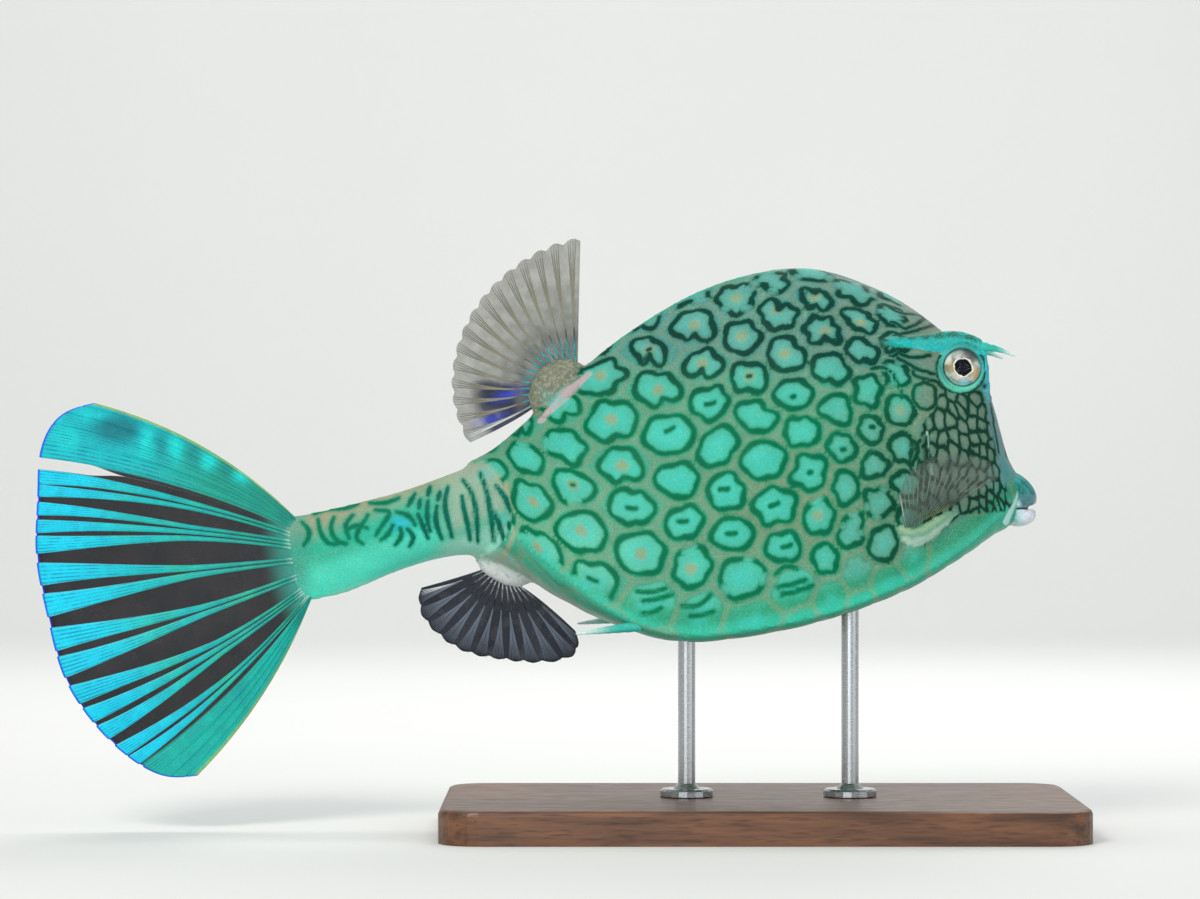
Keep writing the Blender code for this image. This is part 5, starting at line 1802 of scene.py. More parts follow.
@dataclass
class Grounds:
    """The skin's ground colours, which change slowly over the body.

    Attributes:
        points: The skin's points in the fish's frame.
        places: Their places on the chart.
        pictured: Their places in the picture.
        below: Which are on the belly.
        stalk: How far each belongs to the tail stalk.
        on_shell: How far each belongs to the shell.
        folds: How far each lies outside the dorsal fin's folds and the pectoral fins' roots.
        roots: How far each lies outside the roots of the dorsal and anal fins.
    """

    chart: ShellChart
    points: Points
    places: Points
    pictured: Points
    below: np.ndarray
    stalk: Points
    on_shell: Points
    folds: tuple = ()
    roots: Points | None = None

    @staticmethod
    def lay(colours: Points, *layers: tuple[Points, tuple[int, int, int]]) -> Points:
        """Lays colours over others one after the other, each by a share from 0 to 1.

        Args:
            colours: The colours underneath.
            *layers: The share and the colour of each layer.

        Returns:
            The colours on top.
        """
        for share, colour in layers:
            share = np.clip(share, 0, 1)[:, None]
            colours = colours * (1 - share) + np.array(Colour(*colour).linear) * share
        return colours

    def plain(self, *colour: int) -> Points:
        """One colour all over."""
        return np.tile(np.array(Colour(*colour).linear), (len(self.points), 1))

    def patch(self, name: str) -> Points:
        """One of the soft round patches, 1 in its middle.

        Args:
            name: Its name in PATCHES.

        Returns:
            The share at each point.
        """
        x, y, wide, high = PATCHES[name]
        px, py = self.pictured.T
        return np.exp(-(((px - x) / wide) ** 2 + ((py - y) / high) ** 2))

    def by_x(self, name: str) -> Points:
        """How far a colour has come in across the picture."""
        return ease(self.pictured[:, 0], *BY_X[name])

    def by_y(self, name: str) -> Points:
        """How far a colour has come in down the picture."""
        return ease(self.pictured[:, 1], *BY_Y[name])

    def shared(self, colours: Points) -> Points:
        """What lies over insides and bands alike: keel, ridge, belly, brow, lids, fin roots and stalk, with
        painted highlights on the lids' lower halves and the pectoral roots' lower parts.

        Args:
            colours: The colours underneath.

        Returns:
            The colours on top.
        """
        p, q = self.places.T
        x, y, z = self.points.T
        px, py = self.pictured.T
        above_keel = self.chart.keel(p) - q
        below_ridge = q - self.chart.ridge(p)
        flank = ~self.below
        head = ease(x, 36, 40) * (np.abs(y) > 9)
        (lid_x, lid_y), radius = LID_SEEN
        from_lid = np.hypot(px - lid_x, py - lid_y)
        lid = ease(from_lid, radius + 1.5, radius - 1.5) * head
        off = ease(self.on_shell, 0.6, 0.3) * (1 - self.stalk)
        brow = off * head * ease(z, 15, 20)
        over = z - np.interp(x, *BROW_LEVEL)
        post = off * head * ease(z, 24.0, 22.0) * ease(z, 6.0, 13.0) * self.by_x("post")
        mottled = 0.35 + 0.65 * ease(np.sin(0.9 * x + 0.5 * z) * np.sin(0.7 * x - 1.3 * y), -0.4, 0.4)
        pectoral = ease(self.folds[1], 0.8, 0.3)
        above = z - np.interp(x, *PECTORAL_LEVEL)
        colours = self.lay(
            colours,
            (0.9 * ease(above_keel, 11.0, 5.0) * ease(p, 24, 50) * flank, (44, 152, 114)),
            (0.8 * ease(above_keel, 5.0, 1.2) * flank, (58, 196, 166)),
            (0.7 * ease(below_ridge, 3.6, 2.2) * ease(p, 45, 60) * ease(p, 125, 112), (30, 160, 130)),
            (0.95 * self.below, (46, 170, 140)),
            (0.85 * self.below * ease(-above_keel, 5, 14), (164, 194, 178)),
            (0.95 * np.maximum(brow, lid), (30, 184, 180)),
            (0.6 * brow * ease(over, -0.6, -2.0) * ease(x, 40, 46), (20, 214, 214)),
            (0.7 * lid * ease(from_lid, radius - 7, radius - 3), (98, 214, 200)),
            # Painted highlight on the lid's lower half
            (0.7 * lid * self.by_y("lid"), (112, 226, 190)),
            (0.6 * lid * self.by_x("lid"), (86, 170, 152)),
            (0.7 * post, (54, 190, 206)),
            (0.85 * brow * mottled * ease(over, 0.2, 1.2) * ease(x, 43, 50), (14, 96, 68)),
            (0.95 * ease(self.roots, 1.1, 0.5) * ease(z, 0, 9), (128, 128, 108)),
            (0.95 * ease(self.roots, 1.1, 0.6) * ease(z, 0, -9) * self.by_y("anal_root"), (214, 222, 222)),
            (0.95 * ease(self.folds[0], 0.7, 0.2), (190, 170, 172)),
            (0.9 * pectoral, (116, 166, 140)),
            # Painted highlight on the pectoral root's lower part
            (0.75 * pectoral * ease(above, -0.2, -1.2), (188, 216, 198)),
            (0.6 * pectoral * ease(above, 0.4, 1.2), (170, 196, 150)),
        )
        return self.stalk_ground(colours)

    def stalk_ground(self, colours: Points) -> Points:
        """The tail stalk: pinkish tan above, turquoise below, and a painted highlight along its lower edge.

        Args:
            colours: The colours underneath.

        Returns:
            The colours on top.
        """
        px, py = self.pictured.T
        (edge_x, edge_y), slope = STALK_TOP
        down = (py - (edge_y + slope * (px - edge_x))) / STALK_HEIGHT
        stalk = self.stalk
        front = self.by_x("stalk_front")
        (bay_x, bay_y), radius = BAY_SEEN
        rim = ease(np.abs(np.hypot(px - bay_x, py - bay_y) - radius), 3.4, 1.2) * self.by_x("bay")
        return self.lay(
            colours,
            (stalk, (52, 178, 148)),
            (stalk * 0.85 * ease(down, 0.42, 0.05), (164, 150, 120)),
            (stalk * 0.8 * front * ease(down, 0.95, 0.7), (158, 176, 156)),
            (stalk * 0.9 * ease(down, 0.5, 0.75) * (1 - front), (72, 216, 190)),
            # Painted highlight: pale along the stalk's lower edge
            (stalk * 0.8 * front * ease(down, 0.82, 1.0), (160, 214, 196)),
            (stalk * 0.6 * ease(down, 0.98, 1.06), (150, 226, 206)),
            (stalk * 0.8 * self.patch("stalk_blue"), (40, 190, 216)),
            (0.7 * rim * ease(self.roots, 0, 0.5), (178, 172, 140)),
            (stalk * self.by_x("stalk_end") * 0.7, (70, 158, 140)),
        )

    def inner(self) -> Points:
        """The colour inside the rings.

        Returns:
            One colour for each point.
        """
        colours = self.plain(74, 180, 154)
        colours = self.lay(
            colours,
            (0.9 * self.patch("flank"), (66, 190, 166)),
            (0.9 * self.by_y("back"), (92, 156, 146)),
            (0.8 * self.by_x("shoulder") * self.by_y("shoulder"), (94, 156, 136)),
            (0.6 * self.patch("hind_belly"), (112, 198, 166)),
        )
        return self.shared(self.cheek(colours))

    def band(self) -> Points:
        """The colour between the rings.

        Returns:
            One colour for each point.
        """
        colours = self.plain(66, 156, 128)
        colours = self.lay(
            colours,
            (0.9 * self.patch("chest"), (106, 138, 106)),
            (0.6 * self.patch("middle"), (66, 160, 130)),
            (0.9 * self.by_y("back"), (72, 140, 136)),
            (0.8 * self.by_y("back") * self.by_x("fore_back"), (88, 132, 126)),
            (0.7 * self.by_x("shoulder_band") * self.by_y("shoulder"), (82, 130, 110)),
            (0.8 * self.patch("hind_keel"), (94, 176, 142)),
        )
        return self.shared(self.cheek(colours))

    def cheek(self, colours: Points) -> Points:
        """The head in front of the rings: tan-grey, greener at the chin, bluer at the snout and face.

        Args:
            colours: The colours underneath.

        Returns:
            The colours on top.
        """
        px, py = self.pictured.T
        net = ease(self.places[:, 0], 136, 146)
        return self.lay(
            colours,
            (net * 0.9, (112, 132, 116)),
            (net * 0.9 * ease(py + 0.25 * (px - CHEEK_TURN), 505, 530), (62, 142, 120)),
            (net * 0.9 * ease(py + 0.5 * (px - CHEEK_TURN), 550, 566), (40, 168, 136)),
            (0.8 * ease(px - 0.2 * (py - FACE_TURN), 980, 988), (92, 146, 162)),
            (0.8 * self.patch("snout"), (48, 160, 158)),
        )

    def line(self) -> Points:
        """The colour of the dark lines.

        Returns:
            One colour for each point.
        """
        colours = self.plain(4, 124, 84)
        return self.lay(
            colours,
            (0.85 * self.patch("hind_flank"), (8, 128, 86)),
            (0.9 * self.by_y("back_line"), (12, 56, 52)),
            (0.8 * self.by_x("shoulder_line") * self.by_y("shoulder_line"), (18, 66, 48)),
            (0.85 * self.by_x("face"), (26, 54, 44)),
            (self.stalk * 0.8, (10, 108, 92)),
            (self.stalk * 0.8 * self.by_x("stalk_line"), (8, 132, 96)),
        )


@dataclass
class Eye:
    """One eye: a ball with a sunk iris and pupil, under a clear dome.

    Attributes:
        side: Which eye.
        pupil: The pupil's radius.
        iris: The iris's radius.
        dome: How far the clear dome stands over the ball.
    """

    side: Side
    pupil: float = 2.3
    iris: float = 4.3
    dome: float = 0.5

    def turned(self, profile: Sequence[tuple[float, float]], name: str, angular: float) -> bpy.types.Object:
        """Turns a profile round the way that the eye looks.

        Args:
            profile: Radius and height of each point, from the front of the eye to its back.
            name: The object's name.
            angular: How far the inner points stray from a circle.

        Returns:
            The closed form.
        """
        around = 64
        turn, middle = eye_turn(self.side), Vector(eye_middle(self.side))
        points, faces = [turn @ Vector((0, 0, profile[0][1])) + middle], []
        for radius, height in profile[1:-1]:
            for a in np.linspace(0, 2 * math.pi, around, endpoint=False):
                stray = 1 + angular * math.exp(-((radius - self.pupil) / 0.8) ** 2) * math.cos(3 * a + 0.6)
                reach = radius * stray
                points.append(turn @ Vector((reach * math.cos(a), reach * math.sin(a), height)) + middle)
        points.append(turn @ Vector((0, 0, profile[-1][1])) + middle)
        rings = len(profile) - 2
        faces = grid_faces(rings, around, True, 1)
        faces += [(0, 1 + (c + 1) % around, 1 + c) for c in range(around)]
        last, tip = 1 + (rings - 1) * around, len(points) - 1
        faces += [(tip, last + c, last + (c + 1) % around) for c in range(around)]
        return mesh_object(name, in_fish_frame(np.array(points)), faces)

    def ball(self) -> bpy.types.Object:
        """The eyeball, with its iris sunk into it.

        Returns:
            The ball, with the places that its material reads kept on it.
        """
        radius = EYE_RADIUS
        level = math.sqrt(radius**2 - self.iris**2)
        profile = [(0.0, level - 1.5), (self.pupil * 0.6, level - 1.4), (self.pupil * 0.96, level - 0.9),
                   (self.pupil, level - 0.55), (self.pupil + 0.35, level - 0.38),
                   (self.iris - 0.5, level - 0.35),
                   (self.iris - 0.12, level - 0.3), (self.iris + 0.1, level - 0.05)]
        start = math.asin((self.iris + 0.3) / radius)
        for angle in np.linspace(start, math.pi, 26):
            profile.append((radius * math.sin(angle), radius * math.cos(angle)))
        profile[-1] = (0.0, -radius)
        obj = self.turned(profile, "eye_ball_" + self.side.value, 0.09)
        look = look_way(self.side)
        off = back_to_fish(obj.data) - eye_middle(self.side)
        ahead = off @ look
        across = np.linalg.norm(off - ahead[:, None] * look, axis=1)
        store(obj, "reach", np.where(ahead > 0, across, 2 * radius - across))
        store(obj, "ahead", off[:, 0] - EYE_LOOK[0] * ahead)
        store(obj, "up", off[:, 2] - EYE_LOOK[2] * ahead)
        return obj

    def window(self) -> bpy.types.Object:
        """The clear dome over the iris.

        Returns:
            The dome.
        """
        outer = self.iris + 0.7
        base = math.sqrt(EYE_RADIUS**2 - outer**2)
        top = EYE_RADIUS + self.dome
        profile = [(outer * math.sin(a), base - 0.12 + (top - base) * math.cos(a))
                   for a in np.linspace(0, math.pi / 2, 12)]
        profile += [(outer * 0.98, base - 0.45), (0.0, base - 0.5)]
        return self.turned(profile, "eye_window_" + self.side.value, 0.0)

    @staticmethod
    def ball_material() -> bpy.types.Material:
        """Blue-black pupil, gold and cream iris, and a silver ball that darkens towards the brow in painted
        shade, with a painted blue-white highlight low down.

        Returns:
            The material.
        """
        made, nodes, shader = new_material("eye_colours")
        reach = nodes.attribute("reach")
        noise = nodes.noise(700.0, 3.0)
        rough = nodes.minus(nodes.noise(520.0, 1.0), 0.5)
        stray = nodes.plus(reach, nodes.times(rough, 1.5))
        colour = nodes.mix(nodes.ramp(nodes.noise(420.0, 3.0), 0.3, 0.7), Colour(120, 134, 130),
                           Colour(214, 216, 204))
        place = nodes.new("CombineXYZ", X=nodes.attribute("ahead"), Y=nodes.attribute("up")).outputs[0]
        # Patches: painted shade at the upper front under the brow, gold behind, cream-gold low in front, a
        # painted blue-white highlight at the bottom, and silver-white above behind
        patches = (((3.9, 3.9, 0.0), 4.4, 1.6, Colour(30, 42, 48)),
                   ((-3.6, 0.6, 0.0), 2.4, 0.9, Colour(168, 142, 92)),
                   ((3.4, -2.6, 0.0), 2.3, 0.9, Colour(196, 170, 120)),
                   ((-0.6, -4.9, 0.0), 2.2, 0.7, Colour(150, 214, 226)),
                   ((-4.2, 3.0, 0.0), 2.0, 0.6, Colour(236, 238, 226)))
        for middle, outer, inner, paint in patches:
            away = nodes.vector("DISTANCE", "Value", i0=place, i1=middle)
            away = nodes.plus(away, nodes.times(nodes.minus(noise, 0.5), 1.4))
            colour = nodes.mix(nodes.times(nodes.ramp(away, outer, inner), 0.78), colour, paint)
        colour = nodes.mix(nodes.ramp(stray, 3.0, 2.8), colour, Colour(244, 238, 216))
        colour = nodes.mix(nodes.ramp(stray, 2.6, 2.45), colour, Colour(3, 5, 26))
        colour = nodes.mix(nodes.ramp(reach, 5.2, 5.7), colour, Colour(20, 62, 68))
        roughness = nodes.ramp(noise, 0.3, 0.7, 0.35, 0.5)
        nodes.give(shader, Base_Color=colour, Roughness=roughness, Specular_IOR_Level=0.15)
        return made

    @staticmethod
    def window_material() -> bpy.types.Material:
        """A clear wet surface that only mirrors light.

        Returns:
            The material.
        """
        made, nodes, shader = new_material("eye_clear")
        made.node_tree.nodes.remove(shader)
        see_through, gloss = nodes.new("BsdfTransparent"), nodes.new("BsdfGlossy", Roughness=0.05)
        share = nodes.times(nodes.new("Fresnel", IOR=1.4).outputs[0], 0.3, clamp=True)
        both = nodes.new("MixShader", i0=share, i1=see_through.outputs[0], i2=gloss.outputs[0])
        nodes.give(made.node_tree.nodes["Material Output"], Surface=both.outputs[0])
        return made

    def build(self, ball: bpy.types.Material, window: bpy.types.Material) -> None:
        """Makes and dresses the eye."""
        finish_piece(self.ball(), ball, "eye", "eye_" + self.side.value)
        finish_piece(self.window(), window, "eye")


@dataclass
class HornsAndSpines:
    """The horns over the eyes and the spines at the keels' hind ends.

    Attributes:
        horn_root: Where the left horn leaves the brow.
        horn_length: How far it stands out.
        horn_radius: Its radius there.
        horn_tip: Its radius at its tip.
        horn_way: The way it points.
        spine_root: Where the left keel's spine begins.
        spine_tip: Where it ends.
        spine_radii: Its radius at both.
    """

    horn_root: tuple[float, float, float] = (71.5, 17.9, 23.3)
    horn_length: float = 9.4
    horn_radius: float = 1.45
    horn_tip: float = 0.35
    horn_way: tuple[float, float, float] = (0.87, 0.14, -0.46)
    spine_root: tuple[float, float, float] = (-44.0, 34.6, -37.6)
    spine_tip: tuple[float, float, float] = (-63.2, 37.4, -36.2)
    spine_radii: tuple[float, float] = (1.7, 0.25)

    def horn(self, side: Side) -> bpy.types.Object:
        """A short tapered horn that curves up a little from the front of the brow.

        Args:
            side: The side.

        Returns:
            The horn.
        """
        end, way = on_side(self.horn_root, side), on_side(self.horn_way, side)
        way /= np.linalg.norm(way)
        shares = np.linspace(-0.25, 1, 34)
        path = end + shares[:, None] * way * self.horn_length
        path[:, 2] += 0.5 * np.sin(np.clip(shares, 0, 1) * math.pi)
        radii = self.horn_tip + (self.horn_radius - self.horn_tip) * (1 - np.clip(shares, 0, 1) ** 0.8)
        radii *= 1 + 0.05 * np.sin(shares * 26)
        radii[-1] *= 0.4
        return tube("horn_" + side.value + "_skin", path, radii, around=24)

    def spine(self, side: Side) -> bpy.types.Object:
        """The spine that carries the keel on behind the belly.

        Args:
            side: The side.

        Returns:
            The spine.
        """
        root, tip = on_side(self.spine_root, side), on_side(self.spine_tip, side)
        shares = np.linspace(0, 1, 36)
        radii = self.spine_radii[1] + (self.spine_radii[0] - self.spine_radii[1]) * (1 - shares) ** 0.8
        radii *= 1 + 0.04 * np.sin(shares * 40)
        radii[-1] *= 0.4
        return tube("pelvic_spine_" + side.value + "_skin", root + (tip - root) * shares[:, None], radii,
                    around=24)

    def material(self) -> bpy.types.Material:
        """Cyan, paler towards the tips, with fine rings of growth.

        Returns:
            The material.
        """

        def paint(nodes: Nodes) -> bpy.types.NodeSocket:
            """Lays the colours over each other.

            Args:
                nodes: The writer of the material's nodes.

            Returns:
                The colour.
            """
            tip = nodes.attribute("tip")
            rings = nodes.math("SINE", nodes.times(tip, 70.0))
            colour = nodes.mix(nodes.ramp(tip, 0.35, 0.95), Colour(40, 184, 166), Colour(206, 232, 226))
            return nodes.mix(nodes.times(nodes.ramp(rings, 0.3, 1.0), 0.12), colour, Colour(30, 140, 140))

        return Covering("horn_skin", scale=1600.0, amount=0.5, relief=0.06, coat=0.35).material(paint)

    def build(self) -> None:
        """Makes and dresses the horns and spines."""
        material = self.material()
        for side in Side:
            for obj, node, root in (
                (self.horn(side), "horn_", on_side(self.horn_root, side)),
                (self.spine(side), "pelvic_spine_", on_side(self.spine_root, side)),
            ):
                points = back_to_fish(obj.data)
                away = np.linalg.norm(points - root, axis=1)
                store(obj, "tip", away / away.max())
                finish_piece(obj, material, "horn", node + side.value)


@dataclass
class Mouth:
    """Two thick lips at the end of the snout, with the line of the mouth between them.

    Attributes:
        forms: Middle, radii and turn downwards of the forms that the lips grow together from.
        crease: The height of the mouth's line in its middle.
        sag: How fast it rises to both sides.
    """

    forms: tuple = (((74.6, 0, -20.0), (7.0, 7.2, 3.7), 51.0), ((74.1, 0, -28.6), (4.5, 6.6, 2.9), 0.0),
                    ((72.6, 0, -24.8), (4.6, 7.3, 5.8), 0.0))
    crease: float = -26.6
    sag: float = 0.014

    def build(self) -> None:
        """Makes and dresses the lips."""
        forms = [ellipsoid("lip_form", middle, radii, Matrix.Rotation(math.radians(down), 4, "Y"), 32)
                 for middle, radii, down in self.forms]
        lips = fuse("lips", forms, 0.34)
        soften(lips, 6)
        points = back_to_fish(lips.data)
        line = self.crease + self.sag * points[:, 1] ** 2
        away = np.abs(points[:, 2] - line)
        front = ease(points[:, 0], 71.5, 73.5)
        folds = 0.10 * np.sin(points[:, 1] * 3.4 + 0.8 * points[:, 2]) * ease(away, 0.5, 2.0)
        groove = 0.9 * front * np.exp(-((away / 0.45) ** 2))
        rise = folds - groove + 0.25 * front * np.exp(-(((away - 1.1) / 0.6) ** 2))
        points += normals_of(lips) * rise[:, None]
        set_points(lips.data, points)
        store(lips, "above", points[:, 2] - line)
        store(lips, "ahead", points[:, 0])
        finish_piece(lips, self.material(), "lip", "mouth")

    def material(self) -> bpy.types.Material:
        """Grey-cyan above, white and fleshy below, dark in the line of the mouth, with a painted highlight on
        the lips' hind part.

        Returns:
            The material.
        """

        def paint(nodes: Nodes) -> bpy.types.NodeSocket:
            """Lays the colours over each other.

            Args:
                nodes: The writer of the material's nodes.

            Returns:
                The colour.
            """
            above, ahead = nodes.attribute("above"), nodes.attribute("ahead")
            veins = nodes.ramp(nodes.noise(420.0, 3.0), 0.42, 0.58)
            upper = nodes.mix(nodes.ramp(above, 1.5, 7.0), Colour(90, 140, 148), Colour(44, 152, 148))
            upper = nodes.mix(nodes.times(veins, nodes.ramp(above, 1.5, 5.0, 0.25, 0.75)), upper,
                              Colour(14, 92, 84))
            upper = nodes.mix(nodes.ramp(nodes.plus(ahead, nodes.times(above, -0.25)), 77.6, 79.2), upper,
                              Colour(150, 164, 186))
            lower = nodes.mix(nodes.times(veins, 0.4), Colour(224, 228, 236), Colour(168, 190, 202))
            colour = nodes.mix(nodes.ramp(above, -0.2, 0.8), lower, upper)
            near = nodes.unsigned(above)
            # Painted highlight on the lips' hind part, carrying on the face's highlight down to the mouth
            streak = nodes.times(nodes.ramp(ahead, 75.0, 73.2, 0.0, 0.8), nodes.ramp(above, 4.0, 1.0))
            colour = nodes.mix(streak, colour, Colour(190, 232, 232))
            return nodes.mix(nodes.ramp(near, 0.42, 0.12), colour, Colour(30, 44, 46))

        return Covering("lip_skin", scale=1300.0, amount=0.5, relief=0.07, coat=0.15,
                        shine=0.2).material(paint)


@dataclass
class Fin:
    """A fin as a fan of rays in a thin web.

    Attributes:
        name: The fin's node.
        root: Its root in side view, from the first ray to the last.
        margin: Its margin in the same way.
        ways: The first and last ray's way at the root, in degrees up from forwards.
        bow: How far the rays keep to that way.
        crowding: How far the rays are drawn towards the lower end of the root.
        rays: Each ray as the places along the margin where its branches end.
        wave: How far the fin sways out of its plane.
        web: The web's thickness at the root and margin.
        notch: How far the web stands back between the rays' tips.
        fork: How far out a ray first divides.
        sunk: How far the web and rays run on into the flesh.
        side: The side of a paired fin.
        pectoral: A paired fin's distance from the middle plane at its root, how much further out its
            margin stands, and how much of that its first ray folds back.
    """

    name: str
    root: tuple
    margin: tuple
    ways: tuple[float, float]
    bow: float
    rays: tuple
    wave: float = 0.7
    crowding: float = 0.0
    web: tuple[float, float] = (0.5, 0.16)
    notch: float = 0.03
    fork: float = 0.42
    sunk: float = 0.0
    side: Side | None = None
    pectoral: tuple[float, float, float] = (31.2, 5.0, 6.0)

    def line(self, outline: Sequence[Sequence[float]], share: Points) -> Points:
        """Points on the smooth line through an outline's points, by share of its length.

        Args:
            outline: The outline's points.
            share: The shares to read.

        Returns:
            The points.
        """
        outline = np.array(outline, float)
        knots = lengths_along(outline)
        return natural_spline(knots / knots[-1], outline, np.asarray(share, float))

    def depth(self, across: Points, out: Points) -> Points:
        """How far the fin's middle surface lies from the fish's middle plane.

        Args:
            across: 0 at the first ray and 1 at the last.
            out: 0 at the root and 1 at the margin.

        Returns:
            The distance to the fish's left.
        """
        sway = self.wave * out**2 * np.sin(5 * math.pi * across + 1)
        if self.side is None:
            return sway
        base, lift, fold = self.pectoral
        back = 4.4 * (1 - across) ** 2
        return self.side.sign * (base - back + lift * out - fold * (1 - across) * out) + sway

    def point(self, across: Points, out: Points, off: Points | float = 0.0) -> Points:
        """Finds points of the fin.

        Args:
            across: 0 at the first ray and 1 at the last.
            out: 0 at the root and 1 at the margin.
            off: How far to the fish's left of the middle surface.

        Returns:
            The points, in the fish's frame.
        """
        across, out = np.broadcast_arrays(np.asarray(across, float), np.asarray(out, float))
        shape = across.shape
        across, out = across.ravel(), out.ravel()
        at_root = across + self.crowding * np.sin(math.pi * across**2)
        start, end = self.line(self.root, np.clip(at_root, 0, 1)), self.line(self.margin, across)
        way = np.radians(self.ways[0] + (self.ways[1] - self.ways[0]) * across)
        reach = np.linalg.norm(end - start, axis=1) * self.bow
        middle = start + reach[:, None] * np.column_stack([np.cos(way), np.sin(way)])
        share = out[:, None]
        flat = start * (1 - share) ** 2 + middle * 2 * share * (1 - share) + end * share**2
        off = np.broadcast_to(off, shape).ravel()
        points = np.column_stack([flat[:, 0], self.depth(across, out) + off, flat[:, 1]])
        return swept(points).reshape(*shape, 3)

    def width(self, out: float) -> float:
        """The fin's width at one distance from the root."""
        return float(lengths_along(self.point(np.linspace(0, 1, 60), out))[-1])

    def tips(self) -> Points:
        """Where the branches end along the margin."""
        return np.array([tip for ray in self.rays for tip in ray])

    def closed_sheet(self, name: str, across: Points, out: Points, thick: Points) -> bpy.types.Object:
        """Makes a closed sheet between a front and a back face.

        Args:
            name: The object's name.
            across: A grid of places across the fin.
            out: The same grid's places outwards.
            thick: The thickness there.

        Returns:
            The sheet, with the places kept on it as across and out.
        """
        rows, columns = across.shape
        front, back = self.point(across, out, -thick / 2), self.point(across, out, thick / 2)
        total = rows * columns
        faces = grid_faces(rows, columns, False)
        faces += [tuple(total + i for i in face[::-1]) for face in faces]
        rim = list(range(columns)) + [r * columns + columns - 1 for r in range(1, rows)]
        rim += [(rows - 1) * columns + c for c in range(columns - 2, -1, -1)]
        rim += [r * columns for r in range(rows - 2, 0, -1)]
        faces += [(a, b, b + total, a + total) for a, b in zip(rim, rim[1:] + rim[:1])]
        points = np.vstack([front.reshape(-1, 3), back.reshape(-1, 3)])
        obj = mesh_object(name, in_fish_frame(points), faces)
        store(obj, "across", np.tile(across.ravel(), 2))
        store(obj, "out", np.tile(out.ravel(), 2))
        return obj

    def build_web(self) -> bpy.types.Object:
        """The thin web between the rays, scalloped along its margin.

        Returns:
            The web.
        """
        tips = self.tips()
        across = np.linspace(0, 1, 240)
        apart = np.abs(across[:, None] - tips).min(axis=1) / (0.5 / len(tips))
        back = self.notch * np.clip(apart, 0, 1) ** 1.5
        even = np.linspace(-self.sunk, 1, 40)[:, None]
        out = even * (1 - back * even**6)
        grid = np.broadcast_to(across, out.shape)
        thick = self.web[0] + (self.web[1] - self.web[0]) * out
        return self.closed_sheet(self.name + "_web", grid, out, thick)

    def branches(self, ray: Sequence[float], splits: int, spread: float) -> list[tuple[Points, Points]]:
        """Lists a ray's fine branches.

        Args:
            ray: Where the ray's main branches end along the margin.
            splits: How many times each divides again.
            spread: The width that they fan out over, as a share of the margin.

        Returns:
            For each branch, its places across and outwards.
        """
        out = np.linspace(-self.sunk, 1.0, 34)
        found = []
        for tip in ray:
            for leaf in range(2**splits):
                across = np.full_like(out, sum(ray) / len(ray))
                across += (tip - across) * ease(out, self.fork * 0.6, 1.0)
                for level in range(splits):
                    way = 1 if leaf >> level & 1 else -1
                    start = self.fork + 0.5 * (1 - self.fork) * level / max(splits, 1)
                    grown = np.clip((out - start) / (1 - start), 0, 1) ** 0.9
                    across += way * spread / 2 ** (level + 2) * grown
                found.append((across, out - 0.012 * (leaf % 3) * np.clip(out, 0, 1)))
        return found


def ray_tree() -> bpy.types.NodeTree:
    """Makes the Geometry Nodes tree that turns lines into thin round rays.

    Returns:
        A tree with inputs Scale, Sides and Material; the lines carry their radius in metres as thick.
    """
    tree = bpy.data.node_groups.new("fin_rays", "GeometryNodeTree")
    for way, name, kind, value in (
        ("INPUT", "Geometry", "Geometry", None), ("INPUT", "Scale", "Float", 1.0),
        ("INPUT", "Sides", "Int", 6),
        ("INPUT", "Material", "Material", None), ("OUTPUT", "Geometry", "Geometry", None),
    ):
        socket = tree.interface.new_socket(name, in_out=way, socket_type="NodeSocket" + kind)
        if value is not None:
            socket.default_value = value
    given, result, thick, times, lines, radius, ring, sweep, smooth, real, cover = (
        tree.nodes.new(kind) for kind in (
            "NodeGroupInput", "NodeGroupOutput", "GeometryNodeInputNamedAttribute", "ShaderNodeMath",
            "GeometryNodeMeshToCurve", "GeometryNodeSetCurveRadius", "GeometryNodeCurvePrimitiveCircle",
            "GeometryNodeCurveToMesh", "GeometryNodeSetShadeSmooth", "GeometryNodeRealizeInstances",
            "GeometryNodeSetMaterial",
        )
    )
    thick.data_type = "FLOAT"
    thick.inputs["Name"].default_value = "thick"
    times.operation = "MULTIPLY"
    ring.inputs["Radius"].default_value = 1.0
    sweep.inputs["Fill Caps"].default_value = True
    for node, output, other, name in (
        (given, "Geometry", lines, "Mesh"), (thick, "Attribute", times, 0), (given, "Scale", times, 1),
        (lines, "Curve", radius, "Curve"), (times, 0, radius, "Radius"), (given, "Sides", ring, "Resolution"),
        (radius, "Curve", sweep, "Curve"), (ring, "Curve", sweep, "Profile Curve"),
        (times, 0, sweep, "Scale"),
        (sweep, "Mesh", smooth, "Geometry"), (smooth, "Geometry", real, "Geometry"),
        (real, "Geometry", cover, "Geometry"), (given, "Material", cover, "Material"),
        (cover, "Geometry", result, "Geometry"),
    ):
        if isinstance(name, int) or name in other.inputs:  # only some versions' sweep has a Scale
            tree.links.new(node.outputs[output], other.inputs[name])
    return tree


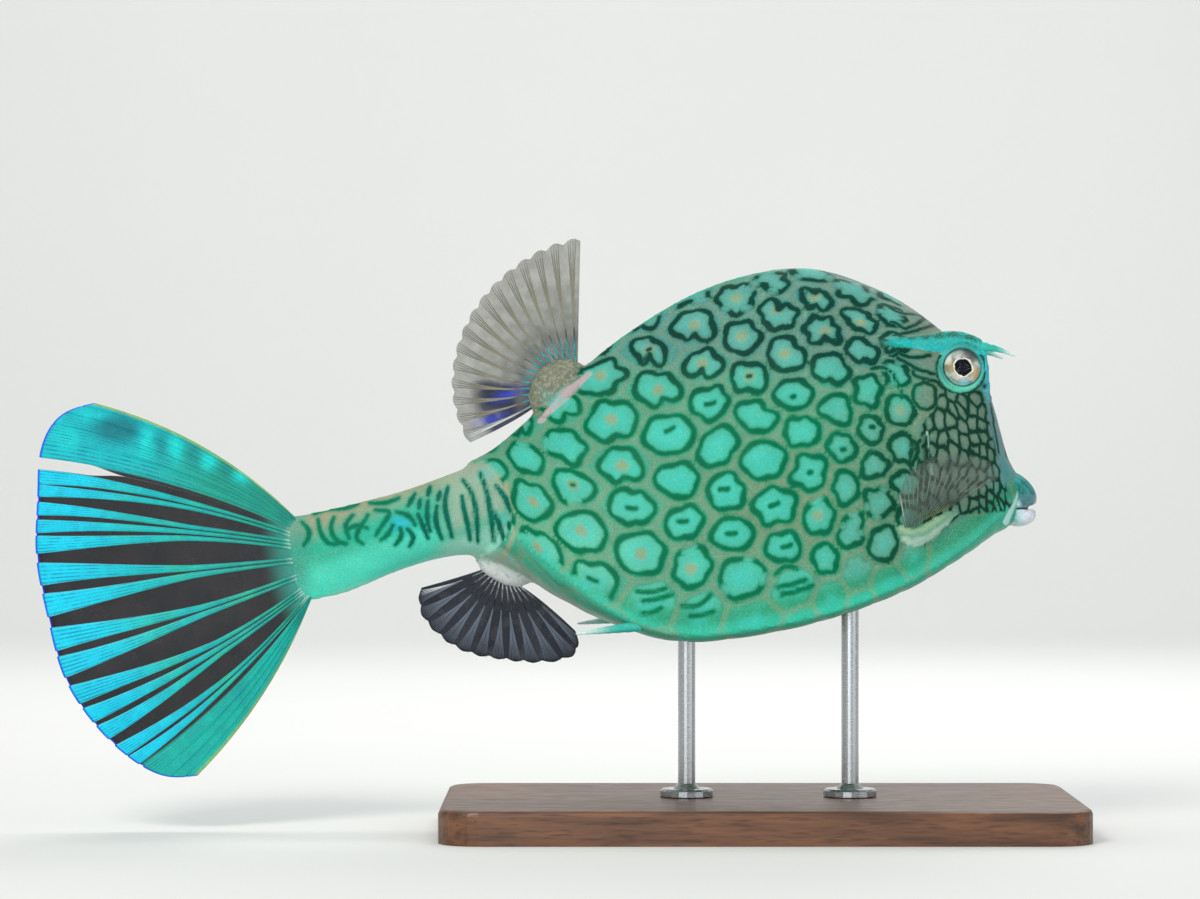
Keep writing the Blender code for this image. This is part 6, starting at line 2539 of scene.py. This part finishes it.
def rays_from_lines(name: str, tree: bpy.types.NodeTree, lines: Sequence[tuple[Points, ...]],
                    material: bpy.types.Material, sides: int) -> bpy.types.Object:
    """Sweeps rays along lines.

    Args:
        name: The object's name.
        tree: The Geometry Nodes tree that sweeps them.
        lines: For each ray its points in the fish's frame, its radii, and its places outwards and across.
        material: What the rays are covered with.
        sides: How many sides a ray has.

    Returns:
        The rays as one mesh.
    """
    points, radii, out, across = (np.concatenate(parts) for parts in zip(*lines))
    edges, start = [], 0
    for line, *_ in lines:
        edges += [(start + i, start + i + 1) for i in range(len(line) - 1)]
        start += len(line)
    mesh = bpy.data.meshes.new(name)
    mesh.from_pydata([tuple(p) for p in in_fish_frame(points)], edges, [])
    obj = add_object(name, mesh)
    store(obj, "thick", radii * MM)
    store(obj, "out", out)
    store(obj, "across", across)
    step = obj.modifiers.new("rays", "NODES")
    step.node_group = tree
    named = {item.name: item.identifier for item in tree.interface.items_tree if item.in_out == "INPUT"}
    step[named["Scale"]] = 1.0
    step[named["Sides"]] = sides
    step[named["Material"]] = material
    apply_steps(obj)
    return obj


def even_rays(count: int) -> tuple:
    """Unbranched rays evenly spaced over a fin."""
    return tuple(((i + 0.5) / count,) for i in range(count))


@dataclass
class ClearFins:
    """The dorsal, anal and pectoral fins: fine branching rays in a clear web.

    Attributes:
        tree: The Geometry Nodes tree that sweeps the rays.
        leaf_radius: A fine branch's radius at its root and at its tip.
        sheen: The middles of the dorsal fin's patches of painted blue sheen, in the picture.
    """

    tree: bpy.types.NodeTree
    leaf_radius: tuple[float, float] = (0.38, 0.12)
    sheen: tuple = ((490, 420), (507, 395))

    def fins(self) -> list[Fin]:
        """The four fins.

        Returns:
            The dorsal fin, the anal fin and both pectoral fins.
        """
        dorsal = Fin(
            "dorsal_fin",
            root=((-47.0, 44.5), (-53.0, 45.0), (-59.0, 42.0), (-62.5, 36.5), (-62.5, 31.5)),
            margin=((-39.5, 79.0), (-47.0, 78.5), (-60.0, 74.5), (-74.0, 65.0), (-83.5, 51.0), (-86.5, 35.5),
                    (-84.5, 24.5)),
            ways=(78.0, 205.0), bow=0.4, rays=even_rays(15), web=(0.3, 0.12), sunk=0.09, fork=0.3)
        anal = Fin(
            "anal_fin",
            root=((-75.0, -22.5), (-79.5, -22.0), (-84.5, -19.5), (-88.5, -13.5)),
            margin=((-63.2, -37.4), (-63.9, -42.6), (-74.6, -44.4), (-87.4, -41.0), (-97.3, -36.7),
                    (-104.4, -30.0),
                    (-108.3, -21.5), (-107.0, -15.3)),
            ways=(-46.0, -172.0), bow=0.4, rays=even_rays(12), web=(0.3, 0.08), sunk=0.2, fork=0.36)
        pectoral = [
            Fin("pectoral_fin_" + side.value,
                root=((51.8, -21.0), (47.1, -21.6), (41.8, -23.0), (37.4, -25.4)),
                margin=((68.0, -15.4), (66.5, -11.0), (61.0, -7.4), (54.0, -5.4), (47.0, -5.8), (40.8, -9.0),
                        (37.0, -14.4)),
                ways=(19.0, 100.0), bow=0.35, rays=even_rays(16), wave=0.5, web=(0.2, 0.1), sunk=0.1,
                side=side)
            for side in Side
        ]
        return [dorsal, anal, *pectoral]

    def lines(self, fin: Fin) -> list[tuple[Points, ...]]:
        """The fin's branches as lines with radii.

        Args:
            fin: The fin.

        Returns:
            For each branch its points, its radii, and its places outwards and across.
        """
        lines = []
        splits, spread, wide = {"dorsal_fin": (2, 0.6, 0.9),
                                "anal_fin": (3, 0.8, 0.72)}.get(fin.name, (2, 0.7, 0.28))
        for ray in fin.rays:
            for across, out in fin.branches(ray, splits, spread / len(fin.rays)):
                across = np.clip(across, 0.002, 0.998)
                low, high = self.leaf_radius
                radii = wide * (high + (low - high) * (1 - np.clip(out, 0, 1)) ** 0.8)
                lines.append((fin.point(across, out), radii * (1 - 0.6 * ease(out, 0.9, 1.0)), out, across))
        return lines

    def build(self) -> None:
        """Makes and dresses the four fins."""
        webs = {
            "dorsal_fin": self.web_material("dorsal_web", Colour(112, 114, 100), Colour(78, 86, 84),
                                            (0.66, 0.4)),
            "anal_fin": self.web_material("anal_web", Colour(24, 28, 42), Colour(8, 12, 28), (0.98, 0.95)),
            "pectoral_fin_left": self.web_material("pectoral_web", Colour(120, 126, 118), Colour(84, 96, 92),
                                                   (0.34, 0.12)),
        }
        webs["pectoral_fin_right"] = webs["pectoral_fin_left"]
        rays = {
            "dorsal_fin": self.ray_material("dorsal_rays", Colour(96, 222, 226), Colour(138, 136, 118)),
            "anal_fin": self.ray_material("anal_rays", Colour(228, 232, 236), Colour(104, 114, 130)),
            "pectoral_fin_left": self.ray_material("pectoral_rays", Colour(180, 206, 140),
                                                   Colour(126, 138, 130)),
        }
        rays["pectoral_fin_right"] = rays["pectoral_fin_left"]
        for fin in self.fins():
            web = fin.build_web()
            pictured = to_picture(back_to_fish(web.data))
            # The painted blue sheen on the dorsal fin's web, kept as blue
            blue = np.zeros(len(pictured))
            for place in self.sheen:
                off = (pictured - place) @ ((0.94, 0.34), (-0.34, 0.94)) / (15.0, 5.0)
                blue += np.exp(-(off**2).sum(axis=1))
            store(web, "blue", blue)
            finish_piece(web, webs[fin.name], "clear_fin", fin.name)
            obj = rays_from_lines(fin.name + "_rays", self.tree, self.lines(fin), rays[fin.name], 6)
            finish_piece(obj, rays[fin.name], "clear_fin")

    @staticmethod
    def ray_material(name: str, low: Colour, high: Colour) -> bpy.types.Material:
        """Rays whose colour changes from root to tip.

        Args:
            name: The material's name.
            low: The colour at the root.
            high: The colour further out.

        Returns:
            The material.
        """

        def paint(nodes: Nodes) -> bpy.types.NodeSocket:
            """Lays the colours over each other.

            Args:
                nodes: The writer of the material's nodes.

            Returns:
                The colour.
            """
            out = nodes.attribute("out")
            colour = nodes.mix(nodes.ramp(out, 0.08, 0.22), low, high)
            colour = nodes.mix(nodes.ramp(out, 0.5, 1.0, 0.0, 0.4), colour, Colour(70, 76, 84))
            return nodes.mix(nodes.ramp(nodes.attribute("across"), 0.955, 0.975), colour,
                             Colour(214, 222, 222))

        return Covering(name, scale=1800.0, amount=0.4, relief=0.03, coat=0.1, shine=0.2).material(paint)

    def web_material(self, name: str, pale: Colour, deep: Colour,
                     solid_shares: tuple[float, float]) -> bpy.types.Material:
        """A clear web, deep near the root, and near-black with a painted blue sheen where the web says so.

        Args:
            name: The material's name.
            pale: Its colour at the margin.
            deep: Its colour at the root.
            solid_shares: How solid it is at the root and at the margin.

        Returns:
            The material.
        """
        dark_from = 0.66 if name == "dorsal_web" else 2.0

        def lower(nodes: Nodes) -> bpy.types.NodeSocket:
            """The dark webs between the lowest rays, thinning out towards the margin.

            Args:
                nodes: The writer of the material's nodes.

            Returns:
                How dark the web is, from 0 to 1.
            """
            streaks = nodes.ramp(nodes.noise(150.0, 2.0), 0.3, 0.6, 0.75, 1.0)
            reach = nodes.ramp(nodes.attribute("out"), 1.0, 0.6)
            low = nodes.ramp(nodes.attribute("across"), dark_from, dark_from + 0.1)
            return nodes.times(nodes.times(low, reach), streaks)

        def paint(nodes: Nodes) -> bpy.types.NodeSocket:
            """Lays the colours over each other.

            Args:
                nodes: The writer of the material's nodes.

            Returns:
                The colour.
            """
            streaks = nodes.ramp(nodes.noise(160.0, 3.0), 0.35, 0.65, 0.6, 1.0)
            share = nodes.times(nodes.ramp(nodes.attribute("out"), 0.8, 0.1), streaks)
            colour = nodes.mix(lower(nodes), nodes.mix(share, pale, deep), Colour(14, 22, 52))
            # Painted blue sheen
            return nodes.mix(nodes.times(nodes.attribute("blue"), 0.75, clamp=True), colour,
                             Colour(18, 52, 205))

        def solid(nodes: Nodes) -> bpy.types.NodeSocket:
            """More solid near the root.

            Args:
                nodes: The writer of the material's nodes.

            Returns:
                How solid the web is, from 0 to 1.
            """
            cloudy = nodes.ramp(nodes.noise(220.0, 3.0), 0.3, 0.7, 0.85, 1.15)
            clear = nodes.times(nodes.ramp(nodes.attribute("out"), 0.0, 0.9, *solid_shares), cloudy,
                                clamp=True)
            return nodes.most(clear, nodes.times(lower(nodes), 0.88))

        return Covering(name, scale=1800.0, amount=0.3, relief=0.02, coat=0.15,
                        shine=0.2).material(paint, solid)


# The tail fin's blotches: place and size in the picture, and strength, above 0 for a pale one
TAIL_BLOTCHES = (
    ((118, 429), (24, 13), -1.6), ((93, 415), (12, 5), 0.8), ((70, 436), (12, 12), 0.7),
    ((146, 441), (7, 16), 1.3), ((176, 447), (7, 14), 1.2),
    ((209, 461), (8, 9), 1.3), ((241, 476), (9, 7), 1.2), ((161, 445), (5, 12), -0.6),
    ((192, 452), (6, 12), -0.6),
    ((226, 468), (5, 9), -0.6), ((238, 690), (16, 12), -0.5), ((262, 640), (12, 14), 0.5),
)


@dataclass
class TailFin:
    """The tail fin: flat bright ribbons of ray on a dark smoky web, run together in its two outer lobes.

    Attributes:
        ribbon_width: A ribbon's least and greatest width.
        ribbon_share: How much of its room at the margin it fills.
        ribbon_thick: Its thickness at the root and at the margin.
        rows: Its rows of points.
        slit: The places across the fin between which the slit below the upper lobe lies.
    """

    ribbon_width: tuple[float, float] = (0.9, 8.0)
    ribbon_share: float = 0.84
    ribbon_thick: tuple[float, float] = (2.2, 0.5)
    rows: int = 90
    slit: tuple[float, float] = (0.171, 0.196)

    def fin(self) -> Fin:
        """The fin's fan.

        Returns:
            The fan.
        """
        return Fin(
            "tail_fin",
            root=((-139.4, 12.6), (-139.4, -12.2)),
            margin=((-192.0, 57.8), (-202.4, 56.0), (-209.6, 48.0), (-213.4, 34.4), (-217.4, 17.0),
                    (-217.6, -4.0),
                    (-216.0, -21.2), (-211.6, -33.5), (-199.8, -50.6), (-191.6, -56.2), (-182.8, -57.6)),
            ways=(124.0, 238.0), bow=0.52, crowding=0.12,
            rays=((0.01, 0.045, 0.08, 0.115, 0.15), (0.21, 0.24), (0.277, 0.314, 0.352), (0.414, 0.48),
                  (0.552, 0.612), (0.676, 0.727, 0.773), (0.826, 0.859), (0.90, 0.93, 0.96, 0.99)),
            wave=0.9, web=(1.2, 0.22), notch=0.006, fork=0.42)

    def ribbons(self, fin: Fin) -> bpy.types.Object:
        """All ribbons as one mesh, with their edge, place outwards and place across kept.

        Args:
            fin: The fin's fan.

        Returns:
            The ribbons.
        """
        columns = 9
        out = np.linspace(0, 1, self.rows)
        widths = np.array([fin.width(o) for o in out])
        tips = fin.tips()
        gaps = np.diff(np.concatenate([[-tips[0]], tips, [2 - tips[-1]]]))
        lobe = (tips < 0.17) | (tips > 0.87)
        room = (gaps[:-1] + gaps[1:]) / 2 * np.where(lobe, 1.12, self.ribbon_share)
        apart = np.clip((out - fin.fork) / (1 - fin.fork), 0, 1)
        points, faces, edge, outs, place = [], [], [], [], []
        across = np.linspace(-1, 1, columns)
        for ray in fin.rays:
            stem = sum(ray) / len(ray)
            for k, tip in enumerate(ray):
                number = list(tips).index(tip)
                narrow, wide = self.ribbon_width
                half = (narrow + (min(wide, room[number] * widths[-1]) - narrow) * out**2.1) / 2 / widths
                half = np.minimum(half, 0.43 / len(tips) + 0.016 * out**2)
                if lobe[number]:
                    half = np.maximum(half, room[number] / 2 * out**0.3)
                beside = stem + (2 * k - (len(ray) - 1)) * half
                centre = tip if lobe[number] else beside + (tip - beside) * apart
                brush = 1 - 0.12 * ease(out, 0.985, 1.0)
                where = np.reshape(centre, (-1, 1)) + (half * brush)[:, None] * across
                low, high = ((0.001, self.slit[0]) if tip < self.slit[0] else (self.slit[1], 0.999))
                where = np.clip(where, low, high)
                thick = (self.ribbon_thick[0] + (self.ribbon_thick[1] - self.ribbon_thick[0]) * out)[:, None]
                dome = thick / 2 * np.sqrt(np.clip(1 - across**2, 0, 1)) ** 0.7 + 0.06
                rows_out = np.broadcast_to(out[:, None], where.shape)
                front, back = fin.point(where, rows_out, -dome), fin.point(where, rows_out, dome)
                start = sum(len(p) for p in points)
                ring = np.concatenate([front, back[:, ::-1]], axis=1)
                points.append(ring.reshape(-1, 3))
                faces += grid_faces(self.rows, 2 * columns, True, start)
                last = start + (self.rows - 1) * 2 * columns
                faces += [tuple(range(start, start + 2 * columns)), tuple(range(last, last + 2 * columns))]
                edge.append(np.tile(np.concatenate([across, across[::-1]]), self.rows))
                outs.append(np.repeat(out, 2 * columns))
                place.append(np.concatenate([where, where[:, ::-1]], axis=1).ravel())
        obj = mesh_object("tail_ribbons", in_fish_frame(np.vstack(points)), faces)
        store(obj, "edge", np.concatenate(edge))
        store(obj, "out", np.concatenate(outs))
        store(obj, "across", np.concatenate(place))
        return obj

    @staticmethod
    def keep_blotches(obj: bpy.types.Object) -> None:
        """Keeps the upper lobe's blotches, which are placed by the picture: above 0 pale, below 0 dark.

        Args:
            obj: The ribbons or the web.
        """
        pictured = to_picture(back_to_fish(obj.data))
        total = np.zeros(len(pictured))
        for place, size, strength in TAIL_BLOTCHES:
            total += strength * np.exp(-(((pictured - place) / size) ** 2).sum(axis=1))
        store(obj, "blotch", total)

    def build(self) -> None:
        """Makes and dresses the tail fin."""
        fin = self.fin()
        for obj, material, nodes in (
            (self.ribbons(fin), self.ribbon_material(), ("tail_fin",)),
            (fin.build_web(), self.web_material(), ()),
        ):
            self.keep_blotches(obj)
            finish_piece(obj, material, "tail_fin", *nodes)

    def lobes(self, nodes: Nodes) -> bpy.types.NodeSocket:
        """1 in the two outer lobes.

        Args:
            nodes: The writer of the material's nodes.

        Returns:
            The share, from 0 to 1.
        """
        across = nodes.attribute("across")
        return nodes.plus(nodes.ramp(across, self.slit[0] + 0.006, self.slit[0] - 0.002),
                          nodes.ramp(across, 0.872, 0.882), clamp=True)

    @staticmethod
    def lobe_colour(nodes: Nodes, colour: bpy.types.NodeSocket,
                    share: bpy.types.NodeSocket) -> bpy.types.NodeSocket:
        """Lays the lobes' turquoise, blotches and yellow-green outer edges over a colour.

        Args:
            nodes: The writer of the material's nodes.
            colour: The colour underneath.
            share: How far a point belongs to the lobes.

        Returns:
            The colour on top.
        """
        across, blotch = nodes.attribute("across"), nodes.attribute("blotch")
        upper = nodes.ramp(nodes.attribute("out"), 0.3, 0.8)
        lobe = nodes.mix(nodes.ramp(across, 0.4, 0.6),
                         nodes.mix(upper, Colour(28, 160, 138), Colour(8, 188, 196)), Colour(12, 180, 164))
        lobe = nodes.mix(nodes.times(blotch, 0.8, clamp=True), lobe, Colour(20, 226, 220))
        lobe = nodes.mix(nodes.times(blotch, -0.85, clamp=True), lobe, Colour(8, 126, 132))
        colour = nodes.mix(share, colour, lobe)
        last = nodes.plus(nodes.ramp(across, 0.014, 0.005), nodes.ramp(across, 0.986, 0.995), clamp=True)
        return nodes.mix(nodes.times(last, 0.85), colour, Colour(150, 186, 84))

    def ribbon_material(self) -> bpy.types.Material:
        """Cyan with fine darker lines and olive edges.

        Returns:
            The material.
        """

        def paint(nodes: Nodes) -> bpy.types.NodeSocket:
            """Lays the colours over each other.

            Args:
                nodes: The writer of the material's nodes.

            Returns:
                The colour.
            """
            out, edge = nodes.attribute("out"), nodes.attribute("edge")
            colour = nodes.mix(nodes.ramp(out, 0.08, 0.6), Colour(40, 164, 142), Colour(8, 190, 190))
            colour = nodes.mix(nodes.ramp(nodes.noise(70.0, 2.0), 0.4, 0.7, 0.0, 0.7), colour,
                               Colour(44, 190, 150))
            colour = nodes.mix(nodes.ramp(out, 0.5, 0.9), colour, Colour(2, 208, 238))
            colour = nodes.mix(nodes.ramp(out, 0.075, 0.02, 0.0, 0.7), colour, Colour(200, 230, 222))
            share = self.lobes(nodes)
            colour = self.lobe_colour(nodes, colour, share)
            lines = nodes.math("SINE", nodes.times(edge, nodes.ramp(out, 0.3, 1.0, 9.0, 19.0)))
            broken = nodes.ramp(nodes.noise(260.0, 2.0), 0.38, 0.62, 0.25, 1.0)
            fine = nodes.times(nodes.ramp(lines, 0.1, 0.9), broken)
            colour = nodes.mix(nodes.times(fine, 0.65), colour, Colour(2, 100, 136))
            rim = nodes.times(nodes.ramp(nodes.unsigned(edge), 0.7, 0.95), nodes.minus(1.0, share))
            colour = nodes.mix(nodes.times(rim, nodes.ramp(out, 0.5, 0.95, 0.75, 0.3)), colour,
                               Colour(110, 130, 92))
            return nodes.mix(nodes.ramp(out, 0.988, 0.996, 0.0, 0.8), colour, Colour(30, 60, 235))

        return Covering("tail_ribbon", scale=1500.0, amount=0.45, relief=0.05, coat=0.1,
                        shine=0.2).material(paint)

    def web_material(self) -> bpy.types.Material:
        """A smoky brown-grey web with a thin blue margin, turquoise in the two outer lobes.

        Returns:
            The material.
        """

        def paint(nodes: Nodes) -> bpy.types.NodeSocket:
            """Lays the colours over each other.

            Args:
                nodes: The writer of the material's nodes.

            Returns:
                The colour.
            """
            out = nodes.attribute("out")
            smoke = nodes.mix(nodes.ramp(nodes.noise(120.0, 3.0), 0.3, 0.7), Colour(42, 39, 42),
                              Colour(30, 32, 36))
            colour = self.lobe_colour(nodes, smoke, self.lobes(nodes))
            colour = nodes.mix(nodes.ramp(out, 0.16, 0.04), colour, Colour(50, 150, 136))
            return nodes.mix(nodes.ramp(out, 0.984, 0.992, 0.0, 0.8), colour, Colour(30, 60, 235))

        def solid(nodes: Nodes) -> bpy.types.NodeSocket:
            """Nearly solid, but open in the slit below the upper lobe.

            Args:
                nodes: The writer of the material's nodes.

            Returns:
                How solid the web is, from 0 to 1.
            """
            across, out = nodes.attribute("across"), nodes.attribute("out")
            middle = (self.slit[0] + self.slit[1]) / 2
            open_by = nodes.ramp(out, 0.66, 0.82, 0.0, (self.slit[1] - self.slit[0]) / 2)
            beside = nodes.unsigned(nodes.minus(across, middle))
            slit = nodes.ramp(nodes.minus(beside, open_by), 0.001, -0.001)
            cloudy = nodes.ramp(nodes.noise(200.0, 2.0), 0.3, 0.7, 0.9, 0.97)
            return nodes.times(cloudy, nodes.minus(1.0, slit))

        return Covering("tail_web", scale=1500.0, amount=0.4, relief=0.03, coat=0.1,
                        shine=0.2).material(paint, solid)


@dataclass
class Stand:
    """The flat wooden base and its two steel rods: the CAD's own nodes, with better materials."""

    def build(self) -> None:
        """Dresses the base and the rods."""
        wood, steel = self.wood(), self.steel()
        for name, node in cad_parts.items():
            if name.startswith("stand_"):
                material = wood if name == "stand_base" else steel
                node.data.materials.clear()
                node.data.materials.append(material)
                for slot in node.material_slots:
                    slot.material = material
                LOG.info("%s: dressed", name)

    def wood(self) -> bpy.types.Material:
        """Dark oiled wood with its grain along the base.

        Returns:
            The material.
        """
        made, nodes, shader = new_material("oiled_wood")
        stretched = nodes.new("Mapping", Vector=nodes.place(), Scale=(1.0, 11.0, 11.0)).outputs[0]
        grain = nodes.noise(22.0, 5.0, stretched, 0.6)
        fine = nodes.noise(120.0, 3.0, stretched)
        colour = nodes.mix(nodes.ramp(grain, 0.3, 0.7), Colour(74, 46, 30), Colour(122, 80, 52))
        colour = nodes.mix(nodes.times(nodes.ramp(fine, 0.52, 0.7), 0.5), colour, Colour(46, 28, 18))
        bump = nodes.new("Bump", Height=fine, Distance=0.0001, Strength=0.5)
        nodes.give(shader, Base_Color=colour, Roughness=nodes.ramp(fine, 0.3, 0.7, 0.34, 0.5),
                   Normal=bump.outputs["Normal"])
        return made

    def steel(self) -> bpy.types.Material:
        """Brushed steel.

        Returns:
            The material.
        """
        made, nodes, shader = new_material("brushed_steel")
        stretched = nodes.new("Mapping", Vector=nodes.place(), Scale=(1.0, 1.0, 14.0)).outputs[0]
        brush = nodes.noise(500.0, 3.0, stretched)
        colour = nodes.mix(nodes.ramp(brush, 0.3, 0.7), Colour(176, 178, 180), Colour(206, 208, 210))
        nodes.give(shader, Base_Color=colour, Roughness=nodes.ramp(brush, 0.3, 0.7, 0.24, 0.38), Metallic=1.0)
        return made


@dataclass
class Studio:
    """The camera at the picture's angle, soft lights, and a pale floor that curves up behind.

    Attributes:
        floor_size: How far the floor reaches to both sides and forwards, in metres.
        rise: How far the backdrop goes on above its bend.
    """

    floor_size: float = 2.4
    rise: float = 0.9

    def camera(self) -> None:
        """A level camera that looks at the fish's right side."""
        data = bpy.data.cameras.new("camera")
        data.lens = data.sensor_width * VIEW_DISTANCE / VIEW_WIDTH
        data.clip_start, data.clip_end = 0.05, 20.0
        camera = bpy.data.objects.new("camera", data)
        bpy.context.scene.collection.objects.link(camera)
        camera.location = Vector((VIEW_AIM[0], -VIEW_DISTANCE, VIEW_AIM[1])) * MM
        camera.rotation_euler = (math.pi / 2, 0, 0)
        bpy.context.scene.camera = camera

    @staticmethod
    def light(name: str, place: Sequence[float], size: float, power: float, colour: Colour,
              aim: Sequence[float] = (-0.03, 0, 0.1)) -> None:
        """A square soft light, aimed at the fish or at another place.

        Args:
            name: The light's name.
            place: Where it hangs, in metres.
            size: Its side, in metres.
            power: How strong it is, in watts.
            colour: Its colour.
            aim: The place it points at, in metres.
        """
        data = bpy.data.lights.new(name, "AREA")
        data.size, data.energy, data.color = size, power, colour.linear[:3]
        lamp = bpy.data.objects.new(name, data)
        bpy.context.scene.collection.objects.link(lamp)
        lamp.location = place
        lamp.rotation_euler = (Vector(aim) - Vector(place)).to_track_quat("-Z", "Y").to_euler()

    def floor(self) -> None:
        """A pale floor that curves up into a backdrop, which a camera behind it sees through."""
        bend, behind = 0.5, 1.3
        profile = [(-self.floor_size, 0.0), (behind, 0.0)]
        profile += [(behind + bend * math.sin(a), bend * (1 - math.cos(a)))
                    for a in np.linspace(0, math.pi / 2, 16)[1:]]
        profile.append((behind + bend, bend + self.rise))
        points = [(x, y, z) for y, z in profile for x in (-self.floor_size, self.floor_size)]
        faces = [(2 * i, 2 * i + 1, 2 * i + 3, 2 * i + 2) for i in range(len(profile) - 1)]
        mesh = bpy.data.meshes.new("studio_floor")
        mesh.from_pydata(points, [], faces)
        obj = add_object("studio_floor", mesh)
        made, nodes, shader = new_material("pale_floor")
        colour = nodes.mix(nodes.noise(3.0, 2.0), Colour(226, 226, 222), Colour(232, 232, 229))
        nodes.give(shader, Base_Color=colour, Roughness=0.8)
        from_behind = nodes.times(nodes.new("NewGeometry").outputs["Backfacing"],
                                  nodes.new("LightPath").outputs["Is Camera Ray"])
        both = nodes.new("MixShader", i0=from_behind, i1=shader.outputs[0],
                         i2=nodes.new("BsdfTransparent").outputs[0])
        nodes.give(made.node_tree.nodes["Material Output"], Surface=both.outputs[0])
        obj.data.materials.append(made)
        obj.data.shade_smooth()

    def world(self) -> None:
        """An even pale surround."""
        world = bpy.data.worlds.new("surround")
        world.use_nodes = True
        back = world.node_tree.nodes["Background"]
        back.inputs["Color"].default_value = (0.9, 0.95, 1.0, 1.0)
        back.inputs["Strength"].default_value = 0.42
        bpy.context.scene.world = world

    def build(self) -> None:
        """Sets up everything round the fish."""
        self.camera()
        self.light("key", (-0.55, -1.0, 0.95), 0.45, 10.0, Colour(255, 250, 244))
        self.light("fill", (0.9, -0.9, 0.35), 0.7, 2.6, Colour(244, 250, 255))
        self.light("back", (0.2, 0.8, 0.8), 0.5, 2.5, Colour(255, 255, 255))
        self.light("backdrop", (0.0, 0.45, 1.5), 1.2, 16.0, Colour(255, 255, 255), (0.0, 1.9, 0.3))
        self.light("under", (-0.1, -0.7, 0.05), 0.3, 0.9, Colour(240, 250, 255))
        self.floor()
        self.world()
        bpy.context.scene.view_settings.view_transform = "Standard"


def main() -> None:
    """Builds every part of the scene in order."""
    logging.basicConfig(level=logging.INFO, format="%(message)s")
    Studio().build()
    mottle_group()
    chart = ShellChart()
    LOG.info("chart: %d samples", len(chart.samples))
    skin = Skin(chart, ShellMarks(chart))
    skin.dress(skin.build())
    ball, window = Eye.ball_material(), Eye.window_material()
    for side in Side:
        Eye(side).build(ball, window)
    HornsAndSpines().build()
    Mouth().build()
    ClearFins(ray_tree()).build()
    TailFin().build()
    Stand().build()


if __name__ == "__main__":
    main()
